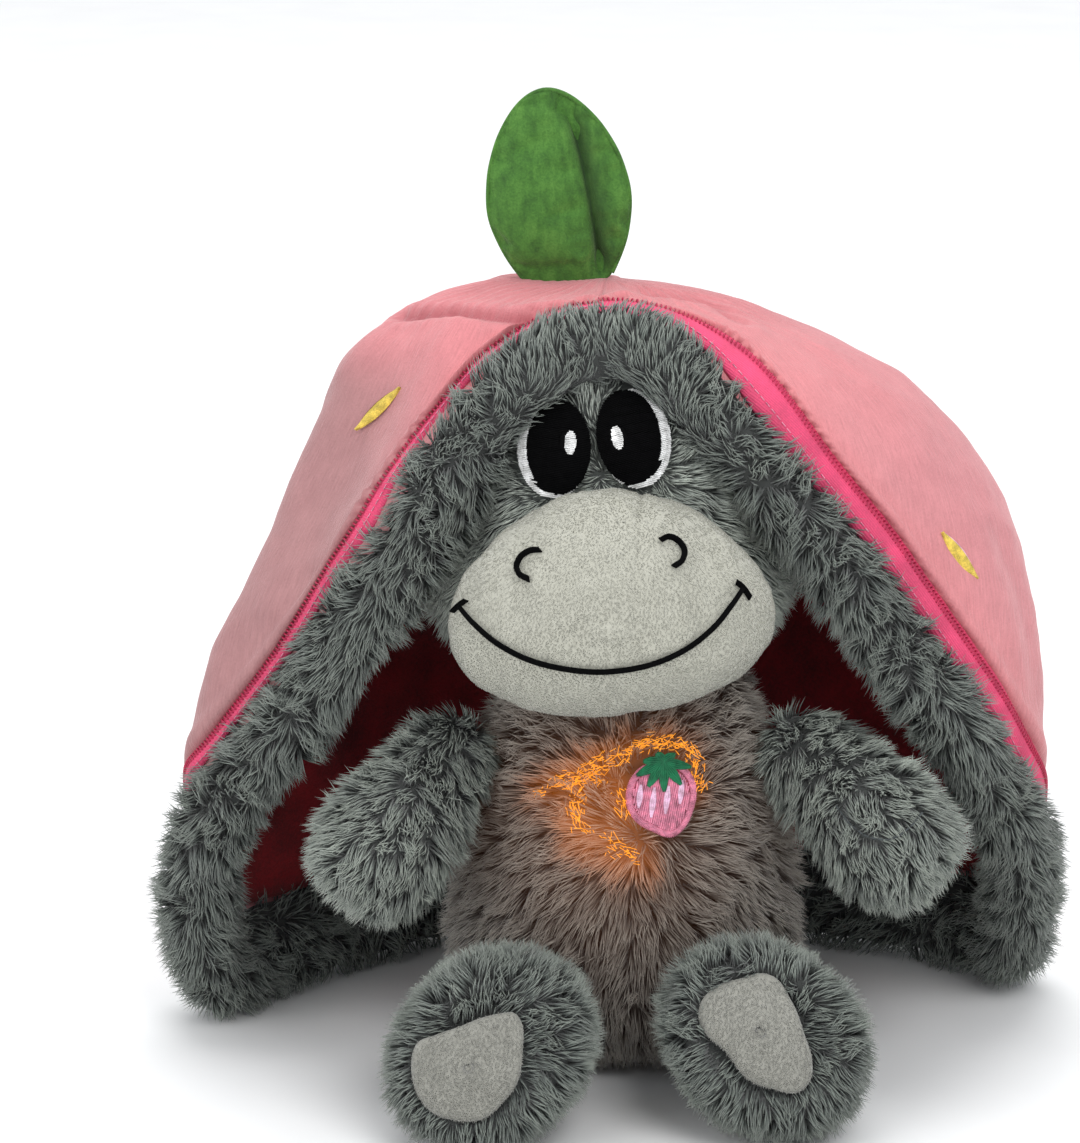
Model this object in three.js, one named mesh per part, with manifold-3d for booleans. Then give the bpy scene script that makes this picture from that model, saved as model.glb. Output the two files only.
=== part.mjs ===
// A breathing plush donkey that sits under an open strawberry hood.
// Millimetres, +Z up. The toy looks along -Y, and +X is to the right of someone who faces it.
// The origin is on the floor, in the middle of the toy's outline seen from above.
import * as THREE from "three";
import { mergeVertices } from "three/addons/utils/BufferGeometryUtils.js";
import Module from "manifold-3d";

const wasm = await Module();
wasm.setup();

// General fits and overruns
const SEAT_GAP = 0.35; // between pieces that are sewn, glued or screwed together
const RUN_GAP = 0.3; // round a shaft, post or button that moves
const OVERRUN = 5; // how far a cutting tool runs past what it cuts
const WORLD_HALF = 400; // half the side of the blocks that keep one side of a plane
const FLAT_DEPTH = 0.5; // how far soft pieces are pressed flat on the floor

// Facet counts
const BODY_SIDES = 18;
const LIMB_SIDES = 12;
const BODY_STATIONS = 10;
const LIMB_STATIONS = 7;
const ROUND_SIDES = 12;
const BALL_SIDES = 14;
const SMALL_SIDES = 8;
const CORNER_STEPS = 3;

// Where the toy's middle line is, seen from the front and from the side
const BODY_X = 3;
const BODY_Y = -5;

// Torso: a stuffed pear that sits on the floor
const TORSO_WIDTH = 114;
const TORSO_DEPTH = 102;
const TORSO_HEIGHT = 146;
const SHOULDER_SHARE = 0.79; // of the torso's half width, at the shoulders
// Rows are shares of the height, the half width and the half depth.
const TORSO_SHARES = [
  [-0.02, 0.3, 0.2],
  [0.035, 0.66, 0.56],
  [0.11, 0.9, 0.85],
  [0.22, 1, 0.99],
  [0.33, 0.99, 1],
  [0.44, 0.95, 0.98],
  [0.58, 0.88, 0.93],
  [0.72, SHOULDER_SHARE, 0.84],
  [0.86, 0.64, 0.7],
  [0.95, 0.42, 0.46],
  [1, 0.18, 0.2],
];

// Head: an egg with full cheeks, tipped a little to one side
const HEAD_WIDTH = 125;
const HEAD_DEPTH = 108;
const HEAD_HEIGHT = 122;
const HEAD_SINK = 26.8; // how far the head's chin lies below the torso's top
const HEAD_BOTTOM_Z = TORSO_HEIGHT - HEAD_SINK;
const HEAD_X = -3;
const HEAD_Y = -4;
const HEAD_TIP_ANGLE = THREE.MathUtils.degToRad(-4);
const HEAD_SHARES = [
  [0, 0.2, 0.16],
  [0.04, 0.46, 0.42],
  [0.14, 0.77, 0.72],
  [0.28, 0.96, 0.91],
  [0.44, 1, 1],
  [0.6, 0.94, 0.99],
  [0.75, 0.81, 0.88],
  [0.88, 0.6, 0.67],
  [0.965, 0.34, 0.38],
  [1, 0.12, 0.12],
];

// Muzzle: a wide, egg-shaped pad of short pile
const MUZZLE_WIDTH = 101;
const MUZZLE_HEIGHT = 72;
const MUZZLE_FRONT_Y = -102;
const MUZZLE_BACK_Y = -42;
const MUZZLE_HEIGHT_SHARE = 0.3754; // of the head's height: how high the muzzle's middle lies
const MUZZLE_Z = HEAD_BOTTOM_Z + HEAD_HEIGHT * MUZZLE_HEIGHT_SHARE;
const MUZZLE_NARROWING_SHARE = 0.2; // how much narrower it is above than below
const MUZZLE_SHARES = [
  [0, 0.86, 0.84],
  [0.2, 0.96, 0.95],
  [0.4, 1, 1],
  [0.58, 0.95, 0.95],
  [0.74, 0.82, 0.81],
  [0.87, 0.62, 0.6],
  [0.955, 0.38, 0.36],
  [1, 0.14, 0.13],
];

// Stitched face: widths and heights of the patches, and where they lie
const EYE_WIDTH = 22.5;
const EYE_HEIGHT = 31;
const EYE_SPREAD = 25.5; // from one eye's centre to the other's
const EYE_HEIGHT_SHARE = 0.7525; // of the head's height: how high the eyes lie
const EYE_Z = HEAD_BOTTOM_Z + HEAD_HEIGHT * EYE_HEIGHT_SHARE;
const EYE_X = -7;
const EYE_LEAN_ANGLE = THREE.MathUtils.degToRad(9);
const PUPIL_WIDTH = 18;
const PUPIL_HEIGHT = 28.5;
const PUPIL_INWARD = 1.9; // the pupil's centre from the eye's, towards the nose
const PATCH_THICKNESS = 1.2;
const STITCH_THICKNESS = 1;
const STITCH_WIDTH = 1.9;
const SMILE_X = 2;
const SMILE_WIDTH = 88;
const SMILE_DROP = 19;
const SMILE_CURL = 2.7; // how late the smile turns up towards its ends
const SMILE_TICK = 6;
const SMILE_FALL = 2.5; // from the muzzle's middle down to the smile
const SMILE_Z = MUZZLE_Z - SMILE_FALL;
const NOSTRIL_RADIUS = 5;
const NOSTRIL_X = 1.3; // from the middle of the face
const NOSTRIL_SPREAD = 38.5;
const NOSTRIL_SHARE = 0.25; // of the muzzle's height, from its middle up to the nostrils
const NOSTRIL_Z = MUZZLE_Z + MUZZLE_HEIGHT * NOSTRIL_SHARE;
const NOSTRIL_ARC_ANGLE = THREE.MathUtils.degToRad(130);
const LEFT_NOSTRIL_BEARING = THREE.MathUtils.degToRad(165);
const RIGHT_NOSTRIL_BEARING = THREE.MathUtils.degToRad(15);
const SMILE_TICK_ANGLE = THREE.MathUtils.degToRad(35);
const SMILE_STEPS = 8;
const OVAL_STEPS = 6;
const ARC_STEPS = 6;

// Arms: stuffed, each sewn to the torso round a ball-shaped shoulder
const SHOULDER_RADIUS = 17;
const SHOULDER_INSET = 3.5; // the shoulder's centre, inside the torso's side
const SHOULDER_Y = -12;
const SHOULDER_HEIGHT_SHARE = 0.7534; // of the torso's height
const SHOULDER_Z = TORSO_HEIGHT * SHOULDER_HEIGHT_SHARE;
const ARM_RADIUS = 23;
const LEFT_ARM_REACH = [27, -33, -29];
const RIGHT_ARM_REACH = [33, -33, -26];
const LEFT_ARM_LENGTH = 75;
const RIGHT_ARM_LENGTH = 76;
const HUG_RANGE = THREE.MathUtils.degToRad(22);
const LIMB_ROOM = 0.98; // round a limb where it moves in its pocket
const SWEEP_STEPS = 3; // how many places of a limb its pocket in the torso is cut for
const ARM_SHARES = [
  [0, 0.5, 0.5],
  [0.16, 0.74, 0.74],
  [0.34, 0.82, 0.82],
  [0.52, 0.92, 0.92],
  [0.7, 1, 1],
  [0.84, 0.9, 0.9],
  [0.94, 0.62, 0.62],
  [1, 0.24, 0.24],
];

// Legs: stuffed, pointing forward, each with a flat short-pile sole
const HIP_RADIUS = 22.5;
const HIP_Y = -50;
const HIP_OUT = 40; // from the body's middle line
const LEG_WIDTH = 67; // across a leg's section, along its longer axis
const LEG_HEIGHT = 56;
const LEG_ROLL_ANGLE = THREE.MathUtils.degToRad(40); // of the section, down on its outer side
const LEFT_LEG_LENGTH = 64;
const RIGHT_LEG_LENGTH = 57;
const LEG_SPLAY_ANGLE = THREE.MathUtils.degToRad(3);
const LEFT_LEG_RISE_ANGLE = THREE.MathUtils.degToRad(11);
const RIGHT_LEG_RISE_ANGLE = THREE.MathUtils.degToRad(17);
const LEG_SPLAY_RANGE = THREE.MathUtils.degToRad(22);
const LEG_SHARES = [
  [0, 0.72, 0.72],
  [0.16, 0.82, 0.82],
  [0.38, 0.93, 0.93],
  [0.6, 1, 1],
  [0.84, 1, 1],
  [0.95, 0.88, 0.88],
  [1, 0.62, 0.62],
];
const SOLE_WIDTH = 31;
const SOLE_HEIGHT = 41;
const SOLE_THICKNESS = 1.6;
const SOLE_LEFT_TURN = THREE.MathUtils.degToRad(-38);
const SOLE_RIGHT_TURN = THREE.MathUtils.degToRad(28);
const LEFT_SOLE_OUT = 6.5; // along the section's longer axis, from the foot's middle
const RIGHT_SOLE_OUT = 0;

// Hood: plush outside, lining inside, a fur roll round its mouth and hem
const HOOD_WIDTH_SHARE = 1.088; // half the hood's width, of the head's width
const HOOD_DEPTH_SHARE = 0.963; // half the hood's depth, of the head's depth
const HOOD_HALF_WIDTH = HEAD_WIDTH * HOOD_WIDTH_SHARE;
const HOOD_HALF_DEPTH = HEAD_DEPTH * HOOD_DEPTH_SHARE;
const PANEL_THICKNESS = 3;
const LINING_THICKNESS = 2;
const ROLL_THICKNESS = 27;
const ROLL_WIDTH = 30;
const ROLL_HEM_WIDTH = 40; // the roll is taller along the rear hem
const CROWN_X = -3;
const CROWN_Y = 12;
const CROWN_RISE = 6.8; // the crown above the head's top
const CROWN_Z = HEAD_BOTTOM_Z + HEAD_HEIGHT + CROWN_RISE;
const STRIP_HALF_WIDTH = 34; // the middle strip that is sewn to the head
const STRIP_GAP = 0.5; // between the middle strip and each side
const FLAP_HINGE_RISE = 6; // the flaps' folding lines, above the crown
const ZIP_TAPE_WIDTH = 4.2;
const ZIP_TAPE_PROUD = 1; // how far the zip stands out of the plush
const ZIP_END_Y = 44; // where the zips stop on their way down and back
// The roll's middle line: shares of the half width, the half depth and the crown's height,
// from the middle of the brow down the left side, round the hem and up the right side.
const ROLL_SHARES = [
  [-0.05, -0.34, 0.962],
  [-0.15, -0.355, 0.945],
  [-0.257, -0.37, 0.894],
  [-0.371, -0.39, 0.813],
  [-0.464, -0.385, 0.716],
  [-0.58, -0.345, 0.622],
  [-0.69, -0.27, 0.52],
  [-0.832, -0.173, 0.41],
  [-0.965, -0.085, 0.292],
  [-0.994, 0.015, 0.19],
  [-0.99, 0.09, 0.12],
  [-0.95, 0.19, 0.082],
  [-0.85, 0.35, 0.0725],
  [-0.68, 0.6, 0.0725],
  [-0.42, 0.87, 0.0725],
  [-0.14, 1.006, 0.0725],
  [0.14, 1.006, 0.0725],
  [0.42, 0.91, 0.0725],
  [0.68, 0.79, 0.0725],
  [0.86, 0.64, 0.0725],
  [0.965, 0.49, 0.083],
  [0.994, 0.34, 0.122],
  [0.992, 0.18, 0.186],
  [0.97, 0.03, 0.27],
  [0.88, -0.12, 0.365],
  [0.768, -0.21, 0.473],
  [0.643, -0.288, 0.575],
  [0.52, -0.35, 0.675],
  [0.39, -0.39, 0.763],
  [0.27, -0.385, 0.847],
  [0.15, -0.365, 0.918],
  [0.05, -0.345, 0.957],
];
// How the hood falls from its crown to its edge, as shares of reach and drop on each side
const LEFT_FALL_SHARES = [
  [0, 0],
  [0.34, 0.015],
  [0.52, 0.065],
  [0.62, 0.125],
  [0.7, 0.25],
  [0.8, 0.42],
  [0.89, 0.555],
  [0.96, 0.67],
  [1, 0.8],
  [1, 1],
];
const RIGHT_FALL_SHARES = [
  [0, 0],
  [0.29, 0.04],
  [0.48, 0.09],
  [0.65, 0.155],
  [0.8, 0.245],
  [0.91, 0.375],
  [0.975, 0.51],
  [1.01, 0.66],
  [1.02, 0.83],
  [1, 1],
];
const HOOD_MIDDLE_Y = 20; // where the roll's outward direction is measured from
const ROLL_HEM_SHARES = { low: 0.09, high: 0.25 }; // between these heights the roll grows narrower
const FALL_BLEND_SHARE = 0.35; // of the half width: where the left fall turns into the right one
const HOOD_AROUND = 28;
const HOOD_DOWN = 6;
const ROLL_AROUND = 58;
const ROLL_SIDES = 8;

// Leaf: a stuffed leaf with a folded middle, standing on the crown
const LEAF_HEIGHT = 57;
const LEAF_WIDTH = 46.5;
const LEAF_THICKNESS = 12;
const LEAF_X = -15.5;
const LEAF_Y = 8;
const LEAF_LEAN_ANGLE = THREE.MathUtils.degToRad(-8);
const LEAF_ROOT_RADIUS = 4.5;
const LEAF_FOOT_SHARE = 0.76; // of the leaf's width
const LEAF_SHARES = [
  [0, LEAF_FOOT_SHARE, 0.7],
  [0.16, 0.92, 0.95],
  [0.32, 1, 1],
  [0.5, 0.95, 0.9],
  [0.68, 0.81, 0.74],
  [0.86, 0.54, 0.52],
  [0.96, 0.28, 0.3],
  [1, 0.1, 0.12],
];
const LEAF_SEAT = 0.4; // between the leaf's round root and the crown
const LEAF_CREASE_DEPTH = 4;
const LEAF_CREASE_WIDTH = 7;
const LEAF_CREASE_SHARES = { low: 0.12, high: 0.86, aside: 0.62 }; // of the height and half width

// Zip slider and its pull, low on the right-hand tape
const SLIDER_LENGTH = 9;
const SLIDER_WIDTH = 7.4;
const SLIDER_WAIST = 1.2; // how far its sides are drawn in behind its nose
const SLIDER_THICKNESS = 2.6;
const SLIDER_Y = 35; // where it lies on the right-hand zip
const SLIDER_SEAT = -0.8; // from the hood's smooth surface, which lies above its flat facets
const SLIDER_RISE = 5.4; // how far it lies above the zip's middle, clear of the roll
const SLIDER_LUG = 1;
const ZIP_SEARCH_STEPS = 400;
const PULL_LENGTH = 22;
const PULL_WIDTH = 6;
const PULL_EYE_WIDTH = 3.6;
const PULL_EYE_RADIUS = 1.7;
const PULL_THICKNESS = 1.5;
const PULL_PIN_RADIUS = 0.8;

// Breathing module: a two-part case in the middle of the torso
const CASE_WIDTH = 76;
const CASE_HEIGHT = 70;
const CASE_DEPTH = 51;
const CASE_BOTTOM_Z = 26;
const CASE_FRONT_Y = -26;
const CASE_CORNER_RADIUS = 14;
const CASE_WALL = 2;
const CASE_SPLIT_Y = 1; // where the front and the rear half of the case meet
const DECK_THICKNESS = 2;
const DECK_FRONT_Y = -3;
const SCREW_RADIUS = 1.3;
const SCREW_HEAD_RADIUS = 2.4;
const SCREW_HEAD_THICKNESS = 1.6;
const SCREW_LENGTH = 38;
const SCREW_BOSS_RADIUS = 4;
const SCREW_INSET = 8; // from the case's outside to a corner screw
const TORSO_ROOM = 0.5; // between the case and the stuffing round it

// Gear train: involute gears that turn about axes along Y
const GEAR_MODULE = 0.8;
const PRESSURE_ANGLE = THREE.MathUtils.degToRad(20);
const BACKLASH = 0.36;
const ADDENDUM_SHARE = 0.8; // of the module
const DEDENDUM_SHARE = 1.3;
const CAM_TEETH = 44;
const PINION_TEETH = 10;
const WHEEL_TEETH = 30;
const MOTOR_TEETH = 10;
const FLANK_STEPS = 1;
const CAM_Z = 72;
const CAM_GEAR_THICKNESS = 3;
const WHEEL_THICKNESS = 2.8;
const GEAR_LAYER_GAP = 0.4; // between gears that pass in front of each other
const IDLER_BEARING = THREE.MathUtils.degToRad(-36); // from the cam's axis, above +X
const MOTOR_BEARING = THREE.MathUtils.degToRad(53); // from the idler's axis
const CAM_PIN_RADIUS = 2;
const CAM_PIN_LENGTH = 19.5;
const CAM_HUB_RADIUS = 4.5;
const CAM_HUB_LENGTH = 10.5;
const IDLER_PIN_RADIUS = 1.3;
const IDLER_PIN_LENGTH = 9;
const MOTOR_SHAFT_RADIUS = 1;
const MOTOR_SHAFT_DEPTH = 5; // how far the shaft reaches into the motor

// Face cam: two equal lobes that push both posts of the breathing plate together
const BREATH_STROKE = 8;
const CAM_LOBES = 2;
const CAM_INNER_RADIUS = 10.5;
const CAM_OUTER_RADIUS = 15.5;
const CAM_FOOT = 0.8; // the ramp's height in its valley
const CAM_STEPS = 24;
const POST_RADIUS = 2.4;
const POST_TIP_GAP = 0.45;
const GUIDE_RADIUS = 4.6;
const GUIDE_LENGTH = 4.6;
const PLATE_WIDTH = 58;
const PLATE_HEIGHT = 52;
const PLATE_THICKNESS = 3;
const PLATE_CLEARANCE = 1.5; // from the case to the plate at rest
const PLATE_Z = 84;

// Belly: the part of the torso's front that the plate pushes
const BELLY_WIDTH = 66;
const BELLY_HEIGHT = 64;
const BERRY_WIDTH = 23;
const BERRY_HEIGHT = 27;
const BERRY_X = 12;
const BERRY_Z = 98;
const BERRY_TIP_ANGLE = THREE.MathUtils.degToRad(10);
const CALYX_RADIUS = 9;
const CALYX_POINTS = 5;
const CALYX_NOTCH_SHARE = 0.42;
const EMBROIDERY_THICKNESS = 1.6;

// Motor, cells, speaker, lamps, circuit board and buttons
const MOTOR_WIDTH = 15;
const MOTOR_HEIGHT = 20;
const MOTOR_LENGTH = 22;
const MOTOR_BOSS_RADIUS = 3;
const MOTOR_BOSS_LENGTH = 1.4;
const CELL_RADIUS = 7.25;
const CELL_LENGTH = 50.5;
const CELL_NUB_RADIUS = 2.7;
const CELL_NUB_LENGTH = 1;
const CELL_PITCH = 14.9;
const CELL_COUNT = 3;
const CELL_Z = 61.4;
const CELL_GAP = 0.4;
const TRAY_WALL = 1.2;
const DOOR_WIDTH = 54;
const DOOR_HEIGHT = 46;
const DOOR_RADIUS = 3;
const DOOR_LATCH_WIDTH = 12;
const DOOR_LATCH_HEIGHT = 3;
const SPEAKER_RADIUS = 8.2;
const SPEAKER_THICKNESS = 4.6;
const SPEAKER_X = 30.6;
const SPEAKER_Z = 50.5;
const SPEAKER_MAGNET_RADIUS = 5.5;
const SPEAKER_MAGNET_LENGTH = 3;
const GRILLE_HOLE_RADIUS = 0.9;
const GRILLE_RING_RADIUS = 4.8;
const GRILLE_HOLES = 6;
const LAMP_RADIUS = 2.5;
const LAMP_LENGTH = 6;
const LAMP_FLANGE_RADIUS = 3.1;
const LAMP_FLANGE_THICKNESS = 1;
const LAMP_INSET = 5.6; // from the case's side
const LAMP_Z = 62;
const BOARD_WIDTH = 30;
const BOARD_HEIGHT = 8;
const BOARD_THICKNESS = 1.6;
const BOARD_X = 12;
const BOARD_Z = 89.6;
const BOARD_Y = 12;
const STANDOFF_RADIUS = 1.6;
const STANDOFF_INSET = 2.4;
const BUTTON_RADIUS = 3;
const BUTTON_PROUD = 1.6; // how far a button stands out of the case
const BUTTON_FLANGE = 0.9; // how much wider its collar is
const BUTTON_COLLAR = 1;
const BUTTON_TRAVEL = 1;
const POWER_BUTTON_X = 6;
const VOLUME_BUTTON_X = 18;
const BUTTON_ROOM = 4; // how deep the stuffing is hollowed behind a button

// Hook-and-loop strip that closes the torso's back seam
const CLOSURE_WIDTH = 9;
const CLOSURE_LENGTH = 62;
const CLOSURE_THICKNESS = 1.6;
const CLOSURE_CORNER_RADIUS = 2;
const CLOSURE_Z = 64;
const SEAM_WIDTH = 3; // how far the back seam gapes under its strip
const SEAM_CORNER_RADIUS = 1;

// Colours
const COLOURS = {
  fur: 0x6a7272,
  muzzle: 0xbab8ad,
  sole: 0x9a9c92,
  pink: 0xe58a94,
  lining: 0x6d1018,
  zip: 0xd03a6a,
  leaf: 0x3f7a2c,
  black: 0x121214,
  white: 0xe9e9e6,
  berry: 0xdf8fb2,
  calyx: 0x1f7a45,
  case: 0xd8d8d2,
  gear: 0xf0efe6,
  steel: 0x9a9ea2,
  cell: 0x3b6f9a,
  board: 0x2c6b43,
  lamp: 0xff9a2e,
};
const metal = new Set(["steel"]);
const materials = Object.fromEntries(
  Object.entries(COLOURS).map(([name, color]) => [
    name,
    new THREE.MeshStandardMaterial({
      name,
      color,
      roughness: metal.has(name) ? 0.35 : 0.9,
      metalness: metal.has(name) ? 1 : 0,
    }),
  ]),
);

const vector = (x, y, z) => new THREE.Vector3(x, y, z);
const Y_AXIS = vector(0, 1, 0);
const Z_AXIS = vector(0, 0, 1);

// Solids

/** A manifold solid from a closed three.js geometry. */
function solid(geometry) {
  const bare = geometry.index ? geometry.toNonIndexed() : geometry.clone();
  for (const name of Object.keys(bare.attributes)) {
    if (name !== "position") bare.deleteAttribute(name);
  }
  const merged = mergeVertices(bare);
  return new wasm.Manifold(
    new wasm.Mesh({
      numProp: 3,
      vertProperties: merged.attributes.position.array,
      triVerts: new Uint32Array(merged.index.array),
    }),
  );
}

/** A three.js geometry from a manifold solid. */
function geometryOf(made) {
  const mesh = made.getMesh();
  const places = new Float32Array(mesh.numVert * 3);
  for (let i = 0; i < mesh.numVert; i++) {
    places.set(mesh.vertProperties.subarray(i * mesh.numProp, i * mesh.numProp + 3), i * 3);
  }
  return new THREE.BufferGeometry()
    .setAttribute("position", new THREE.BufferAttribute(places, 3))
    .setIndex(new THREE.BufferAttribute(new Uint32Array(mesh.triVerts), 1));
}

/** The closed solid of a stack of rings, each an array of points in the same order. */
function stacked(rings) {
  const places = [];
  const faces = [];
  const sides = rings[0].length;
  for (const ring of rings) for (const p of ring) places.push(p.x, p.y, p.z);
  const middles = [rings[0], rings[rings.length - 1]].map((ring) =>
    ring.reduce((sum, p) => sum.add(p), vector(0, 0, 0)).divideScalar(sides),
  );
  for (const p of middles) places.push(p.x, p.y, p.z);
  const first = rings.length * sides;
  for (let i = 0; i + 1 < rings.length; i++) {
    for (let j = 0; j < sides; j++) {
      const a = i * sides + j;
      const b = i * sides + ((j + 1) % sides);
      faces.push(a, b, b + sides, a, b + sides, a + sides);
    }
  }
  for (let j = 0; j < sides; j++) {
    const next = (j + 1) % sides;
    faces.push(first, next, j);
    faces.push(first + 1, first - sides + j, first - sides + next);
  }
  return solid(
    new THREE.BufferGeometry()
      .setAttribute("position", new THREE.BufferAttribute(new Float32Array(places), 3))
      .setIndex(faces),
  );
}

/** A smooth run through a table of shares. */
function smoothRows(rows, count) {
  return new THREE.CatmullRomCurve3(rows.map((row) => vector(...row))).getPoints(count);
}

/**
 * A stuffed form: rings along an axis, each an ellipse of shares of the half width and
 * half height. `narrowing` makes a ring narrower above its middle, and `grow` offsets it.
 */
function stuffed(form) {
  const { base, axis, across, length, width, height, sides, narrowing = 0, grow = 0 } = form;
  const up = axis.clone().cross(across).normalize();
  const rings = smoothRows(form.shares, form.stations).map(({ x: along, y: wide, z: high }, i, all) => {
    const end = i === 0 ? -grow : i === all.length - 1 ? grow : 0;
    const centre = base.clone().addScaledVector(axis, along * length + end);
    return Array.from({ length: sides }, (_, j) => {
      const angle = (j / sides) * Math.PI * 2;
      const tall = Math.sin(angle);
      const reach = Math.cos(angle) * (1 - narrowing * tall);
      return centre
        .clone()
        .addScaledVector(across, reach * ((wide * width) / 2 + grow))
        .addScaledVector(up, tall * ((high * height) / 2 + grow));
    });
  });
  return stacked(rings);
}

const ball = (centre, radius, sides = BALL_SIDES) =>
  solid(new THREE.SphereGeometry(radius, sides, Math.round(sides / 2)).translate(...centre.toArray()));

/** A cylinder along Y from y0 to y1. */
function drum(x, z, radius, y0, y1, sides = ROUND_SIDES) {
  return solid(
    new THREE.CylinderGeometry(radius, radius, Math.abs(y1 - y0), sides).translate(x, (y0 + y1) / 2, z),
  );
}

/** An extrusion along Y, from y0 to y1, of an outline drawn in X and Z. */
function prism(shape, y0, y1, segments = CORNER_STEPS) {
  return solid(
    new THREE.ExtrudeGeometry(shape, {
      depth: Math.abs(y1 - y0),
      bevelEnabled: false,
      curveSegments: segments,
    })
      .rotateX(Math.PI / 2)
      .translate(0, Math.max(y0, y1), 0),
  );
}

/** A block from its low to its high corner. */
function block(low, high) {
  const size = high.clone().sub(low);
  return solid(
    new THREE.BoxGeometry(size.x, size.y, size.z).translate(
      ...low.clone().add(high).divideScalar(2).toArray(),
    ),
  );
}

const world = (sign) => sign * WORLD_HALF;
const aboveFloor = () => block(vector(world(-1), world(-1), 0), vector(world(1), world(1), world(1)));

/** An ellipse as an outline in X and Z. */
function oval(x, z, width, height, turn = 0) {
  return new THREE.Shape().absellipse(x, z, width / 2, height / 2, 0, Math.PI * 2, false, turn);
}

/** A rectangle with rounded corners as an outline in X and Z. */
function roundedRectangle(x, z, width, height, radius) {
  const [left, right, low, high] = [x - width / 2, x + width / 2, z - height / 2, z + height / 2];
  const quarter = Math.PI / 2;
  const shape = new THREE.Shape();
  shape.moveTo(left + radius, low);
  shape.lineTo(right - radius, low);
  shape.absarc(right - radius, low + radius, radius, -quarter, 0);
  shape.absarc(right - radius, high - radius, radius, 0, quarter);
  shape.absarc(left + radius, high - radius, radius, quarter, quarter * 2);
  shape.absarc(left + radius, low + radius, radius, quarter * 2, quarter * 3);
  return shape;
}

/** The solid between two offsets of a form, inside a cutting tool: a patch that lies on it. */
function layerOn(form, tool, thickness, lift = SEAT_GAP) {
  return form(lift + thickness).intersect(tool).subtract(form(lift));
}

/** The largest connected body of a solid, without the slivers that a cut leaves. */
function largest(made) {
  return made.decompose().reduce((best, piece) => (piece.volume() > best.volume() ? piece : best));
}

// Soft forms, each as a function of how far it is offset

const torsoForm = (grow = 0) =>
  stuffed({
    base: vector(BODY_X, BODY_Y, 0),
    axis: Z_AXIS,
    across: vector(1, 0, 0),
    length: TORSO_HEIGHT,
    width: TORSO_WIDTH,
    height: TORSO_DEPTH,
    shares: TORSO_SHARES,
    sides: BODY_SIDES,
    stations: BODY_STATIONS,
    grow,
  });

const headForm = (grow = 0) => {
  const tip = (v) => v.applyAxisAngle(Y_AXIS, HEAD_TIP_ANGLE);
  const axis = tip(vector(0, 0, 1));
  const middle = vector(HEAD_X, HEAD_Y, HEAD_BOTTOM_Z + HEAD_HEIGHT / 2);
  return stuffed({
    base: middle.addScaledVector(axis, -HEAD_HEIGHT / 2),
    axis,
    across: tip(vector(1, 0, 0)),
    length: HEAD_HEIGHT,
    width: HEAD_WIDTH,
    height: HEAD_DEPTH,
    shares: HEAD_SHARES,
    sides: BODY_SIDES,
    stations: BODY_STATIONS,
    grow,
  });
};

const muzzleForm = (grow = 0) =>
  stuffed({
    base: vector(HEAD_X, MUZZLE_BACK_Y, MUZZLE_Z),
    axis: vector(0, -1, 0),
    across: vector(1, 0, 0).applyAxisAngle(Y_AXIS, HEAD_TIP_ANGLE),
    length: MUZZLE_BACK_Y - MUZZLE_FRONT_Y,
    width: MUZZLE_WIDTH,
    height: MUZZLE_HEIGHT,
    shares: MUZZLE_SHARES,
    sides: BODY_SIDES,
    stations: BODY_STATIONS,
    narrowing: MUZZLE_NARROWING_SHARE,
    grow,
  });

/** Where an arm is sewn on. side is -1 for left and 1 for right. */
const shoulder = (side) => {
  const wide = (TORSO_WIDTH / 2) * SHOULDER_SHARE;
  return vector(BODY_X + side * (wide + SHOULDER_INSET), SHOULDER_Y, SHOULDER_Z);
};

const armForm = (side, grow = 0) => {
  const [out, ahead, down] = side < 0 ? LEFT_ARM_REACH : RIGHT_ARM_REACH;
  const axis = vector(side * out, ahead, down).normalize();
  return stuffed({
    base: shoulder(side),
    axis,
    across: axis.clone().cross(Z_AXIS).normalize(),
    length: side < 0 ? LEFT_ARM_LENGTH : RIGHT_ARM_LENGTH,
    width: ARM_RADIUS * 2,
    height: ARM_RADIUS * 2,
    shares: ARM_SHARES,
    sides: LIMB_SIDES,
    stations: LIMB_STATIONS,
    grow,
  });
};

const legLength = (side) => (side < 0 ? LEFT_LEG_LENGTH : RIGHT_LEG_LENGTH);
const legAxis = (side) => {
  const rise = side < 0 ? LEFT_LEG_RISE_ANGLE : RIGHT_LEG_RISE_ANGLE;
  return vector(0, -Math.cos(rise), Math.sin(rise)).applyAxisAngle(Z_AXIS, side * LEG_SPLAY_ANGLE);
};

/** The direction of a leg section's longer axis. */
const legAcross = (side) =>
  legAxis(side)
    .cross(Z_AXIS)
    .negate()
    .normalize()
    .applyAxisAngle(legAxis(side), -side * LEG_ROLL_ANGLE);

const legFrom = (base, side, grow) =>
  stuffed({
    base,
    axis: legAxis(side),
    across: legAcross(side),
    length: legLength(side),
    width: LEG_WIDTH,
    height: LEG_HEIGHT,
    shares: LEG_SHARES,
    sides: LIMB_SIDES,
    stations: LIMB_STATIONS,
    grow,
  });

/** How high a leg's hip is when the leg rests on the floor, pressed flat a little. */
const hipHeight = (side) => -legFrom(vector(0, 0, 0), side, 0).boundingBox().min[2] - FLAT_DEPTH;
const hipHeights = { left: hipHeight(-1), right: hipHeight(1) };
const hip = (side) =>
  vector(BODY_X + side * HIP_OUT, HIP_Y, side < 0 ? hipHeights.left : hipHeights.right);
const legForm = (side, grow = 0) => legFrom(hip(side), side, grow);

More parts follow.
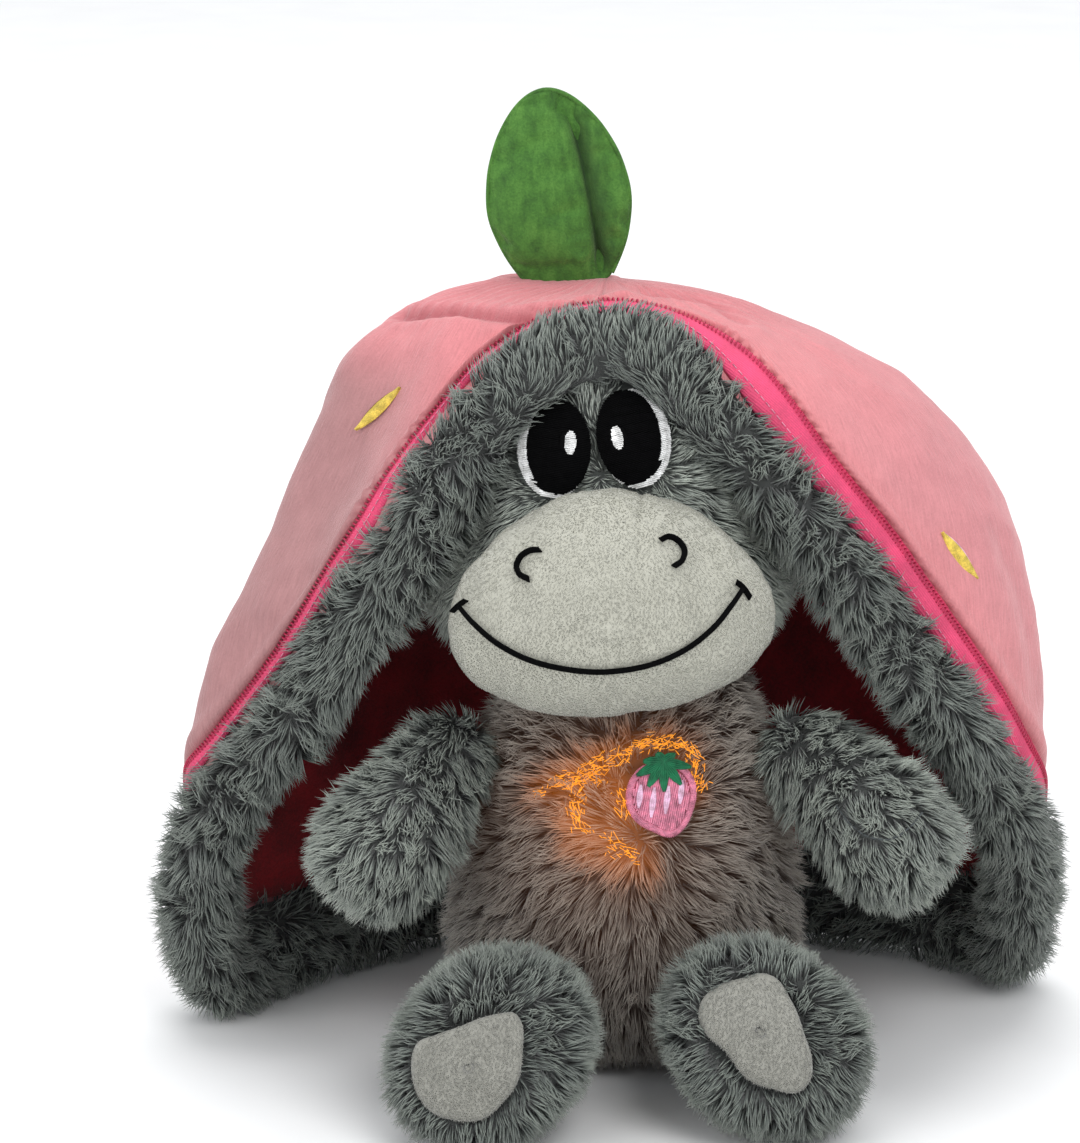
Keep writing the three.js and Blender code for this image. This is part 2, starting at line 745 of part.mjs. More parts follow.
/** A form turned about a vertical line through a point. */
function turned(made, point, angle) {
  const turn = new THREE.Matrix4()
    .makeTranslation(point)
    .multiply(new THREE.Matrix4().makeRotationZ(angle))
    .multiply(new THREE.Matrix4().makeTranslation(point.clone().negate()));
  return solid(geometryOf(made).applyMatrix4(turn));
}

/** Takes away what a limb passes through on its way from rest to the end of its range. */
function clearedFor(made, form, point, range) {
  let rest = made;
  for (let i = 0; i <= SWEEP_STEPS; i++) {
    rest = rest.subtract(turned(form, point, (i / SWEEP_STEPS) * range));
  }
  return rest;
}

const armWithShoulder = (side, grow = 0) =>
  armForm(side, grow).add(ball(shoulder(side), SHOULDER_RADIUS + grow));
const legWithHip = (side, grow = 0) => legForm(side, grow).add(ball(hip(side), HIP_RADIUS + grow));
const hugTurn = (side) => -side * HUG_RANGE;
const splayTurn = (side) => side * LEG_SPLAY_RANGE;

// Breathing module

const CASE_REAR_Y = CASE_FRONT_Y + CASE_DEPTH;
const CASE_Z = CASE_BOTTOM_Z + CASE_HEIGHT / 2;
const DECK_BACK_Y = DECK_FRONT_Y + DECK_THICKNESS;
const PLATE_BACK_Y = CASE_FRONT_Y - PLATE_CLEARANCE;
const PLATE_FRONT_Y = PLATE_BACK_Y - PLATE_THICKNESS;

const pitchRadius = (teeth) => (teeth * GEAR_MODULE) / 2;
const camAxis = { x: BODY_X, z: CAM_Z };
const awayFrom = (axis, bearing, distance) => ({
  x: axis.x + Math.cos(bearing) * distance,
  z: axis.z + Math.sin(bearing) * distance,
});
const idlerAxis = awayFrom(camAxis, IDLER_BEARING, pitchRadius(CAM_TEETH) + pitchRadius(PINION_TEETH));
const motorAxis = awayFrom(idlerAxis, MOTOR_BEARING, pitchRadius(WHEEL_TEETH) + pitchRadius(MOTOR_TEETH));

// The gears' layers, from the deck forwards
const WHEEL_BACK_Y = DECK_FRONT_Y - GEAR_LAYER_GAP;
const WHEEL_FRONT_Y = WHEEL_BACK_Y - WHEEL_THICKNESS;
const CAM_GEAR_BACK_Y = WHEEL_FRONT_Y - GEAR_LAYER_GAP;
const CAM_GEAR_FRONT_Y = CAM_GEAR_BACK_Y - CAM_GEAR_THICKNESS;

function caseOutline(inset = 0) {
  return roundedRectangle(
    BODY_X,
    CASE_Z,
    CASE_WIDTH - inset * 2,
    CASE_HEIGHT - inset * 2,
    CASE_CORNER_RADIUS - inset,
  );
}

const corners = [
  [-1, -1],
  [1, -1],
  [1, 1],
  [-1, 1],
].map(([side, high]) => ({
  x: BODY_X + side * (CASE_WIDTH / 2 - SCREW_INSET),
  z: CASE_Z + high * (CASE_HEIGHT / 2 - SCREW_INSET),
}));
const SCREW_TIP_Y = CASE_REAR_Y - SCREW_LENGTH;

const postPlaces = [-1, 1].map((side) => ({
  x: camAxis.x + (side * (CAM_INNER_RADIUS + CAM_OUTER_RADIUS)) / 2,
  z: camAxis.z,
}));
const lampPlaces = [-1, 1].map((side) => ({
  x: BODY_X + side * (CASE_WIDTH / 2 - LAMP_INSET),
  z: LAMP_Z,
}));
const buttonPlaces = [POWER_BUTTON_X, VOLUME_BUTTON_X].map((x) => ({ x, z: BOARD_Z }));

/** The front half: an open box with guides for the posts and a bearing for the cam's pin. */
function caseFront() {
  const innerY = CASE_FRONT_Y + CASE_WALL;
  let made = prism(caseOutline(), CASE_FRONT_Y, CASE_SPLIT_Y).subtract(
    prism(caseOutline(CASE_WALL), innerY, CASE_SPLIT_Y + OVERRUN),
  );
  for (const { x, z } of corners) {
    made = made.add(drum(x, z, SCREW_BOSS_RADIUS, CASE_FRONT_Y, DECK_FRONT_Y - SEAT_GAP));
  }
  for (const { x, z } of postPlaces) {
    made = made.add(drum(x, z, GUIDE_RADIUS, CASE_FRONT_Y, innerY + GUIDE_LENGTH - CASE_WALL));
  }
  for (const { x, z } of corners) {
    made = made.subtract(drum(x, z, SCREW_RADIUS + SEAT_GAP, SCREW_TIP_Y - SEAT_GAP, DECK_FRONT_Y + OVERRUN));
  }
  for (const { x, z } of postPlaces) {
    made = made.subtract(drum(x, z, POST_RADIUS + RUN_GAP, CASE_FRONT_Y - OVERRUN, innerY + GUIDE_LENGTH));
  }
  for (const { x, z } of lampPlaces) {
    made = made.subtract(drum(x, z, LAMP_RADIUS + SEAT_GAP, CASE_FRONT_Y - OVERRUN, innerY + OVERRUN));
  }
  const bearingEnd = DECK_FRONT_Y - CAM_PIN_LENGTH - SEAT_GAP;
  const bearing = drum(camAxis.x, camAxis.z, CAM_HUB_RADIUS, CASE_FRONT_Y, innerY + CASE_WALL).subtract(
    drum(camAxis.x, camAxis.z, CAM_PIN_RADIUS + SEAT_GAP, bearingEnd, innerY + OVERRUN),
  );
  return made.add(bearing);
}

/** The deck that carries the gears: a plate with the cam's pin and the idler's pin. */
function gearDeck() {
  const [frontEnd, backEnd] = [DECK_FRONT_Y - OVERRUN, DECK_BACK_Y + OVERRUN];
  let made = prism(caseOutline(CASE_WALL + SEAT_GAP), DECK_FRONT_Y, DECK_BACK_Y)
    .add(drum(camAxis.x, camAxis.z, CAM_PIN_RADIUS, DECK_FRONT_Y - CAM_PIN_LENGTH, DECK_BACK_Y))
    .add(drum(idlerAxis.x, idlerAxis.z, IDLER_PIN_RADIUS, DECK_FRONT_Y - IDLER_PIN_LENGTH, DECK_BACK_Y))
    .subtract(drum(motorAxis.x, motorAxis.z, MOTOR_BOSS_RADIUS + SEAT_GAP, frontEnd, backEnd));
  for (const { x, z } of corners) {
    made = made.subtract(drum(x, z, SCREW_RADIUS + SEAT_GAP, frontEnd, backEnd));
  }
  return made;
}

const cellRun = CELL_LENGTH + CELL_NUB_LENGTH + CELL_GAP * 2;
const trayLeft = BODY_X - CASE_WIDTH / 2 + CASE_WALL + SEAT_GAP;
const cellLeft = trayLeft + TRAY_WALL + CELL_GAP;
const cellsY = CASE_REAR_Y - CASE_WALL - CELL_GAP - CELL_RADIUS;
const cellZ = (i) => CELL_Z + (i - (CELL_COUNT - 1) / 2) * CELL_PITCH;
const doorX = trayLeft + TRAY_WALL + cellRun / 2;

/** The rear half, with the door's opening, the speaker's holes and the buttons' holes. */
function caseRear() {
  const innerY = CASE_REAR_Y - CASE_WALL;
  let made = prism(caseOutline(), CASE_SPLIT_Y + SEAT_GAP, CASE_REAR_Y).subtract(
    prism(caseOutline(CASE_WALL), CASE_SPLIT_Y - OVERRUN, innerY),
  );
  const inside = prism(caseOutline(CASE_WALL + SEAT_GAP), DECK_BACK_Y, CASE_REAR_Y);
  for (const { x, z } of corners) {
    const boss = drum(x, z, SCREW_BOSS_RADIUS, DECK_BACK_Y + SEAT_GAP, CASE_REAR_Y);
    made = made.add(boss.intersect(inside));
  }
  for (const side of [-1, 1]) {
    const x = BOARD_X + side * (BOARD_WIDTH / 2 - STANDOFF_INSET);
    made = made.add(drum(x, BOARD_Z, STANDOFF_RADIUS, BOARD_Y + BOARD_THICKNESS + SEAT_GAP, CASE_REAR_Y));
  }
  for (const { x, z } of corners) {
    const seatY = CASE_REAR_Y - SCREW_HEAD_THICKNESS - SEAT_GAP;
    made = made
      .subtract(drum(x, z, SCREW_RADIUS + SEAT_GAP, DECK_BACK_Y - OVERRUN, CASE_REAR_Y + OVERRUN))
      .subtract(drum(x, z, SCREW_HEAD_RADIUS + SEAT_GAP, seatY, CASE_REAR_Y + OVERRUN));
  }
  for (const { x, z } of buttonPlaces) {
    made = made.subtract(drum(x, z, BUTTON_RADIUS + RUN_GAP, innerY - OVERRUN, CASE_REAR_Y + OVERRUN));
  }
  for (let i = 0; i <= GRILLE_HOLES; i++) {
    const ring = i === GRILLE_HOLES ? 0 : GRILLE_RING_RADIUS;
    const hole = awayFrom({ x: SPEAKER_X, z: SPEAKER_Z }, (i / GRILLE_HOLES) * Math.PI * 2, ring);
    made = made.subtract(
      drum(hole.x, hole.z, GRILLE_HOLE_RADIUS, innerY - OVERRUN, CASE_REAR_Y + OVERRUN, SMALL_SIDES),
    );
  }
  return made.subtract(prism(doorOutline(SEAT_GAP), innerY - OVERRUN, CASE_REAR_Y + OVERRUN));
}

/** The door's outline, with the tongue of its latch on top. */
function doorOutline(grow = 0) {
  const [wide, high] = [DOOR_WIDTH / 2 + grow, DOOR_HEIGHT / 2 + grow];
  const tongue = DOOR_LATCH_WIDTH / 2 + grow;
  const shape = new THREE.Shape();
  shape.moveTo(doorX - wide, CELL_Z - high + DOOR_RADIUS);
  shape.lineTo(doorX - wide + DOOR_RADIUS, CELL_Z - high);
  shape.lineTo(doorX + wide - DOOR_RADIUS, CELL_Z - high);
  shape.lineTo(doorX + wide, CELL_Z - high + DOOR_RADIUS);
  shape.lineTo(doorX + wide, CELL_Z + high);
  shape.lineTo(doorX + tongue, CELL_Z + high);
  shape.lineTo(doorX + tongue, CELL_Z + high + DOOR_LATCH_HEIGHT);
  shape.lineTo(doorX - tongue, CELL_Z + high + DOOR_LATCH_HEIGHT);
  shape.lineTo(doorX - tongue, CELL_Z + high);
  shape.lineTo(doorX - wide, CELL_Z + high);
  return shape;
}

const batteryDoor = () => prism(doorOutline(), CASE_REAR_Y - CASE_WALL, CASE_REAR_Y);

/** A tray that holds the cells by their ends, seated against the rear wall. */
function cellTray() {
  const low = cellZ(0) - CELL_RADIUS;
  const high = cellZ(CELL_COUNT - 1) + CELL_RADIUS;
  const floorY = cellsY - CELL_RADIUS - CELL_GAP;
  const right = trayLeft + TRAY_WALL * 2 + cellRun;
  return block(
    vector(trayLeft, floorY - TRAY_WALL, low),
    vector(right, CASE_REAR_Y - CASE_WALL - SEAT_GAP, high),
  ).subtract(
    block(
      vector(trayLeft + TRAY_WALL, floorY, low - OVERRUN),
      vector(right - TRAY_WALL, CASE_REAR_Y, high + OVERRUN),
    ),
  );
}

/** A cell with its contact nub. Neighbours lie opposite ways round. */
function cell(i) {
  const flip = i % 2 === 0 ? 1 : -1;
  const profile = [
    [0, 0],
    [CELL_RADIUS, 0],
    [CELL_RADIUS, CELL_LENGTH],
    [CELL_NUB_RADIUS, CELL_LENGTH],
    [CELL_NUB_RADIUS, CELL_LENGTH + CELL_NUB_LENGTH],
    [0, CELL_LENGTH + CELL_NUB_LENGTH],
  ].map(([r, along]) => new THREE.Vector2(r, along - (CELL_LENGTH + CELL_NUB_LENGTH) / 2));
  return solid(
    new THREE.LatheGeometry(profile, ROUND_SIDES)
      .rotateZ((-flip * Math.PI) / 2)
      .translate(cellLeft + (CELL_LENGTH + CELL_NUB_LENGTH) / 2, cellsY, cellZ(i)),
  );
}

/** The outline of an involute gear about an axis, with one tooth turned to a bearing. */
function gearOutline(axis, teeth, bearing) {
  const pitch = pitchRadius(teeth);
  const base = pitch * Math.cos(PRESSURE_ANGLE);
  const tip = pitch + ADDENDUM_SHARE * GEAR_MODULE;
  const root = pitch - DEDENDUM_SHARE * GEAR_MODULE;
  const involute = (radius) => {
    const angle = Math.acos(Math.min(1, base / radius));
    return Math.tan(angle) - angle;
  };
  const halfTooth = (Math.PI * GEAR_MODULE - BACKLASH) / 4 / pitch + involute(pitch);
  const foot = Math.max(base, root);
  const points = [];
  for (let i = 0; i < teeth; i++) {
    const middle = bearing + (i / teeth) * Math.PI * 2;
    const place = (angle, radius) => {
      const { x, z } = awayFrom(axis, middle + angle, radius);
      points.push(new THREE.Vector2(x, z));
    };
    if (root < base) place(-halfTooth, root);
    for (let k = 0; k <= FLANK_STEPS; k++) {
      const radius = foot + ((tip - foot) * k) / FLANK_STEPS;
      place(involute(radius) - halfTooth, radius);
    }
    for (let k = FLANK_STEPS; k >= 0; k--) {
      const radius = foot + ((tip - foot) * k) / FLANK_STEPS;
      place(halfTooth - involute(radius), radius);
    }
    if (root < base) place(halfTooth, root);
  }
  return new THREE.Shape(points);
}

const toothTurn = (teeth) => Math.PI / teeth;

/** The height of the face cam's ramp at an angle, from its valley to its peak and back. */
function rampHeight(angle) {
  const half = Math.PI / CAM_LOBES;
  const turn = ((angle % (half * 2)) + half * 2) % (half * 2);
  return CAM_FOOT + BREATH_STROKE * (1 - Math.abs(turn - half) / half);
}

/** The ring of two ramps on the cam gear's face. Its valleys lie under the posts at rest. */
function camRing() {
  const rings = [];
  for (let i = 0; i < CAM_STEPS; i++) {
    const angle = (i / CAM_STEPS) * Math.PI * 2;
    const topY = CAM_GEAR_FRONT_Y - rampHeight(angle);
    const footY = CAM_GEAR_FRONT_Y + CAM_GEAR_THICKNESS / 2;
    const at = (radius, y) => {
      const { x, z } = awayFrom(camAxis, angle, radius);
      return vector(x, y, z);
    };
    rings.push([
      at(CAM_INNER_RADIUS, footY),
      at(CAM_INNER_RADIUS, topY),
      at(CAM_OUTER_RADIUS, topY),
      at(CAM_OUTER_RADIUS, footY),
    ]);
  }
  return closedSweep(rings);
}

/** The closed solid of rings that go all the way round, each an array of points. */
function closedSweep(rings) {
  const sides = rings[0].length;
  const places = rings.flat().flatMap((p) => p.toArray());
  const faces = [];
  rings.forEach((_, i) => {
    const next = ((i + 1) % rings.length) * sides;
    for (let j = 0; j < sides; j++) {
      const [a, b] = [i * sides + j, i * sides + ((j + 1) % sides)];
      const [c, d] = [next + ((j + 1) % sides), next + j];
      faces.push(a, b, c, a, c, d);
    }
  });
  return solid(
    new THREE.BufferGeometry()
      .setAttribute("position", new THREE.BufferAttribute(new Float32Array(places), 3))
      .setIndex(faces),
  );
}

function camGear() {
  const hubFrontY = CAM_GEAR_FRONT_Y - CAM_HUB_LENGTH;
  const [boreEnd, boreStart] = [CAM_GEAR_BACK_Y + OVERRUN, hubFrontY - OVERRUN];
  return prism(gearOutline(camAxis, CAM_TEETH, IDLER_BEARING), CAM_GEAR_BACK_Y, CAM_GEAR_FRONT_Y)
    .add(drum(camAxis.x, camAxis.z, CAM_HUB_RADIUS, CAM_GEAR_BACK_Y, hubFrontY))
    .add(camRing())
    .subtract(drum(camAxis.x, camAxis.z, CAM_PIN_RADIUS + RUN_GAP, boreStart, boreEnd));
}

/** The idler: a wide wheel behind and a pinion in front, on one bore. */
function idlerGear() {
  const facing = IDLER_BEARING + Math.PI;
  const [boreStart, boreEnd] = [CAM_GEAR_FRONT_Y - OVERRUN, WHEEL_BACK_Y + OVERRUN];
  const pinion = gearOutline(idlerAxis, PINION_TEETH, facing + toothTurn(PINION_TEETH));
  return prism(gearOutline(idlerAxis, WHEEL_TEETH, MOTOR_BEARING), WHEEL_BACK_Y, WHEEL_FRONT_Y)
    .add(prism(pinion, WHEEL_BACK_Y - WHEEL_THICKNESS / 2, CAM_GEAR_FRONT_Y))
    .subtract(drum(idlerAxis.x, idlerAxis.z, IDLER_PIN_RADIUS + RUN_GAP, boreStart, boreEnd));
}

/** The motor's pinion, with the shaft that carries it. */
function motorPinion() {
  const facing = MOTOR_BEARING + Math.PI;
  const outline = gearOutline(motorAxis, MOTOR_TEETH, facing + toothTurn(MOTOR_TEETH));
  const shaftEnd = DECK_BACK_Y + MOTOR_SHAFT_DEPTH;
  return prism(outline, WHEEL_BACK_Y, WHEEL_FRONT_Y).add(
    drum(motorAxis.x, motorAxis.z, MOTOR_SHAFT_RADIUS, WHEEL_FRONT_Y, shaftEnd),
  );
}

/** The motor: a can with two flat sides and a bearing boss that sits in the deck. */
function motor() {
  const frontY = DECK_BACK_Y + SEAT_GAP;
  const can = oval(motorAxis.x, motorAxis.z, MOTOR_HEIGHT, MOTOR_HEIGHT);
  const flats = block(
    vector(motorAxis.x - MOTOR_WIDTH / 2, frontY - OVERRUN, motorAxis.z - MOTOR_HEIGHT),
    vector(motorAxis.x + MOTOR_WIDTH / 2, frontY + MOTOR_LENGTH + OVERRUN, motorAxis.z + MOTOR_HEIGHT),
  );
  const bossY = frontY - MOTOR_BOSS_LENGTH;
  const boreEnd = DECK_BACK_Y + MOTOR_SHAFT_DEPTH + RUN_GAP;
  return prism(can, frontY, frontY + MOTOR_LENGTH, OVAL_STEPS)
    .intersect(flats)
    .add(drum(motorAxis.x, motorAxis.z, MOTOR_BOSS_RADIUS, bossY, frontY + OVERRUN))
    .subtract(drum(motorAxis.x, motorAxis.z, MOTOR_SHAFT_RADIUS + RUN_GAP, bossY - OVERRUN, boreEnd));
}

/** The breathing plate: an oval plate with two round-ended posts that ride on the face cam. */
function breathingPlate() {
  const slope = (BREATH_STROKE * CAM_LOBES) / Math.PI / CAM_INNER_RADIUS;
  const tipY = CAM_GEAR_FRONT_Y - CAM_FOOT - POST_TIP_GAP - POST_RADIUS * Math.hypot(1, slope);
  const outline = oval(BODY_X, PLATE_Z, PLATE_WIDTH, PLATE_HEIGHT);
  let made = prism(outline, PLATE_FRONT_Y, PLATE_BACK_Y, OVAL_STEPS);
  for (const { x, z } of postPlaces) {
    made = made
      .add(drum(x, z, POST_RADIUS, PLATE_FRONT_Y, tipY, SMALL_SIDES))
      .add(ball(vector(x, tipY, z), POST_RADIUS, SMALL_SIDES));
  }
  return made;
}

function circuitBoard() {
  return block(
    vector(BOARD_X - BOARD_WIDTH / 2, BOARD_Y, BOARD_Z - BOARD_HEIGHT / 2),
    vector(BOARD_X + BOARD_WIDTH / 2, BOARD_Y + BOARD_THICKNESS, BOARD_Z + BOARD_HEIGHT / 2),
  );
}

function speaker() {
  const backY = CASE_REAR_Y - CASE_WALL - SEAT_GAP;
  const rimY = backY - SPEAKER_THICKNESS;
  return drum(SPEAKER_X, SPEAKER_Z, SPEAKER_RADIUS, rimY, backY).add(
    drum(SPEAKER_X, SPEAKER_Z, SPEAKER_MAGNET_RADIUS, rimY - SPEAKER_MAGNET_LENGTH, backY),
  );
}

function lamp({ x, z }) {
  const seatY = CASE_FRONT_Y + CASE_WALL + SEAT_GAP;
  return drum(x, z, LAMP_RADIUS, seatY - LAMP_LENGTH, seatY, SMALL_SIDES)
    .add(drum(x, z, LAMP_FLANGE_RADIUS, seatY, seatY + LAMP_FLANGE_THICKNESS, SMALL_SIDES))
    .add(ball(vector(x, seatY - LAMP_LENGTH, z), LAMP_RADIUS, SMALL_SIDES));
}

function screw({ x, z }) {
  const headY = CASE_REAR_Y - SCREW_HEAD_THICKNESS;
  return drum(x, z, SCREW_RADIUS, SCREW_TIP_Y, CASE_REAR_Y, SMALL_SIDES).add(
    drum(x, z, SCREW_HEAD_RADIUS, headY, CASE_REAR_Y, SMALL_SIDES),
  );
}

/** A button: a stem with a collar inside the case, just behind the board's switch. */
function button({ x, z }) {
  const collarY = CASE_REAR_Y - CASE_WALL - SEAT_GAP;
  const tipY = BOARD_Y + BOARD_THICKNESS + BUTTON_TRAVEL + RUN_GAP;
  return drum(x, z, BUTTON_RADIUS, tipY, CASE_REAR_Y + BUTTON_PROUD).add(
    drum(x, z, BUTTON_RADIUS + BUTTON_FLANGE, collarY - BUTTON_COLLAR, collarY),
  );
}

// Torso, belly, head and limbs

const bellyOutline = (grow = 0) => oval(BODY_X, PLATE_Z, BELLY_WIDTH + grow * 2, BELLY_HEIGHT + grow * 2);
const TORSO_FRONT_Y = BODY_Y - TORSO_DEPTH / 2 - OVERRUN;

function closureTool() {
  return prism(
    roundedRectangle(BODY_X, CLOSURE_Z, CLOSURE_WIDTH, CLOSURE_LENGTH, CLOSURE_CORNER_RADIUS),
    CASE_REAR_Y + BUTTON_PROUD,
    BODY_Y + TORSO_DEPTH,
  );
}

/** The torso, hollow for the module, open at the belly and along its back seam. */
function torsoBody() {
  const plateRoom = PLATE_BACK_Y + PLATE_CLEARANCE;
  const slotLength = CLOSURE_LENGTH - CLOSURE_WIDTH;
  const slot = roundedRectangle(BODY_X, CLOSURE_Z, SEAM_WIDTH, slotLength, SEAM_CORNER_RADIUS);
  let made = torsoForm()
    .intersect(aboveFloor())
    .subtract(prism(caseOutline(-TORSO_ROOM), CASE_FRONT_Y - TORSO_ROOM, CASE_REAR_Y + TORSO_ROOM))
    .subtract(prism(bellyOutline(TORSO_ROOM), TORSO_FRONT_Y, plateRoom, OVAL_STEPS))
    .subtract(prism(slot, CASE_REAR_Y, BODY_Y + TORSO_DEPTH));
  for (const { x, z } of buttonPlaces) {
    made = made.subtract(drum(x, z, BUTTON_RADIUS + TORSO_ROOM, CASE_REAR_Y, CASE_REAR_Y + BUTTON_ROOM));
  }
  for (const { x, z } of lampPlaces) {
    made = made.subtract(
      drum(x, z, LAMP_RADIUS + TORSO_ROOM, CASE_FRONT_Y - LAMP_LENGTH - LAMP_RADIUS, CASE_FRONT_Y),
    );
  }
  for (const side of [-1, 1]) {
    made = made
      .subtract(ball(shoulder(side), SHOULDER_RADIUS + LIMB_ROOM))
      .subtract(ball(hip(side), HIP_RADIUS + LIMB_ROOM));
    made = clearedFor(made, armForm(side, LIMB_ROOM), shoulder(side), hugTurn(side));
    made = clearedFor(made, legForm(side, LIMB_ROOM), hip(side), splayTurn(side));
  }
  return largest(made);
}

const backClosure = () => largest(layerOn(torsoForm, closureTool(), CLOSURE_THICKNESS));

function bellyPanel() {
  const tool = prism(bellyOutline(), TORSO_FRONT_Y, PLATE_FRONT_Y - SEAT_GAP, OVAL_STEPS);
  let made = torsoForm().intersect(tool);
  for (const side of [-1, 1]) {
    made = made.subtract(legWithHip(side, SEAT_GAP));
  }
  return largest(made);
}

const berryTool = (width, height) =>
  prism(oval(BERRY_X, BERRY_Z, width, height, BERRY_TIP_ANGLE), TORSO_FRONT_Y, PLATE_FRONT_Y, OVAL_STEPS);

const chestPatch = () =>
  largest(layerOn(torsoForm, berryTool(BERRY_WIDTH, BERRY_HEIGHT), EMBROIDERY_THICKNESS));

/** The berry's calyx: a star on top of the patch. */
function patchCalyx() {
  const top = BERRY_Z + BERRY_HEIGHT / 2 - CALYX_RADIUS / 2;
  const points = Array.from({ length: CALYX_POINTS * 2 }, (_, i) => {
    const reach = i % 2 === 0 ? CALYX_RADIUS : CALYX_RADIUS * CALYX_NOTCH_SHARE;
    const { x, z } = awayFrom({ x: BERRY_X, z: top }, Math.PI / 2 + (i / CALYX_POINTS) * Math.PI, reach);
    return new THREE.Vector2(x, z);
  });
  const lift = SEAT_GAP * 2 + EMBROIDERY_THICKNESS;
  const tool = prism(new THREE.Shape(points), TORSO_FRONT_Y - lift, PLATE_FRONT_Y);
  return largest(layerOn(torsoForm, tool, EMBROIDERY_THICKNESS, lift));
}

const head = () => largest(headForm().subtract(torsoForm(SEAT_GAP)));
const muzzle = () => largest(muzzleForm().subtract(headForm(SEAT_GAP)).subtract(torsoForm(SEAT_GAP)));

/** A place on the face, measured along and across the tipped head. */
function onFace(across, z) {
  return {
    x: EYE_X + Math.cos(HEAD_TIP_ANGLE) * across,
    z: z - Math.sin(HEAD_TIP_ANGLE) * across,
  };
}

const FACE_TOOL_Y = MUZZLE_FRONT_Y - OVERRUN;
const MUZZLE_TOOL_Y = MUZZLE_BACK_Y - OVERRUN; // in front of the muzzle's flat back

function eyeTool(side, width, height, inward) {
  const { x, z } = onFace(side * (EYE_SPREAD / 2 - inward), EYE_Z);
  return prism(
    oval(x, z, width, height, side * EYE_LEAN_ANGLE - HEAD_TIP_ANGLE),
    FACE_TOOL_Y,
    HEAD_Y,
    OVAL_STEPS,
  );
}

/** An eye's patch. Layer 0 is the white, and layer 1 is the pupil on it. */
function eye(side, width, height, inward, layer) {
  const tool = eyeTool(side, width, height, inward);
  const lift = SEAT_GAP + layer * (PATCH_THICKNESS + SEAT_GAP);
  return largest(layerOn(headForm, tool, PATCH_THICKNESS, lift).subtract(muzzleForm(SEAT_GAP)));
}

/** The space that an eye's two layers take up, with a gap all round. */
function eyeRoom(side) {
  const tool = eyeTool(side, EYE_WIDTH + SEAT_GAP * 2, EYE_HEIGHT + SEAT_GAP * 2, 0);
  return headForm((PATCH_THICKNESS + SEAT_GAP) * 2 + SEAT_GAP).intersect(tool);
}

/** A stitched nostril: an arc that is open towards the middle of the face. */
function nostril(side) {
  const { x, z } = onFace(NOSTRIL_X + (side * NOSTRIL_SPREAD) / 2, NOSTRIL_Z);
  const middle = side < 0 ? LEFT_NOSTRIL_BEARING : RIGHT_NOSTRIL_BEARING;
  const [from, to] = [middle - NOSTRIL_ARC_ANGLE / 2, middle + NOSTRIL_ARC_ANGLE / 2];
  const shape = new THREE.Shape()
    .absarc(x, z, NOSTRIL_RADIUS + STITCH_WIDTH / 2, from, to)
    .absarc(x, z, NOSTRIL_RADIUS - STITCH_WIDTH / 2, to, from, true);
  const tool = prism(shape, FACE_TOOL_Y, MUZZLE_TOOL_Y, ARC_STEPS);
  return largest(layerOn(muzzleForm, tool, STITCH_THICKNESS));
}

/** The stitched smile: a wide curve with a short cross stroke at each end. */
function smileStitch() {
  const curve = (across) => {
    const dip = SMILE_DROP * (1 - Math.abs(across / (SMILE_WIDTH / 2)) ** SMILE_CURL);
    return onFace(SMILE_X + across, SMILE_Z + SMILE_DROP / 2 - dip);
  };
  const line = Array.from({ length: SMILE_STEPS + 1 }, (_, i) =>
    curve(((i / SMILE_STEPS) * 2 - 1) * (SMILE_WIDTH / 2)),
  );
  const edge = (rise) => line.map(({ x, z }) => new THREE.Vector2(x, z + rise));
  const band = new THREE.Shape([...edge(STITCH_WIDTH / -2), ...edge(STITCH_WIDTH / 2).reverse()]);
  let tool = prism(band, FACE_TOOL_Y, MUZZLE_TOOL_Y);
  for (const side of [-1, 1]) {
    const { x, z } = curve((side * SMILE_WIDTH) / 2);
    const tick = oval(x, z, SMILE_TICK, STITCH_WIDTH, -side * SMILE_TICK_ANGLE);
    tool = tool.add(prism(tick, FACE_TOOL_Y, MUZZLE_TOOL_Y));
  }
  return largest(layerOn(muzzleForm, tool, STITCH_THICKNESS));
}

/** A sole: an oval of short pile on the end of a foot. */
function footPad(side) {
  const out = side < 0 ? LEFT_SOLE_OUT : RIGHT_SOLE_OUT;
  const toe = hip(side)
    .addScaledVector(legAxis(side), legLength(side))
    .addScaledVector(legAcross(side), side * out);
  const turn = side < 0 ? SOLE_LEFT_TURN : SOLE_RIGHT_TURN;
  const outline = oval(toe.x, toe.z, SOLE_WIDTH, SOLE_HEIGHT, turn);
  const tool = prism(outline, toe.y + LEG_HEIGHT / 2, toe.y - OVERRUN, OVAL_STEPS);
  return largest(layerOn((grow) => legForm(side, grow), tool, SOLE_THICKNESS));
}

const leg = (side) => largest(legWithHip(side).intersect(aboveFloor()));

// Hood

const rollCurve = new THREE.CatmullRomCurve3(
  ROLL_SHARES.map(([x, y, z]) => vector(x * HOOD_HALF_WIDTH, y * HOOD_HALF_DEPTH, z * CROWN_Z)),
  true,
);

/** Between 0 and 1, smoothly, as a value goes from one bound to another. */
const smoothly = (value, from, to) => THREE.MathUtils.smoothstep(value, from, to);

/** The roll's width at a height. It is wider along the hem than along the mouth. */
function rollWidth(z) {
  const high = smoothly(z / CROWN_Z, ROLL_HEM_SHARES.low, ROLL_HEM_SHARES.high);
  return THREE.MathUtils.lerp(ROLL_HEM_WIDTH, ROLL_WIDTH, high);
}

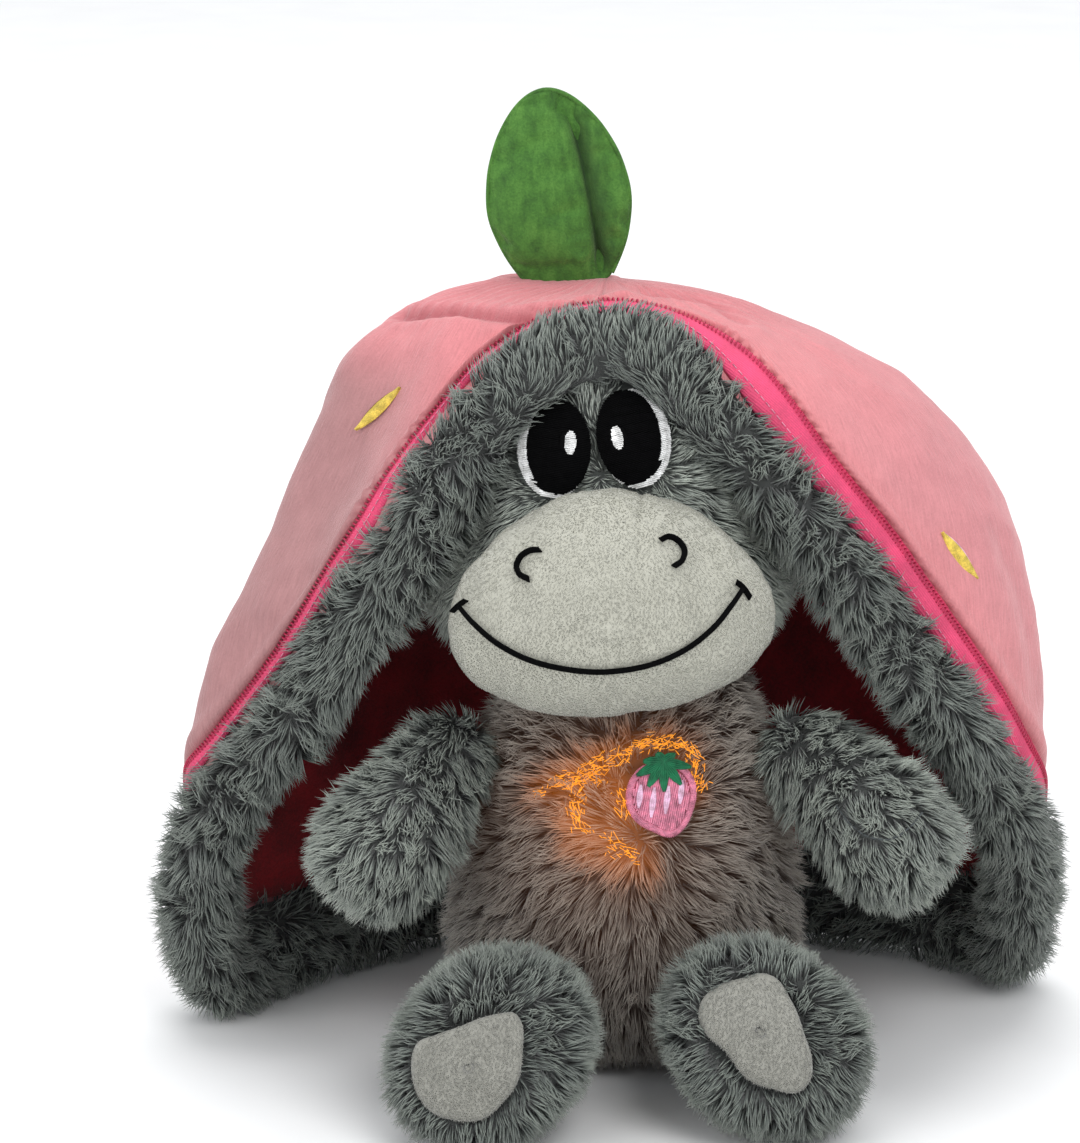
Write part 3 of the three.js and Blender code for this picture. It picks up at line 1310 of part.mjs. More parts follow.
/** The roll's solid, grown all round. */
function rollTube(grow = 0) {
  const rings = [];
  for (let i = 0; i < ROLL_AROUND; i++) {
    const share = i / ROLL_AROUND;
    const centre = rollCurve.getPointAt(share);
    const along = rollCurve.getTangentAt(share);
    const out = vector(centre.x, centre.y - HOOD_MIDDLE_Y, 0);
    out.addScaledVector(along, -out.dot(along)).normalize();
    const up = along.clone().cross(out).normalize();
    const width = rollWidth(centre.z);
    rings.push(
      Array.from({ length: ROLL_SIDES }, (_, j) => {
        const angle = ((j + 1 / 2) / ROLL_SIDES) * Math.PI * 2;
        return centre
          .clone()
          .addScaledVector(out, Math.cos(angle) * (ROLL_THICKNESS / 2 + grow))
          .addScaledVector(up, Math.sin(angle) * (width / 2 + grow));
      }),
    );
  }
  return closedSweep(rings);
}

const fallCurve = (rows) => new THREE.CatmullRomCurve3(rows.map(([reach, drop]) => vector(reach, drop, 0)));
const leftFall = fallCurve(LEFT_FALL_SHARES);
const rightFall = fallCurve(RIGHT_FALL_SHARES);

/** A point on the hood's middle surface: `around` the edge, and `down` from the crown. */
function hoodPoint(around, down) {
  const edge = rollCurve.getPointAt(((around % 1) + 1) % 1);
  const blend = FALL_BLEND_SHARE * HOOD_HALF_WIDTH;
  const right = smoothly(edge.x, -blend, blend);
  const fall = leftFall.getPoint(down).lerp(rightFall.getPoint(down), right);
  return vector(
    THREE.MathUtils.lerp(CROWN_X, edge.x, fall.x),
    THREE.MathUtils.lerp(CROWN_Y, edge.y, fall.x),
    THREE.MathUtils.lerp(CROWN_Z, edge.z, fall.y),
  );
}

/** The hood's outward direction at a place on its surface. */
function hoodNormal(around, down) {
  const step = 1 / HOOD_AROUND / 4;
  const low = Math.max(0, down - step);
  const high = Math.min(1, down + step);
  const across = hoodPoint(around + step, down).sub(hoodPoint(around - step, down));
  const along = hoodPoint(around, high).sub(hoodPoint(around, low));
  const normal = along.cross(across).normalize();
  const centre = vector(CROWN_X, CROWN_Y, CROWN_Z / 2);
  return normal.dot(hoodPoint(around, down).sub(centre)) < 0 ? normal.negate() : normal;
}

/**
 * A shell of the hood between two offsets from its middle surface. Both sheets have the same
 * grid and the same diagonals, so shells that share an offset fit each other.
 */
function hoodShell(inner, outer) {
  const places = [];
  const faces = [];
  const sheetSize = 1 + HOOD_AROUND * HOOD_DOWN;
  for (const offset of [outer, inner]) {
    places.push(CROWN_X, CROWN_Y, CROWN_Z + offset);
    for (let i = 1; i <= HOOD_DOWN; i++) {
      for (let j = 0; j < HOOD_AROUND; j++) {
        const [around, down] = [j / HOOD_AROUND, i / HOOD_DOWN];
        const point = hoodPoint(around, down).addScaledVector(hoodNormal(around, down), offset);
        places.push(...point.toArray());
      }
    }
  }
  const index = (sheet, i, j) => sheet * sheetSize + 1 + i * HOOD_AROUND + (j % HOOD_AROUND);
  const add = (sheet, a, b, c) => faces.push(a, ...(sheet === 0 ? [c, b] : [b, c]));
  for (const sheet of [0, 1]) {
    for (let j = 0; j < HOOD_AROUND; j++) {
      add(sheet, sheet * sheetSize, index(sheet, 0, j), index(sheet, 0, j + 1));
      for (let i = 0; i + 1 < HOOD_DOWN; i++) {
        const [a, b] = [index(sheet, i, j), index(sheet, i, j + 1)];
        const [c, d] = [index(sheet, i + 1, j + 1), index(sheet, i + 1, j)];
        add(sheet, a, c, b);
        add(sheet, a, d, c);
      }
    }
  }
  const rim = HOOD_DOWN - 1;
  for (let j = 0; j < HOOD_AROUND; j++) {
    const [a, b] = [index(0, rim, j), index(0, rim, j + 1)];
    const [c, d] = [index(1, rim, j + 1), index(1, rim, j)];
    faces.push(a, b, c, a, c, d);
  }
  return solid(
    new THREE.BufferGeometry()
      .setAttribute("position", new THREE.BufferAttribute(new Float32Array(places), 3))
      .setIndex(faces),
  );
}

/** Everything on one side of the hood: -1 left, 0 the middle strip, 1 right. */
function hoodSide(side) {
  const inner = STRIP_HALF_WIDTH + STRIP_GAP / 2;
  if (side === 0) {
    const edge = STRIP_HALF_WIDTH - STRIP_GAP / 2;
    return block(vector(-edge, world(-1), 0), vector(edge, world(1), world(1)));
  }
  return side < 0
    ? block(vector(world(-1), world(-1), 0), vector(-inner, world(1), world(1)))
    : block(vector(inner, world(-1), 0), vector(world(1), world(1), world(1)));
}

const frontOf = (y) => block(vector(world(-1), world(-1), world(-1)), vector(world(1), y, world(1)));
const backOf = (y) => block(vector(world(-1), y, world(-1)), vector(world(1), world(1), world(1)));

/** The hood's four layers, whole, before they are cut into their pieces. */
function hoodLayers() {
  const shellTop = PANEL_THICKNESS;
  const liningTop = -SEAT_GAP;
  const soft = (made) => made.subtract(headForm(SEAT_GAP)).subtract(torsoForm(SEAT_GAP));
  const roll = soft(rollTube().intersect(aboveFloor()))
    .subtract(eyeRoom(-1))
    .subtract(eyeRoom(1));
  const zipZone = rollTube(SEAT_GAP + ZIP_TAPE_WIDTH).intersect(frontOf(ZIP_END_Y));
  const zip = hoodShell(0, shellTop + ZIP_TAPE_PROUD).intersect(zipZone).subtract(rollTube(SEAT_GAP));
  const room = rollTube(SEAT_GAP * 2 + ZIP_TAPE_WIDTH).intersect(frontOf(ZIP_END_Y + SEAT_GAP));
  const panel = hoodShell(0, shellTop).subtract(rollTube(SEAT_GAP)).subtract(room).subtract(zip);
  const lining = soft(hoodShell(liningTop - LINING_THICKNESS, liningTop).subtract(rollTube(SEAT_GAP)));
  return { roll, zip, panel, lining };
}

/** The stuffed leaf, folded a little along its middle, upright about its root. */
function leafForm() {
  const root = leafRoot();
  const axis = Z_AXIS.clone().applyAxisAngle(Y_AXIS, LEAF_LEAN_ANGLE);
  const across = vector(1, 0, 0).applyAxisAngle(Y_AXIS, LEAF_LEAN_ANGLE);
  const body = stuffed({
    base: root,
    axis,
    across,
    length: LEAF_HEIGHT,
    width: LEAF_WIDTH,
    height: LEAF_THICKNESS,
    shares: LEAF_SHARES,
    sides: LIMB_SIDES,
    stations: LIMB_STATIONS,
  });
  const length = LEAF_WIDTH * LEAF_FOOT_SHARE;
  const foot = solid(
    new THREE.CylinderGeometry(LEAF_ROOT_RADIUS, LEAF_ROOT_RADIUS, length, ROUND_SIDES)
      .rotateZ(Math.PI / 2)
      .translate(...root.toArray()),
  );
  return body.subtract(leafCrease(root, axis, across)).add(foot);
}

const leafRoot = () => vector(LEAF_X, LEAF_Y, CROWN_Z + PANEL_THICKNESS + LEAF_ROOT_RADIUS + LEAF_SEAT);

/** The groove of the leaf's fold, along its front from the root to near the tip. */
function leafCrease(root, axis, across) {
  const { low, high, aside: side } = LEAF_CREASE_SHARES;
  const rings = [low, high].map((share) => {
    const centre = root
      .clone()
      .addScaledVector(axis, share * LEAF_HEIGHT)
      .addScaledVector(across, (LEAF_WIDTH / 2) * side * (1 - share));
    const front = -LEAF_THICKNESS / 2;
    return [
      [-LEAF_CREASE_WIDTH / 2, front - OVERRUN],
      [0, front + LEAF_CREASE_DEPTH],
      [LEAF_CREASE_WIDTH / 2, front - OVERRUN],
    ].map(([aside, y]) => centre.clone().addScaledVector(across, aside).add(vector(0, y, 0)));
  });
  return stacked(rings.reverse());
}

// Zip slider and pull. Their own x runs along the zip, y across it and z outwards.

/** How far down the hood from the crown the zip's middle lies, where the roll is at a share. */
function zipDown(share) {
  const edge = rollCurve.getPointAt(share);
  const reach = rollWidth(edge.z) / 2 + SEAT_GAP + ZIP_TAPE_WIDTH / 2 + SLIDER_RISE;
  let down = 1;
  while (down > 0 && hoodPoint(share, down).distanceTo(edge) < reach) down -= 1 / ZIP_SEARCH_STEPS;
  return down;
}

/** The place on the right-hand zip where the slider lies, as a matrix. */
function sliderPlace() {
  let best = 1 / 2;
  const miss = (share) => Math.abs(rollCurve.getPointAt(share).y - SLIDER_Y);
  for (let i = 0; i <= ZIP_SEARCH_STEPS; i++) {
    const share = (1 + i / ZIP_SEARCH_STEPS) / 2;
    if (miss(share) < miss(best)) best = share;
  }
  const ahead = best + 1 / ROLL_AROUND / 2;
  const centre = hoodPoint(best, zipDown(best));
  const out = hoodNormal(best, zipDown(best));
  const run = hoodPoint(ahead, zipDown(ahead)).sub(centre);
  run.addScaledVector(out, -run.dot(out)).normalize();
  centre.addScaledVector(out, PANEL_THICKNESS + ZIP_TAPE_PROUD + SLIDER_SEAT);
  const across = out.clone().cross(run);
  return new THREE.Matrix4().makeBasis(run, across, out).setPosition(centre);
}

const PULL_HINGE_RISE = SLIDER_THICKNESS + PULL_EYE_RADIUS + RUN_GAP;

/** The slider: a waisted body with two lugs and the pin that the pull hangs on. */
function zipSlider() {
  const [nose, tail] = [SLIDER_LENGTH / 2, -SLIDER_LENGTH / 2];
  const half = SLIDER_WIDTH / 2;
  const shape = new THREE.Shape();
  shape.moveTo(nose, half);
  shape.quadraticCurveTo(0, half - SLIDER_WAIST, tail, half - SLIDER_WAIST);
  shape.lineTo(tail, SLIDER_WAIST - half);
  shape.quadraticCurveTo(0, SLIDER_WAIST - half, nose, -half);
  const bodyPart = solid(
    new THREE.ExtrudeGeometry(shape, {
      depth: SLIDER_THICKNESS,
      bevelEnabled: false,
      curveSegments: CORNER_STEPS,
    }),
  );
  const lugInner = PULL_EYE_WIDTH / 2 + RUN_GAP;
  const pin = solid(
    new THREE.CylinderGeometry(PULL_PIN_RADIUS, PULL_PIN_RADIUS, lugInner * 2, SMALL_SIDES).translate(
      0,
      0,
      PULL_HINGE_RISE,
    ),
  );
  let made = bodyPart;
  for (const side of [-1, 1]) {
    const low = vector(-PULL_EYE_RADIUS, Math.min(side * lugInner, side * (lugInner + SLIDER_LUG)), 0);
    const high = vector(
      PULL_EYE_RADIUS,
      Math.max(side * lugInner, side * (lugInner + SLIDER_LUG)),
      PULL_HINGE_RISE + PULL_PIN_RADIUS + SLIDER_LUG / 2,
    );
    made = made.add(block(low, high));
  }
  return made.add(pin);
}

/** The pull: a rounded tab whose eye turns on the slider's pin. */
function zipPull() {
  const eyePart = solid(
    new THREE.CylinderGeometry(PULL_EYE_RADIUS, PULL_EYE_RADIUS, PULL_EYE_WIDTH, SMALL_SIDES).translate(
      0,
      0,
      PULL_HINGE_RISE,
    ),
  );
  const neck = block(
    vector(-SLIDER_LENGTH / 2 - SLIDER_LUG, -PULL_EYE_WIDTH / 2, PULL_HINGE_RISE - PULL_THICKNESS / 2),
    vector(0, PULL_EYE_WIDTH / 2, PULL_HINGE_RISE + PULL_THICKNESS / 2),
  );
  const shape = new THREE.Shape();
  const start = -SLIDER_LENGTH / 2;
  const half = PULL_WIDTH / 2;
  shape.moveTo(start, half);
  shape.lineTo(start, -half);
  shape.lineTo(-PULL_LENGTH + half, -half);
  shape.absarc(-PULL_LENGTH + half, 0, half, -Math.PI / 2, Math.PI / 2, true);
  const tab = solid(
    new THREE.ExtrudeGeometry(shape, {
      depth: PULL_THICKNESS,
      bevelEnabled: false,
      curveSegments: SMALL_SIDES / 2,
    }).translate(0, 0, PULL_HINGE_RISE - PULL_THICKNESS / 2),
  );
  const bore = solid(
    new THREE.CylinderGeometry(
      PULL_PIN_RADIUS + RUN_GAP,
      PULL_PIN_RADIUS + RUN_GAP,
      PULL_EYE_WIDTH + OVERRUN,
      SMALL_SIDES,
    ).translate(0, 0, PULL_HINGE_RISE),
  );
  return eyePart.add(neck).add(tab).subtract(bore);
}

// Assembly

/** A group whose own origin is the point that its pieces move about. */
function pivot(parent, point) {
  const group = new THREE.Group();
  group.position.copy(parent.worldToLocal(point.clone()));
  parent.add(group);
  group.updateWorldMatrix(true, false);
  return group;
}

/** Adds a solid made in the toy's frame to a group, in the group's own frame. */
function place(group, name, made, material) {
  const inverse = group.matrixWorld.clone().invert();
  const mesh = new THREE.Mesh(geometryOf(made).applyMatrix4(inverse), materials[material]);
  mesh.name = name;
  group.add(mesh);
  return mesh;
}

/** Adds a solid made in a group's own frame. */
function placeLocal(group, name, made, material) {
  const mesh = new THREE.Mesh(geometryOf(made), materials[material]);
  mesh.name = name;
  group.add(mesh);
}

const SIDES = [
  ["left", -1],
  ["right", 1],
];

function buildFace(toy) {
  place(toy, "head", head(), "fur");
  place(toy, "muzzle", muzzle(), "muzzle");
  for (const [name, side] of SIDES) {
    const pupil = eye(side, PUPIL_WIDTH, PUPIL_HEIGHT, PUPIL_INWARD, 1);
    place(toy, `${name}_eye_white`, eye(side, EYE_WIDTH, EYE_HEIGHT, 0, 0), "white");
    place(toy, `${name}_eye_pupil`, pupil, "black");
    place(toy, `${name}_nostril`, nostril(side), "black");
  }
  place(toy, "smile_stitch", smileStitch(), "black");
}

function buildModule(toy) {
  place(toy, "case_front", caseFront(), "case");
  place(toy, "case_rear", caseRear(), "case");
  place(toy, "battery_door", batteryDoor(), "case");
  place(toy, "cell_tray", cellTray(), "case");
  for (let i = 0; i < CELL_COUNT; i++) place(toy, `cell_${i + 1}`, cell(i), "cell");
  place(toy, "gear_deck", gearDeck(), "case");
  place(toy, "motor", motor(), "steel");
  place(toy, "circuit_board", circuitBoard(), "board");
  place(toy, "speaker", speaker(), "steel");
  lampPlaces.forEach((spot, i) => place(toy, `${SIDES[i][0]}_lamp`, lamp(spot), "lamp"));
  corners.forEach((spot, i) => place(toy, `screw_${i + 1}`, screw(spot), "steel"));
  const names = ["power_button", "volume_button"];
  buttonPlaces.forEach((spot, i) => {
    const group = pivot(toy, vector(spot.x, CASE_REAR_Y, spot.z));
    place(group, names[i], button(spot), "case");
  });
}

function buildGears(toy) {
  const gears = [
    ["cam_gear", camAxis, camGear],
    ["idler_gear", idlerAxis, idlerGear],
    ["motor_pinion", motorAxis, motorPinion],
  ];
  for (const [name, axis, make] of gears) {
    place(pivot(toy, vector(axis.x, WHEEL_BACK_Y, axis.z)), name, make(), "gear");
  }
}

function buildBelly(toy) {
  const breather = pivot(toy, vector(BODY_X, PLATE_BACK_Y, PLATE_Z));
  place(breather, "breathing_plate", breathingPlate(), "case");
  place(breather, "belly_panel", bellyPanel(), "fur");
  place(breather, "berry_patch", chestPatch(), "berry");
  place(breather, "berry_calyx", patchCalyx(), "calyx");
}

function buildLimbs(toy) {
  for (const [name, side] of SIDES) {
    place(pivot(toy, shoulder(side)), `${name}_arm`, largest(armWithShoulder(side)), "fur");
    const leggroup = pivot(toy, hip(side));
    place(leggroup, `${name}_leg`, leg(side), "fur");
    place(leggroup, `${name}_sole`, footPad(side), "sole");
  }
}

function buildHood(toy) {
  const { roll, zip, panel, lining } = hoodLayers();
  const cut = (layer, side) => largest(layer.intersect(hoodSide(side)));
  place(toy, "hood_rear_panel", cut(panel, 0), "pink");
  place(toy, "hood_rear_lining", cut(lining, 0), "lining");
  place(toy, "brow_roll", cut(roll.intersect(frontOf(CROWN_Y)), 0), "fur");
  place(toy, "rear_hem_roll", cut(roll.intersect(backOf(CROWN_Y)), 0), "fur");
  place(toy, "brow_zip_tape", cut(zip, 0), "zip");
  const hingeX = STRIP_HALF_WIDTH + STRIP_GAP / 2;
  for (const [name, side] of SIDES) {
    const flap = pivot(toy, vector(side * hingeX, CROWN_Y, CROWN_Z + FLAP_HINGE_RISE));
    place(flap, `${name}_hood_panel`, cut(panel, side), "pink");
    place(flap, `${name}_hood_lining`, cut(lining, side), "lining");
    place(flap, `${name}_fur_roll`, cut(roll, side), "fur");
    place(flap, `${name}_zip_tape`, cut(zip, side), "zip");
    if (side > 0) buildZipper(flap);
  }
}

function buildZipper(flap) {
  const slider = new THREE.Group();
  const local = flap.matrixWorld.clone().invert().multiply(sliderPlace());
  local.decompose(slider.position, slider.quaternion, slider.scale);
  flap.add(slider);
  placeLocal(slider, "zip_slider", zipSlider(), "zip");
  const hinge = new THREE.Group();
  hinge.position.set(0, 0, PULL_HINGE_RISE);
  slider.add(hinge);
  const pull = zipPull();
  const mesh = new THREE.Mesh(geometryOf(pull).translate(0, 0, -PULL_HINGE_RISE), materials.zip);
  mesh.name = "zip_pull";
  hinge.add(mesh);
}

const toy = new THREE.Group();
place(toy, "torso_body", torsoBody(), "fur");
place(toy, "back_closure", backClosure(), "fur");
buildFace(toy);
buildModule(toy);
buildGears(toy);
buildBelly(toy);
buildLimbs(toy);
buildHood(toy);
place(pivot(toy, leafRoot()), "leaf", leafForm(), "leaf");

export default toy;
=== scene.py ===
"""A breathing plush toy: a grey donkey that sits under an open strawberry hood.

Sizes are in millimetres, as on a cutting table, and every mesh is made in metres.
"""

import logging
import math
from dataclasses import dataclass
from enum import Enum
from typing import Callable, Sequence

import bmesh
import bpy
import numpy as np
from mathutils import Matrix, Vector
from mathutils.bvhtree import BVHTree


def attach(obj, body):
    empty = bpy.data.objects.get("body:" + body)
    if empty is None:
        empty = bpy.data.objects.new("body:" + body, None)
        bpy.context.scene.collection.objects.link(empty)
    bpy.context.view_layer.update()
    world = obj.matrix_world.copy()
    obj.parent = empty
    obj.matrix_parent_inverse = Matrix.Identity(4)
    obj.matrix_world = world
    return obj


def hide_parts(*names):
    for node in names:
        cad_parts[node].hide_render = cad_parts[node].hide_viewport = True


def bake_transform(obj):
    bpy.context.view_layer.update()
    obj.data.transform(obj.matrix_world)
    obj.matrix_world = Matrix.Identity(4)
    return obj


LOG = logging.getLogger("plush_toy")
MM = 0.001
UP = np.array([0.0, 0.0, 1.0])
FORWARD = np.array([0.0, -1.0, 0.0])
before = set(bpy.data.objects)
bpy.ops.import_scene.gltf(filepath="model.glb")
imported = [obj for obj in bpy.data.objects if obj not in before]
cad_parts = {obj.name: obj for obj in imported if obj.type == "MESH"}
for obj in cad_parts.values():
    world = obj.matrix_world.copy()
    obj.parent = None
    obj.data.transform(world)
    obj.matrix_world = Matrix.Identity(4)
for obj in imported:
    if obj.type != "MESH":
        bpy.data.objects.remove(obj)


# Working with numbers


def vec(*values: float) -> np.ndarray:
    """A vector as an array."""
    return np.array(values, float)


def unit(v: np.ndarray) -> np.ndarray:
    """A vector, or each row of an array, at length one."""
    return v / np.maximum(np.linalg.norm(v, axis=-1, keepdims=True), 1e-9)


def smoothly(value: np.ndarray, low: float, high: float) -> np.ndarray:
    """0 below low, 1 above high, and a smooth rise between them."""
    t = np.clip((np.asarray(value, float) - low) / (high - low), 0, 1)
    return t * t * (3 - 2 * t)


def turned(v: np.ndarray, axis: np.ndarray, degrees: float) -> np.ndarray:
    """A vector turned about an axis by the right-hand rule.

    Args:
        v: the vector.
        axis: the direction to turn it about.
        degrees: how far.

    Returns:
        The turned vector.
    """
    angle = math.radians(degrees)
    axis = unit(axis)
    across = np.cross(axis, v)
    return v * math.cos(angle) + across * math.sin(angle) + axis * (axis @ v) * (1 - math.cos(angle))


def ripple(points: np.ndarray, wave: float, seed: int) -> np.ndarray:
    """Soft random waves through space.

    Args:
        points: places, in millimetres.
        wave: the usual distance between crests.
        seed: which of many such patterns.

    Returns:
        One value near -1 to 1 for each place.
    """
    rng = np.random.default_rng(seed)
    total = np.zeros(len(points))
    for _ in range(7):
        direction = unit(rng.normal(size=3))
        length = wave * rng.uniform(0.75, 1.5)
        total += np.sin(points @ direction * (2 * math.pi / length) + rng.uniform(0, 2 * math.pi))
    return total / 3.2


class SplineRun:
    """A smooth run through points: the centripetal spline that the pattern is drawn with."""

    def __init__(self, knots: Sequence[Sequence[float]], closed: bool = False) -> None:
        """Keeps the points and measures the run.

        Args:
            knots: the points that it goes through.
            closed: whether it returns to its first point.
        """
        self.knots = np.asarray(knots, float)
        self.closed = closed
        self.steps = np.linspace(0, 1, 2401)
        gaps = np.linalg.norm(np.diff(self.at(self.steps), axis=0), axis=1)
        self.lengths = np.concatenate([[0], np.cumsum(gaps)])

    def at(self, shares: np.ndarray) -> np.ndarray:
        """Points at shares of the run's knots.

        Args:
            shares: from 0 to 1, one for each point.

        Returns:
            The points, one row each.
        """
        shares = np.asarray(shares, float)
        count = len(self.knots)
        if self.closed:
            place = (shares % 1.0) * count
            index = np.floor(place).astype(int)
            corner = [self.knots[(index + k) % count] for k in (-1, 0, 1, 2)]
        else:
            place = np.clip(shares, 0, 1) * (count - 1)
            index = np.minimum(np.floor(place).astype(int), count - 2)
            ends = [2 * self.knots[0] - self.knots[1], 2 * self.knots[-1] - self.knots[-2]]
            knots = np.vstack([ends[:1], self.knots, ends[1:]])
            corner = [knots[index + k] for k in range(4)]
        weight = (place - index)[:, None]
        a, b, c = (
            np.maximum(np.linalg.norm(corner[i + 1] - corner[i], axis=1, keepdims=True) ** 0.5, 1e-4)
            for i in range(3)
        )
        p0, p1, p2, p3 = corner
        leave = ((p1 - p0) / a - (p2 - p0) / (a + b) + (p2 - p1) / b) * b
        reach = ((p2 - p1) / b - (p3 - p1) / (b + c) + (p3 - p2) / c) * b
        return (
            p1
            + leave * weight
            + (3 * (p2 - p1) - 2 * leave - reach) * weight**2
            + (2 * (p1 - p2) + leave + reach) * weight**3
        )

    def even(self, shares: np.ndarray) -> np.ndarray:
        """Points at shares of the run's length.

        Args:
            shares: how far along each point is, from 0 to 1.

        Returns:
            One point for each share.
        """
        shares = np.asarray(shares, float)
        shares = shares % 1.0 if self.closed else np.clip(shares, 0, 1)
        return self.at(np.interp(shares * self.lengths[-1], self.lengths, self.steps))

    def heading(self, shares: np.ndarray) -> np.ndarray:
        """The run's direction at shares of its length."""
        return unit(self.even(np.asarray(shares) + 5e-4) - self.even(np.asarray(shares) - 5e-4))


# Working with meshes


def mesh_object(
    name: str, points: np.ndarray, faces: Sequence[Sequence[int]], smooth: bool = True
) -> bpy.types.Object:
    """A mesh object at the origin.

    Args:
        name: the object's name.
        points: its corners, in millimetres.
        faces: the corners of each face.
        smooth: whether its faces are shaded smoothly.

    Returns:
        The object, linked to the scene.
    """
    mesh = bpy.data.meshes.new(name)
    mesh.from_pydata((np.asarray(points, float) * MM).tolist(), [], [list(map(int, f)) for f in faces])
    if smooth:
        mesh.shade_smooth()
    mesh.update()
    obj = bpy.data.objects.new(name, mesh)
    bpy.context.scene.collection.objects.link(obj)
    return obj


def line_object(name: str, lines: Sequence[np.ndarray]) -> bpy.types.Object:
    """Open lines as edges, for a tree that turns them into threads.

    Args:
        name: the object's name.
        lines: each an array of points, in millimetres.

    Returns:
        The object, linked to the scene.
    """
    edges, start = [], 0
    for line in lines:
        edges += [(start + i, start + i + 1) for i in range(len(line) - 1)]
        start += len(line)
    mesh = bpy.data.meshes.new(name)
    mesh.from_pydata((np.vstack(lines) * MM).tolist(), edges, [])
    obj = bpy.data.objects.new(name, mesh)
    bpy.context.scene.collection.objects.link(obj)
    return obj


def corners_of(obj: bpy.types.Object) -> np.ndarray:
    """An object's corners, in metres.

    Args:
        obj: a mesh object.

    Returns:
        One row of X, Y and Z for each corner.
    """
    places = np.empty(len(obj.data.vertices) * 3, np.float32)
    obj.data.vertices.foreach_get("co", places)
    return places.reshape(-1, 3).astype(float)


def set_corners(obj: bpy.types.Object, places: np.ndarray) -> None:
    """Moves an object's corners, in metres."""
    obj.data.vertices.foreach_set("co", places.astype(np.float32).ravel())
    obj.data.update()


def set_values(obj: bpy.types.Object, name: str, values: np.ndarray) -> None:
    """Stores one value, or one vector, for each corner.

    Args:
        obj: the mesh object.
        name: the attribute's name.
        values: as many rows as it has corners.
    """
    vector = values.ndim == 2
    made = obj.data.attributes.new(name, "FLOAT_VECTOR" if vector else "FLOAT", "POINT")
    made.data.foreach_set("vector" if vector else "value", values.astype(np.float32).ravel())


def grid_faces(rows: int, columns: int, wrap: bool) -> list[tuple[int, int, int, int]]:
    """The faces of a grid of corners that are stored row by row.

    Args:
        rows: how many rows of corners.
        columns: how many corners in a row.
        wrap: whether each row closes on itself.

    Returns:
        The faces, four corners each.
    """
    last = columns if wrap else columns - 1
    return [
        (
            i * columns + j,
            i * columns + (j + 1) % columns,
            (i + 1) * columns + (j + 1) % columns,
            (i + 1) * columns + j,
        )
        for i in range(rows - 1)
        for j in range(last)
    ]


def normals_of(obj: bpy.types.Object) -> np.ndarray:
    """The outward direction at each corner.

    Args:
        obj: a mesh object.

    Returns:
        One unit vector for each corner.
    """
    found = np.empty(len(obj.data.vertices) * 3, np.float32)
    obj.data.vertex_normals.foreach_get("vector", found)
    return found.reshape(-1, 3).astype(float)


def face_outwards(obj: bpy.types.Object) -> None:
    """Turns a closed mesh's faces outwards where its volume comes out negative.

    Args:
        obj: a closed mesh object.
    """
    mesh = obj.data
    mesh.calc_loop_triangles()
    index = np.empty(len(mesh.loop_triangles) * 3, np.int32)
    mesh.loop_triangles.foreach_get("vertices", index)
    a, b, c = (corners_of(obj)[index.reshape(-1, 3)[:, k]] for k in range(3))
    if (a * np.cross(b, c)).sum() < 0:
        mesh.flip_normals()


def joined(first: bpy.types.Object, *others: bpy.types.Object) -> bpy.types.Object:
    """Several objects made one.

    Args:
        first: the object that stays.
        others: the objects that become part of it.

    Returns:
        The first object.
    """
    chosen = [first, *others]
    with bpy.context.temp_override(
        active_object=first, object=first, selected_objects=chosen, selected_editable_objects=chosen
    ):
        bpy.ops.object.join()
    return first


class Cover:
    """A surface that patches and stitches are laid on."""

    def __init__(self, points: np.ndarray, faces: Sequence[Sequence[int]]) -> None:
        """Keeps the surface.

        Args:
            points: its corners, in millimetres.
            faces: the corners of each face.
        """
        self.tree = BVHTree.FromPolygons([Vector(p) for p in points], [tuple(map(int, f)) for f in faces])

    def from_front(self, places: np.ndarray, lift: float) -> np.ndarray:
        """Puts points, given by X and Z, on the surface's front.

        Args:
            places: X and Z of each point.
            lift: how far they lie above the surface.

        Returns:
            The points that were found.
        """
        found = []
        for x, z in places:
            hit, normal, _, _ = self.tree.ray_cast(Vector((x, -400, z)), Vector((0, 1, 0)))
            if hit is not None:
                found.append(np.array(hit + normal * (lift if normal.y < 0 else -lift)))
        return np.array(found).reshape(-1, 3)

    def nearest(self, places: np.ndarray, lift: float, outward: np.ndarray) -> np.ndarray:
        """Puts points on the nearest part of the surface.

        Args:
            places: the points.
            lift: how far they lie above the surface.
            outward: a direction that points away from the surface here.

        Returns:
            The points on the surface.
        """
        found = []
        for place in places:
            hit, normal, _, _ = self.tree.find_nearest(Vector(place))
            normal = np.array(normal) * (1 if np.array(normal) @ outward > 0 else -1)
            found.append(np.array(hit) + normal * lift)
        return np.array(found)


# Working with nodes


def tone(red: float, green: float, blue: float) -> tuple[float, float, float, float]:
    """A colour as it looks on a screen, as the renderer's own numbers."""
    linear = [c / 12.92 if c <= 0.04045 else ((c + 0.055) / 1.055) ** 2.4 for c in (red, green, blue)]
    return (*linear, 1.0)


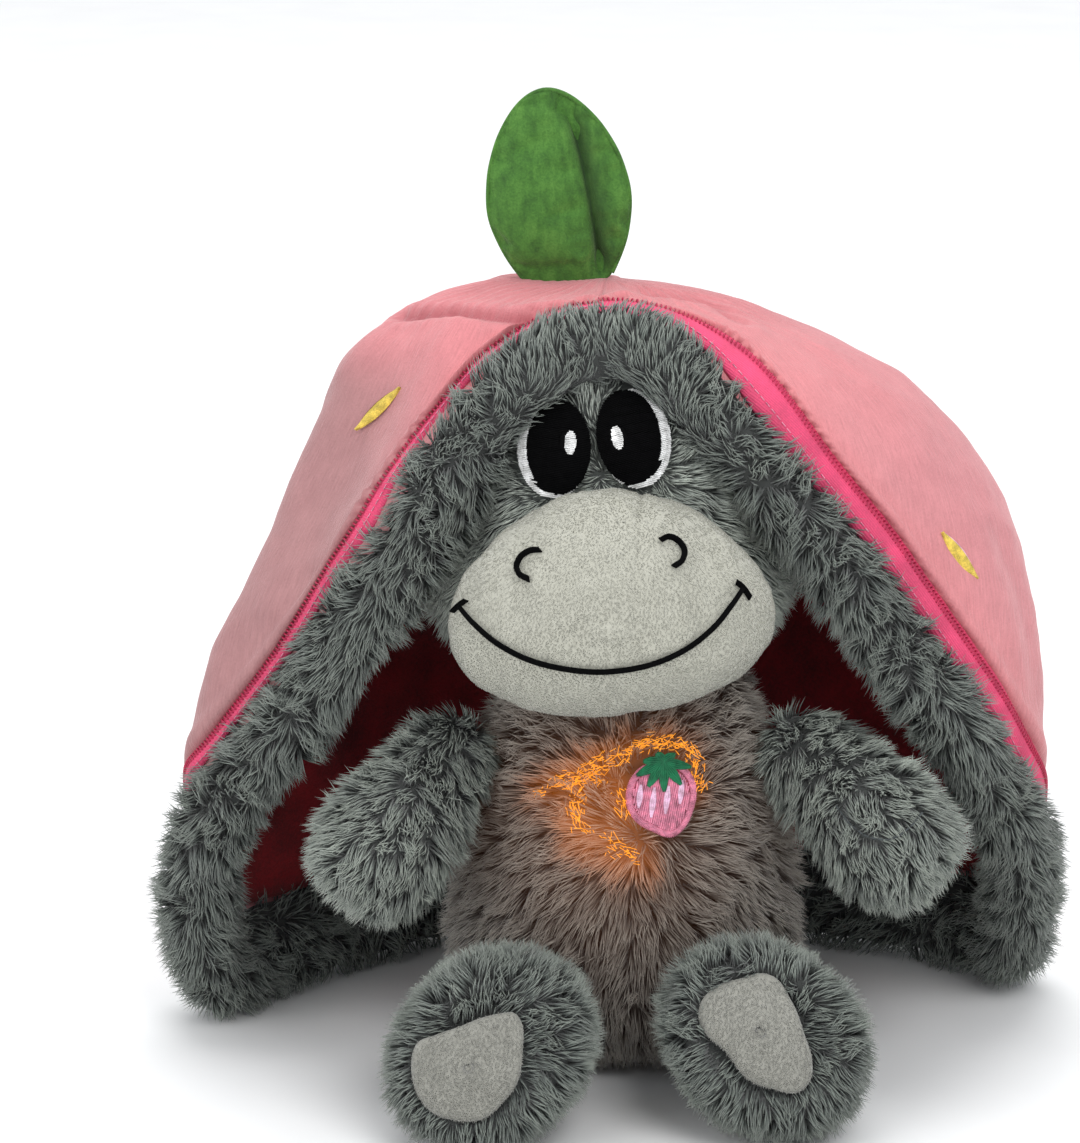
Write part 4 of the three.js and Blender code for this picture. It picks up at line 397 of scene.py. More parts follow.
class Nodes:
    """Writes a node tree, one call for each node."""

    def __init__(self, tree: bpy.types.NodeTree) -> None:
        """Keeps the tree."""
        self.tree = tree

    def add(self, kind: str, wires: dict | None = None, **settings: object) -> bpy.types.Node:
        """Adds a node.

        Args:
            kind: the node's type.
            wires: a value or a socket for each input, by name or index.
            settings: the node's own settings.

        Returns:
            The node.
        """
        made = self.tree.nodes.new(kind)
        for key, value in settings.items():
            setattr(made, key, value)
        for key, value in (wires or {}).items():
            if isinstance(value, bpy.types.NodeSocket):
                self.tree.links.new(value, made.inputs[key])
            else:
                made.inputs[key].default_value = value
        return made

    def sum(self, kind: str, *values: object) -> bpy.types.NodeSocket:
        """One step of arithmetic on numbers, such as ADD or MULTIPLY."""
        return self.add("ShaderNodeMath", dict(enumerate(values)), operation=kind).outputs[0]

    def weighed(self, *parts: tuple[object, float]) -> bpy.types.NodeSocket:
        """A sum of values, each with its own weight.

        Args:
            parts: each a value and its weight.

        Returns:
            The sum.
        """
        total, *others = [self.sum("MULTIPLY", value, weight) for value, weight in parts]
        for other in others:
            total = self.sum("ADD", total, other)
        return total

    def along(self, kind: str, *values: object) -> bpy.types.NodeSocket:
        """One step of arithmetic on vectors.

        Args:
            kind: the kind of arithmetic.
            values: what goes in, as sockets or values.

        Returns:
            The step's output.
        """
        made = self.add("ShaderNodeVectorMath", None, operation=kind)
        for index, value in enumerate(values):
            socket = made.inputs["Scale"] if kind == "SCALE" and index == 1 else made.inputs[index]
            if isinstance(value, bpy.types.NodeSocket):
                self.tree.links.new(value, socket)
            else:
                socket.default_value = value
        return made.outputs["Value" if kind in ("LENGTH", "DOT_PRODUCT") else "Vector"]

    def blend(self, share: object, low: object, high: object, kind: str = "MIX") -> bpy.types.NodeSocket:
        """A mix of two colours.

        Args:
            share: how much of the second colour.
            low: the first colour.
            high: the second colour.
            kind: how they are mixed.

        Returns:
            The step's output.
        """
        return self.add(
            "ShaderNodeMix", {0: share, 6: low, 7: high}, data_type="RGBA", blend_type=kind
        ).outputs[2]

    def ramp(self, share: object, *stops: tuple[float, tuple]) -> bpy.types.NodeSocket:
        """A run of colours, each given with its place.

        Args:
            share: the place on the run, from 0 to 1.
            stops: each a place and a colour.

        Returns:
            The step's output.
        """
        made = self.add("ShaderNodeValToRGB", {0: share})
        elements = made.color_ramp.elements
        while len(elements) < len(stops):
            elements.new(0.5)
        for element, (place, colour) in zip(elements, stops):
            element.position = place
            element.color = colour
        return made.outputs[0]

    def spread(self, value: object, low: float, high: float, to: float = 1.0) -> bpy.types.NodeSocket:
        """A value moved from the range low to high to the range 0 to another end.

        Args:
            value: what is moved.
            low: the range's start.
            high: the range's end.
            to: the new range's end.

        Returns:
            The step's output.
        """
        return self.add(
            "ShaderNodeMapRange",
            {"Value": value, "From Min": low, "From Max": high, "To Min": 0.0, "To Max": to},
        ).outputs[0]

    def noise(
        self, place: object, wave: float, detail: float = 2.0, rough: float = 0.5
    ) -> bpy.types.NodeSocket:
        """Noise whose usual grain is `wave` millimetres.

        Args:
            place: where the noise is read.
            wave: its grain, in millimetres.
            detail: how many finer layers it has.
            rough: how strong they are.

        Returns:
            The noise, from 0 to 1.
        """
        return self.add(
            "ShaderNodeTexNoise",
            {"Vector": place, "Scale": 1 / (wave * MM), "Detail": detail, "Roughness": rough},
        ).outputs["Fac"]

    def value(self, name: str) -> bpy.types.NodeSocket:
        """A value that the mesh carries, in a material."""
        return self.add("ShaderNodeAttribute", None, attribute_name=name).outputs["Fac"]

    def place(self) -> bpy.types.NodeSocket:
        """Where a point is on its object."""
        return self.add("ShaderNodeTexCoord").outputs["Object"]

    def stretched(self, place: object, scale: tuple, turn: tuple = (0.0, 0.0, 0.0)) -> bpy.types.NodeSocket:
        """Coordinates stretched and turned for a pattern."""
        return self.add("ShaderNodeMapping", {"Vector": place, "Scale": scale, "Rotation": turn}).outputs[0]

    def bump(self, height: object, depth: float, strength: float = 1.0) -> bpy.types.NodeSocket:
        """A raised pattern, `depth` millimetres high.

        Args:
            height: the pattern, from 0 to 1.
            depth: its height, in millimetres.
            strength: how much of it shows.

        Returns:
            The bent surface direction.
        """
        return self.add(
            "ShaderNodeBump", {"Height": height, "Distance": depth * MM, "Strength": strength}
        ).outputs[0]


def finish_tree(name: str) -> tuple[bpy.types.Material, Nodes, bpy.types.Node]:
    """A new material with its shader.

    Args:
        name: the material's name.

    Returns:
        The material, its node writer, and its shader node.
    """
    made = bpy.data.materials.new(name)
    made.use_nodes = True
    shader = made.node_tree.nodes["Principled BSDF"]
    return made, Nodes(made.node_tree), shader


def wire(nodes: Nodes, shader: bpy.types.Node, **sockets: object) -> None:
    """Sets the shader's inputs, by name with _ for a space.

    Args:
        nodes: the material's tree.
        shader: the shader.
        sockets: each input's value or source.
    """
    for key, value in sockets.items():
        socket = shader.inputs[key.replace("_", " ")]
        if isinstance(value, bpy.types.NodeSocket):
            nodes.tree.links.new(value, socket)
        else:
            socket.default_value = value


# Finishes


def shades(body: tuple, darker: float, lighter: float, lift: float) -> tuple[tuple, tuple]:
    """A colour's darker and its lighter shade."""
    return tuple(c * darker for c in body), tuple(min(1.0, c * lighter + lift) for c in body)


@dataclass(frozen=True)
class FurFinish:
    """Long pile: dark at the root, which is painted shade between the strands, paler at the tip, each strand
    of its own shade.
    """

    name: str
    root: tuple
    middle: tuple
    tip: tuple
    glow: bool = False

    def make(self) -> bpy.types.Material:
        """The finish as a material.

        Returns:
            The material.
        """
        made, nodes, shader = finish_tree(self.name)
        rise = nodes.value("rise")
        # The ramp darkens towards the root: painted shade where the strands shade each other. The bare skin
        # under the strands takes the root colour too.
        body = nodes.ramp(rise, (0.0, tone(*self.root)), (0.5, tone(*self.middle)), (1.0, tone(*self.tip)))
        patchy = nodes.noise(nodes.place(), wave=14.0, detail=3.0)
        tufts = nodes.noise(nodes.place(), wave=3.2, detail=2.0)
        lift = nodes.weighed((patchy, 0.42), (tufts, 0.34), (nodes.value("shade"), 0.42))
        tint = nodes.ramp(lift, (0.25, (0.68, 0.69, 0.69, 1)), (0.85, (1.34, 1.34, 1.30, 1)))
        colour = nodes.blend(1.0, body, tint, "MULTIPLY")
        if self.glow:
            warm = nodes.value("glow")
            colour = nodes.blend(nodes.sum("MULTIPLY", warm, 0.42), colour, tone(0.62, 0.42, 0.29))
            ember = nodes.ramp(
                warm, (0.0, (0, 0, 0, 1)), (0.45, (0.030, 0.008, 0.001, 1)), (1.0, (0.34, 0.085, 0.006, 1))
            )
            wire(nodes, shader, Emission_Color=ember, Emission_Strength=1.0)
        wire(nodes, shader, Base_Color=colour, Roughness=0.85, Sheen_Weight=0.2, Sheen_Roughness=0.5)
        return made


@dataclass(frozen=True)
class ShortPileFinish:
    """Short, brushed pile with a fine speckle and a soft bloom."""

    name: str
    body: tuple
    shadow: tuple
    speckle: float = 0.9

    def make(self) -> bpy.types.Material:
        """The finish as a material.

        Returns:
            The material.
        """
        made, nodes, shader = finish_tree(self.name)
        place = nodes.place()
        fine = nodes.noise(place, self.speckle, detail=3.0, rough=0.65)
        brushed = nodes.noise(place, wave=9.0, detail=3.0)
        mixed = nodes.weighed((fine, 0.6), (brushed, 0.4), (nodes.value("shade"), 0.16))
        colour = nodes.ramp(mixed, (0.28, tone(*self.shadow)), (0.62, tone(*self.body)))
        height = nodes.sum("ADD", fine, nodes.sum("MULTIPLY", brushed, 0.5))
        wire(nodes, shader, Base_Color=colour, Roughness=0.88, Sheen_Weight=0.35, Sheen_Roughness=0.4)
        wire(nodes, shader, Normal=nodes.bump(height, depth=0.2, strength=0.6))
        return made


@dataclass(frozen=True)
class VelourFinish:
    """Dyed velour: a short nap with brushed streaks and tone that varies at random; painted shade in the
    folds, beside the zip, on the left and at the lower right; a painted highlight towards the top and along
    the zip, on the front.
    """

    name: str
    body: tuple
    # The colour of the painted highlight towards the top and along the zip.
    warm: tuple
    # The colour of the painted shade on the left and the lower right.
    side_shade_tone: tuple
    # The colour of the painted shade in the folds and beside the zip.
    dark: tuple
    streak: float = 1.0

    def make(self) -> bpy.types.Material:
        """The finish as a material.

        Returns:
            The material.
        """
        made, nodes, shader = finish_tree(self.name)
        place = nodes.place()
        cloth = nodes.add("ShaderNodeUVMap").outputs[0]
        streaks = nodes.noise(nodes.stretched(cloth, (1.0, 0.16, 1.0)), wave=1.3, detail=3.0, rough=0.6)
        nap = nodes.noise(place, wave=0.7, detail=2.0, rough=0.6)
        brushed = nodes.noise(place, wave=26.0, detail=3.0)
        blotch = nodes.noise(place, wave=8.0, detail=3.0)
        # Painted highlight: a warmer, brighter pink towards the top and along the zip, on the front.
        colour = nodes.blend(nodes.value("warmth"), tone(*self.body), tone(*self.warm))
        # Painted shade on the left and the lower right.
        colour = nodes.blend(nodes.value("dust"), colour, tone(*self.side_shade_tone))
        broad = nodes.sum("ADD", brushed, blotch)
        shade = nodes.weighed((streaks, 0.42), (nap, 0.22), (broad, 0.18))
        depth = nodes.spread(shade, low=0.36, high=0.64)
        colour = nodes.blend(
            1.0,
            colour,
            nodes.ramp(depth, (0.0, (0.80, 0.77, 0.78, 1)), (1.0, (1.10, 1.10, 1.10, 1))),
            "MULTIPLY",
        )
        # Painted shade in the folds and in the gap beside the zip.
        colour = nodes.blend(nodes.value("crease"), colour, tone(*self.dark))
        height = nodes.weighed((streaks, self.streak), (nap, 0.7))
        wire(nodes, shader, Base_Color=colour, Roughness=0.9, Sheen_Weight=0.45, Sheen_Roughness=0.35)
        wire(
            nodes,
            shader,
            Sheen_Tint=(1.0, 0.78, 0.78, 1.0),
            Normal=nodes.bump(height, depth=0.5, strength=0.75),
        )
        return made


@dataclass(frozen=True)
class LeafFinish:
    """Green velour with a brushed, mottled nap."""

    name: str = "leaf_velour"

    def make(self) -> bpy.types.Material:
        """The finish as a material.

        Returns:
            The material.
        """
        made, nodes, shader = finish_tree(self.name)
        place = nodes.place()
        nap = nodes.noise(place, wave=0.7, detail=2.0, rough=0.6)
        mottle = nodes.noise(place, wave=6.0, detail=4.0, rough=0.6)
        combed = nodes.noise(nodes.stretched(place, (1.0, 1.0, 0.2)), wave=2.2, detail=2.0)
        mixed = nodes.weighed((nap, 0.3), (mottle, 0.42), (combed, 0.28))
        colour = nodes.ramp(
            mixed,
            (0.32, tone(0.14, 0.29, 0.08)),
            (0.5, tone(0.24, 0.425, 0.14)),
            (0.68, tone(0.34, 0.53, 0.21)),
        )
        # Painted shade in the crease and beside it, under the folded lobe.
        colour = nodes.blend(nodes.value("crease"), colour, tone(0.07, 0.17, 0.045))
        height = nodes.sum("ADD", nap, nodes.sum("MULTIPLY", combed, 0.6))
        wire(nodes, shader, Base_Color=colour, Roughness=0.86, Sheen_Weight=0.25, Sheen_Roughness=0.4)
        wire(
            nodes,
            shader,
            Sheen_Tint=(0.75, 0.95, 0.6, 1.0),
            Normal=nodes.bump(height, depth=0.4, strength=0.8),
        )
        return made


@dataclass(frozen=True)
class LiningFinish:
    """Dark red, short-napped lining."""

    name: str = "lining_cloth"

    def make(self) -> bpy.types.Material:
        """The finish as a material.

        Returns:
            The material.
        """
        made, nodes, shader = finish_tree(self.name)
        place = nodes.place()
        nap = nodes.noise(place, wave=0.9, detail=2.0, rough=0.6)
        folds = nodes.noise(place, wave=18.0, detail=3.0)
        mixed = nodes.weighed((nap, 0.45), (folds, 0.55))
        colour = nodes.ramp(mixed, (0.33, tone(0.30, 0.01, 0.035)), (0.66, tone(0.54, 0.045, 0.09)))
        wire(nodes, shader, Base_Color=colour, Roughness=0.9, Sheen_Weight=0.05)
        wire(nodes, shader, Normal=nodes.bump(nap, depth=0.35, strength=0.7))
        return made


@dataclass(frozen=True)
class ThreadFinish:
    """Embroidery thread: satin, with its twist and small changes of shade."""

    name: str
    body: tuple
    shine: float = 0.38
    glow: tuple | None = None
    gloss: float = 0.3

    def make(self) -> bpy.types.Material:
        """The finish as a material.

        Returns:
            The material.
        """
        made, nodes, shader = finish_tree(self.name)
        place = nodes.place()
        twist = nodes.noise(place, wave=0.35, detail=2.0)
        runs = nodes.noise(place, wave=2.4, detail=2.0)
        mixed = nodes.weighed((twist, 0.4), (runs, 0.6))
        dark, light = shades(self.body, darker=0.72, lighter=1.12, lift=0.015)
        colour = nodes.ramp(mixed, (0.34, tone(*dark)), (0.66, tone(*light)))
        rough = nodes.spread(twist, low=0.0, high=1.0, to=0.25)
        wire(nodes, shader, Base_Color=colour, Roughness=nodes.sum("ADD", rough, self.shine))
        wire(nodes, shader, Specular_IOR_Level=self.gloss, Normal=nodes.bump(twist, depth=0.06, strength=0.6))
        if self.glow:
            wire(
                nodes,
                shader,
                Emission_Color=nodes.blend(mixed, tone(*dark), tone(*self.glow)),
                Emission_Strength=1.0,
            )
        return made


class Mould(Enum):
    """How the surface of a hard piece was made."""

    SPARK = "fine sparked grain"
    SATIN = "satin moulding"
    TURNED = "turned or drawn metal"
    PRINTED = "printed sleeve"
    WOVEN = "woven tape"
    CLEAR = "clear lens"


@dataclass(frozen=True)
class HardFinish:
    """A moulded, turned or printed surface, with its grain and a little wear in small random patches."""

    name: str
    body: tuple
    mould: Mould
    roughness: float = 0.5
    metal: float = 0.0
    grain: float = 0.5
    accent: tuple | None = None

    def make(self) -> bpy.types.Material:
        """The finish as a material.

        Returns:
            The material.
        """
        made, nodes, shader = finish_tree(self.name)
        place = nodes.place()
        fine = nodes.noise(place, self.grain, detail=3.0, rough=0.6)
        broad = nodes.noise(place, wave=9.0, detail=3.0)
        mixed = nodes.weighed((fine, 0.4), (broad, 0.6))
        dark, light = shades(self.body, darker=0.86, lighter=1.07, lift=0.01)
        colour = nodes.ramp(mixed, (0.35, tone(*dark)), (0.65, tone(*light)))
        height, depth = fine, 0.05
        if self.mould is Mould.TURNED:
            height = nodes.noise(nodes.stretched(place, (1.0, 0.06, 1.0)), wave=0.3, detail=2.0)
        if self.mould is Mould.PRINTED:
            band = nodes.add(
                "ShaderNodeTexWave", {"Vector": place, "Scale": 34.0, "Distortion": 0.0}, bands_direction="X"
            )
            colour = nodes.blend(
                nodes.spread(band.outputs["Fac"], low=0.42, high=0.5),
                colour,
                tone(*(self.accent or self.body)),
            )
        if self.mould is Mould.WOVEN:
            across = nodes.add(
                "ShaderNodeTexWave",
                {"Vector": place, "Scale": 560.0, "Distortion": 1.5},
                bands_direction="DIAGONAL",
            )
            height, depth = across.outputs["Fac"], 0.12
            colour = nodes.blend(nodes.sum("MULTIPLY", height, 0.35), colour, tone(*(self.accent or dark)))
        rubbed = nodes.spread(
            nodes.noise(place, wave=3.5, detail=4.0, rough=0.7), low=0.56, high=0.74, to=0.35
        )
        colour = nodes.blend(rubbed, colour, tone(*light))
        rough = nodes.sum("ADD", nodes.spread(broad, low=0.3, high=0.7, to=0.12), self.roughness - 0.06)
        wire(
            nodes,
            shader,
            Base_Color=colour,
            Roughness=rough,
            Metallic=self.metal,
            Normal=nodes.bump(height, depth, strength=0.6),
        )
        if self.mould is Mould.CLEAR:
            wire(
                nodes,
                shader,
                Transmission_Weight=0.55,
                Emission_Color=tone(*self.body),
                Emission_Strength=0.6,
            )
        return made


class Finishes:
    """Every finish of the toy, made once."""

    def __init__(self) -> None:
        """Makes the materials."""
        # Each fur's root colour is painted shade between the strands.
        grey = {"root": (0.205, 0.215, 0.21), "middle": (0.395, 0.42, 0.405), "tip": (0.58, 0.605, 0.575)}
        self.fur = FurFinish("grey_fur", **grey).make()
        # Lighter copies of the grey fur for the arms and the face: painted light, where the hood and the body
        # shade them.
        self.arm_fur = FurFinish(
            "arm_fur", (0.26, 0.27, 0.265), (0.50, 0.525, 0.505), (0.70, 0.725, 0.69)
        ).make()
        self.face_fur = FurFinish(
            "face_fur", (0.30, 0.315, 0.305), (0.60, 0.625, 0.60), (0.80, 0.825, 0.785)
        ).make()
        self.belly_fur = FurFinish(
            "belly_fur", (0.215, 0.205, 0.195), (0.475, 0.458, 0.435), (0.70, 0.68, 0.65), glow=True
        ).make()
        self.muzzle = ShortPileFinish(
            "muzzle_pile", (0.69, 0.687, 0.64), (0.645, 0.642, 0.593), speckle=0.7
        ).make()
        self.sole = ShortPileFinish(
            "sole_pile", (0.595, 0.592, 0.56), (0.50, 0.497, 0.468), speckle=0.9
        ).make()
        self.pink = VelourFinish(
            "strawberry_velour",
            (0.81, 0.535, 0.55),
            (0.85, 0.525, 0.54),
            (0.655, 0.485, 0.485),
            (0.55, 0.20, 0.25),
        ).make()
        self.leaf = LeafFinish().make()
        self.lining = LiningFinish().make()
        self.black = ThreadFinish("black_thread", (0.012, 0.012, 0.015), shine=0.6, gloss=0.04).make()
        self.white = ThreadFinish("white_thread", (0.93, 0.93, 0.92)).make()
        self.rose = ThreadFinish("rose_thread", (0.87, 0.53, 0.63)).make()
        self.blush = ThreadFinish("blush_thread", (0.97, 0.74, 0.84)).make()
        self.green = ThreadFinish("green_thread", (0.08, 0.42, 0.27)).make()
        self.gold = ThreadFinish("gold_thread", (0.86, 0.75, 0.33), shine=0.34).make()
        self.brown = ThreadFinish("brown_thread", (0.50, 0.36, 0.20)).make()
        self.grey = ThreadFinish("grey_thread", (0.24, 0.26, 0.265), shine=0.5).make()
        self.ember = ThreadFinish(
            "glowing_fibre", (0.98, 0.52, 0.10), shine=0.4, glow=(1.0, 0.72, 0.24)
        ).make()
        self.tape = HardFinish(
            "zip_tape", (0.88, 0.29, 0.45), Mould.WOVEN, roughness=0.75, accent=(0.74, 0.19, 0.35)
        ).make()
        self.coil = HardFinish("zip_coil", (0.70, 0.13, 0.29), Mould.SATIN, roughness=0.45).make()
        self.metal = HardFinish(
            "zip_metal", (0.82, 0.42, 0.52), Mould.TURNED, roughness=0.32, metal=0.7
        ).make()
        self.case = HardFinish("case_plastic", (0.83, 0.83, 0.80), Mould.SPARK, roughness=0.55).make()
        self.gear = HardFinish("gear_plastic", (0.93, 0.92, 0.87), Mould.SATIN, roughness=0.4).make()
        self.button = HardFinish("button_plastic", (0.35, 0.37, 0.39), Mould.SPARK, roughness=0.6).make()
        self.steel = HardFinish(
            "motor_steel", (0.66, 0.67, 0.69), Mould.TURNED, roughness=0.3, metal=1.0, grain=0.25
        ).make()
        self.sleeve = HardFinish(
            "cell_sleeve", (0.16, 0.34, 0.50), Mould.PRINTED, roughness=0.35, accent=(0.78, 0.66, 0.36)
        ).make()
        self.board = HardFinish("board_resin", (0.10, 0.36, 0.20), Mould.SATIN, roughness=0.38).make()
        self.lens = HardFinish("lamp_lens", (1.0, 0.62, 0.2), Mould.CLEAR, roughness=0.25).make()
        self.hooks = HardFinish(
            "hook_and_loop", (0.17, 0.18, 0.19), Mould.WOVEN, roughness=0.85, accent=(0.26, 0.27, 0.28)
        ).make()


# Trees of geometry nodes


class NodeShape:
    """A geometry node tree with named inputs, and the settling of what it makes."""

    def __init__(self, name: str, inputs: dict[str, str]) -> None:
        """Starts the tree.

        Args:
            name: the tree's name.
            inputs: the type of each named input.
        """
        self.tree = bpy.data.node_groups.new(name, "GeometryNodeTree")
        self.tree.interface.new_socket("Geometry", in_out="INPUT", socket_type="NodeSocketGeometry")
        for key, kind in inputs.items():
            self.tree.interface.new_socket(key, in_out="INPUT", socket_type=f"NodeSocket{kind}")
        self.tree.interface.new_socket("Geometry", in_out="OUTPUT", socket_type="NodeSocketGeometry")
        self.nodes = Nodes(self.tree)
        self.given = self.nodes.add("NodeGroupInput").outputs

    def close(self, geometry: bpy.types.NodeSocket) -> None:
        """Ends the tree in real faces with the given finish.

        Args:
            geometry: what the tree has made.
        """
        real = self.nodes.add("GeometryNodeRealizeInstances", {"Geometry": geometry}).outputs[0]
        smooth = self.nodes.add("GeometryNodeSetShadeSmooth", {"Geometry": real}).outputs[0]
        made = self.nodes.add(
            "GeometryNodeSetMaterial", {"Geometry": smooth, "Material": self.given["Finish"]}
        )
        self.nodes.add("NodeGroupOutput", {"Geometry": made.outputs[0]})

    def _named(self, name: str, kind: str) -> bpy.types.NodeSocket:
        """A value that the mesh carries."""
        found = self.nodes.add("GeometryNodeInputNamedAttribute", {"Name": name}, data_type=kind)
        return found.outputs["Attribute"]

    def run(self, obj: bpy.types.Object, **values: object) -> bpy.types.Object:
        """Runs the tree on an object and keeps the result as its plain mesh.

        Args:
            obj: the object that the tree starts from.
            values: the inputs' values, by name with _ for a space.

        Returns:
            The same object, with its new mesh and no modifier.
        """
        modifier = obj.modifiers.new(self.tree.name, "NODES")
        modifier.node_group = self.tree
        for item in self.tree.interface.items_tree:
            key = item.name.replace(" ", "_")
            if item.item_type == "SOCKET" and item.in_out == "INPUT" and key in values:
                modifier[item.identifier] = values[key]
        graph = bpy.context.evaluated_depsgraph_get()
        made = bpy.data.meshes.new_from_object(
            obj.evaluated_get(graph), preserve_all_data_layers=True, depsgraph=graph
        )
        obj.modifiers.clear()
        obj.data = made
        made.name = obj.name
        return obj


class Pile(NodeShape):
    """Strands planted over a skin, combed by its `fall` and gathered in tufts."""

    def __init__(self) -> None:
        """Builds the tree."""
        kinds = {"Strand": "Object", "Strands": "Float", "Length": "Float", "Width": "Float", "Tuft": "Float"}
        kinds |= {"Gather": "Float", "Sway": "Float", "Tousle": "Float", "Seed": "Int", "Finish": "Material"}
        super().__init__("pile", kinds)
        nodes, given = self.nodes, self.given
        thick = self._named("thick", "FLOAT")
        planted = nodes.add(
            "GeometryNodeDistributePointsOnFaces",
            {
                "Mesh": given["Geometry"],
                "Density": nodes.sum("MULTIPLY", thick, given["Strands"]),
                "Seed": given["Seed"],
            },
        )
        place = nodes.add("GeometryNodeInputPosition").outputs[0]
        fall = self._named("fall", "FLOAT_VECTOR")
        cells = nodes.add(
            "ShaderNodeTexVoronoi", {"Vector": place, "Scale": nodes.sum("DIVIDE", 1.0, given["Tuft"])}
        ).outputs
        tuft = cells["Position"]
        tousled = nodes.along(
            "SCALE", nodes.along("SUBTRACT", cells["Color"], (0.5, 0.5, 0.5)), given["Tousle"]
        )
        inward = nodes.along(
            "SCALE",
            nodes.along("SUBTRACT", tuft, place),
            nodes.sum("DIVIDE", given["Gather"], given["Length"]),
        )
        swirl = nodes.add(
            "ShaderNodeTexNoise",
            {"Vector": place, "Scale": nodes.sum("DIVIDE", 0.55, given["Tuft"]), "Detail": 2.0},
        ).outputs["Color"]
        swirl = nodes.along("SCALE", nodes.along("SUBTRACT", swirl, (0.5, 0.5, 0.5)), given["Sway"])
        loose = nodes.add(
            "FunctionNodeRandomValue", {0: (-0.16,) * 3, 1: (0.16,) * 3}, data_type="FLOAT_VECTOR"
        ).outputs[0]
        combed = nodes.along("ADD", nodes.along("ADD", fall, inward), tousled)
        lean = nodes.along("ADD", combed, nodes.along("ADD", swirl, loose))
        heading = nodes.along("NORMALIZE", nodes.along("ADD", planted.outputs["Normal"], lean))
        upright = nodes.add("FunctionNodeAlignRotationToVector", {"Vector": heading}, axis="Z").outputs[0]
        aimed = nodes.add(
            "FunctionNodeAlignRotationToVector",
            {"Rotation": upright, "Vector": lean},
            axis="X",
            pivot_axis="Z",
        ).outputs[0]
        chance = nodes.add(
            "FunctionNodeRandomValue", {2: 0.72, 3: 1.18, "Seed": given["Seed"]}, data_type="FLOAT"
        ).outputs[1]
        long = nodes.sum(
            "MULTIPLY", nodes.sum("MULTIPLY", chance, given["Length"]), self._named("long", "FLOAT")
        )
        size = nodes.add("ShaderNodeCombineXYZ", {0: given["Width"], 1: given["Width"], 2: long}).outputs[0]
        strand = nodes.add("GeometryNodeObjectInfo", {"Object": given["Strand"]}).outputs["Geometry"]
        grown = nodes.add(
            "GeometryNodeInstanceOnPoints",
            {"Points": planted.outputs["Points"], "Instance": strand, "Rotation": aimed, "Scale": size},
        ).outputs[0]
        chosen = nodes.add(
            "FunctionNodeRandomValue", {2: 0.0, 3: 0.5, "Seed": 7}, data_type="FLOAT"
        ).outputs[1]
        tint = nodes.add("ShaderNodeSeparateXYZ", {0: cells["Color"]}).outputs[2]
        shade = nodes.sum("ADD", chosen, nodes.sum("MULTIPLY", tint, 0.5))
        marked = nodes.add(
            "GeometryNodeStoreNamedAttribute",
            {"Geometry": grown, "Name": "shade", "Value": shade},
            data_type="FLOAT",
            domain="INSTANCE",
        ).outputs[0]
        self.close(marked)


class Thread(NodeShape):
    """Threads that follow lines."""

    def __init__(self) -> None:
        """Builds the tree."""
        super().__init__("thread", {"Radius": "Float", "Sides": "Int", "Finish": "Material"})
        nodes, given = self.nodes, self.given
        line = nodes.add("GeometryNodeMeshToCurve", {"Mesh": given["Geometry"]}).outputs[0]
        ring = nodes.add(
            "GeometryNodeCurvePrimitiveCircle", {"Resolution": given["Sides"], "Radius": given["Radius"]}
        ).outputs[0]
        tube = nodes.add(
            "GeometryNodeCurveToMesh", {"Curve": line, "Profile Curve": ring, "Fill Caps": True}
        ).outputs[0]
        self.close(tube)


class Beading(NodeShape):
    """One shape set again and again along a line, such as the coils of a zip."""

    def __init__(self) -> None:
        """Builds the tree."""
        super().__init__(
            "beading", {"Bead": "Object", "Pitch": "Float", "Size": "Float", "Finish": "Material"}
        )
        nodes, given = self.nodes, self.given
        line = nodes.add("GeometryNodeMeshToCurve", {"Mesh": given["Geometry"]}).outputs[0]
        points = nodes.add(
            "GeometryNodeCurveToPoints", {"Curve": line, "Length": given["Pitch"]}, mode="LENGTH"
        )
        face = self._named("out", "FLOAT_VECTOR")
        along = nodes.add(
            "FunctionNodeAlignRotationToVector", {"Vector": points.outputs["Tangent"]}, axis="X"
        ).outputs[0]
        turn = nodes.add(
            "FunctionNodeAlignRotationToVector", {"Rotation": along, "Vector": face}, axis="Z", pivot_axis="X"
        ).outputs[0]
        bead = nodes.add("GeometryNodeObjectInfo", {"Object": given["Bead"]}).outputs["Geometry"]
        size = nodes.add(
            "ShaderNodeCombineXYZ", {0: given["Size"], 1: given["Size"], 2: given["Size"]}
        ).outputs[0]
        self.close(
            nodes.add(
                "GeometryNodeInstanceOnPoints",
                {"Points": points.outputs["Points"], "Instance": bead, "Rotation": turn, "Scale": size},
            ).outputs[0]
        )


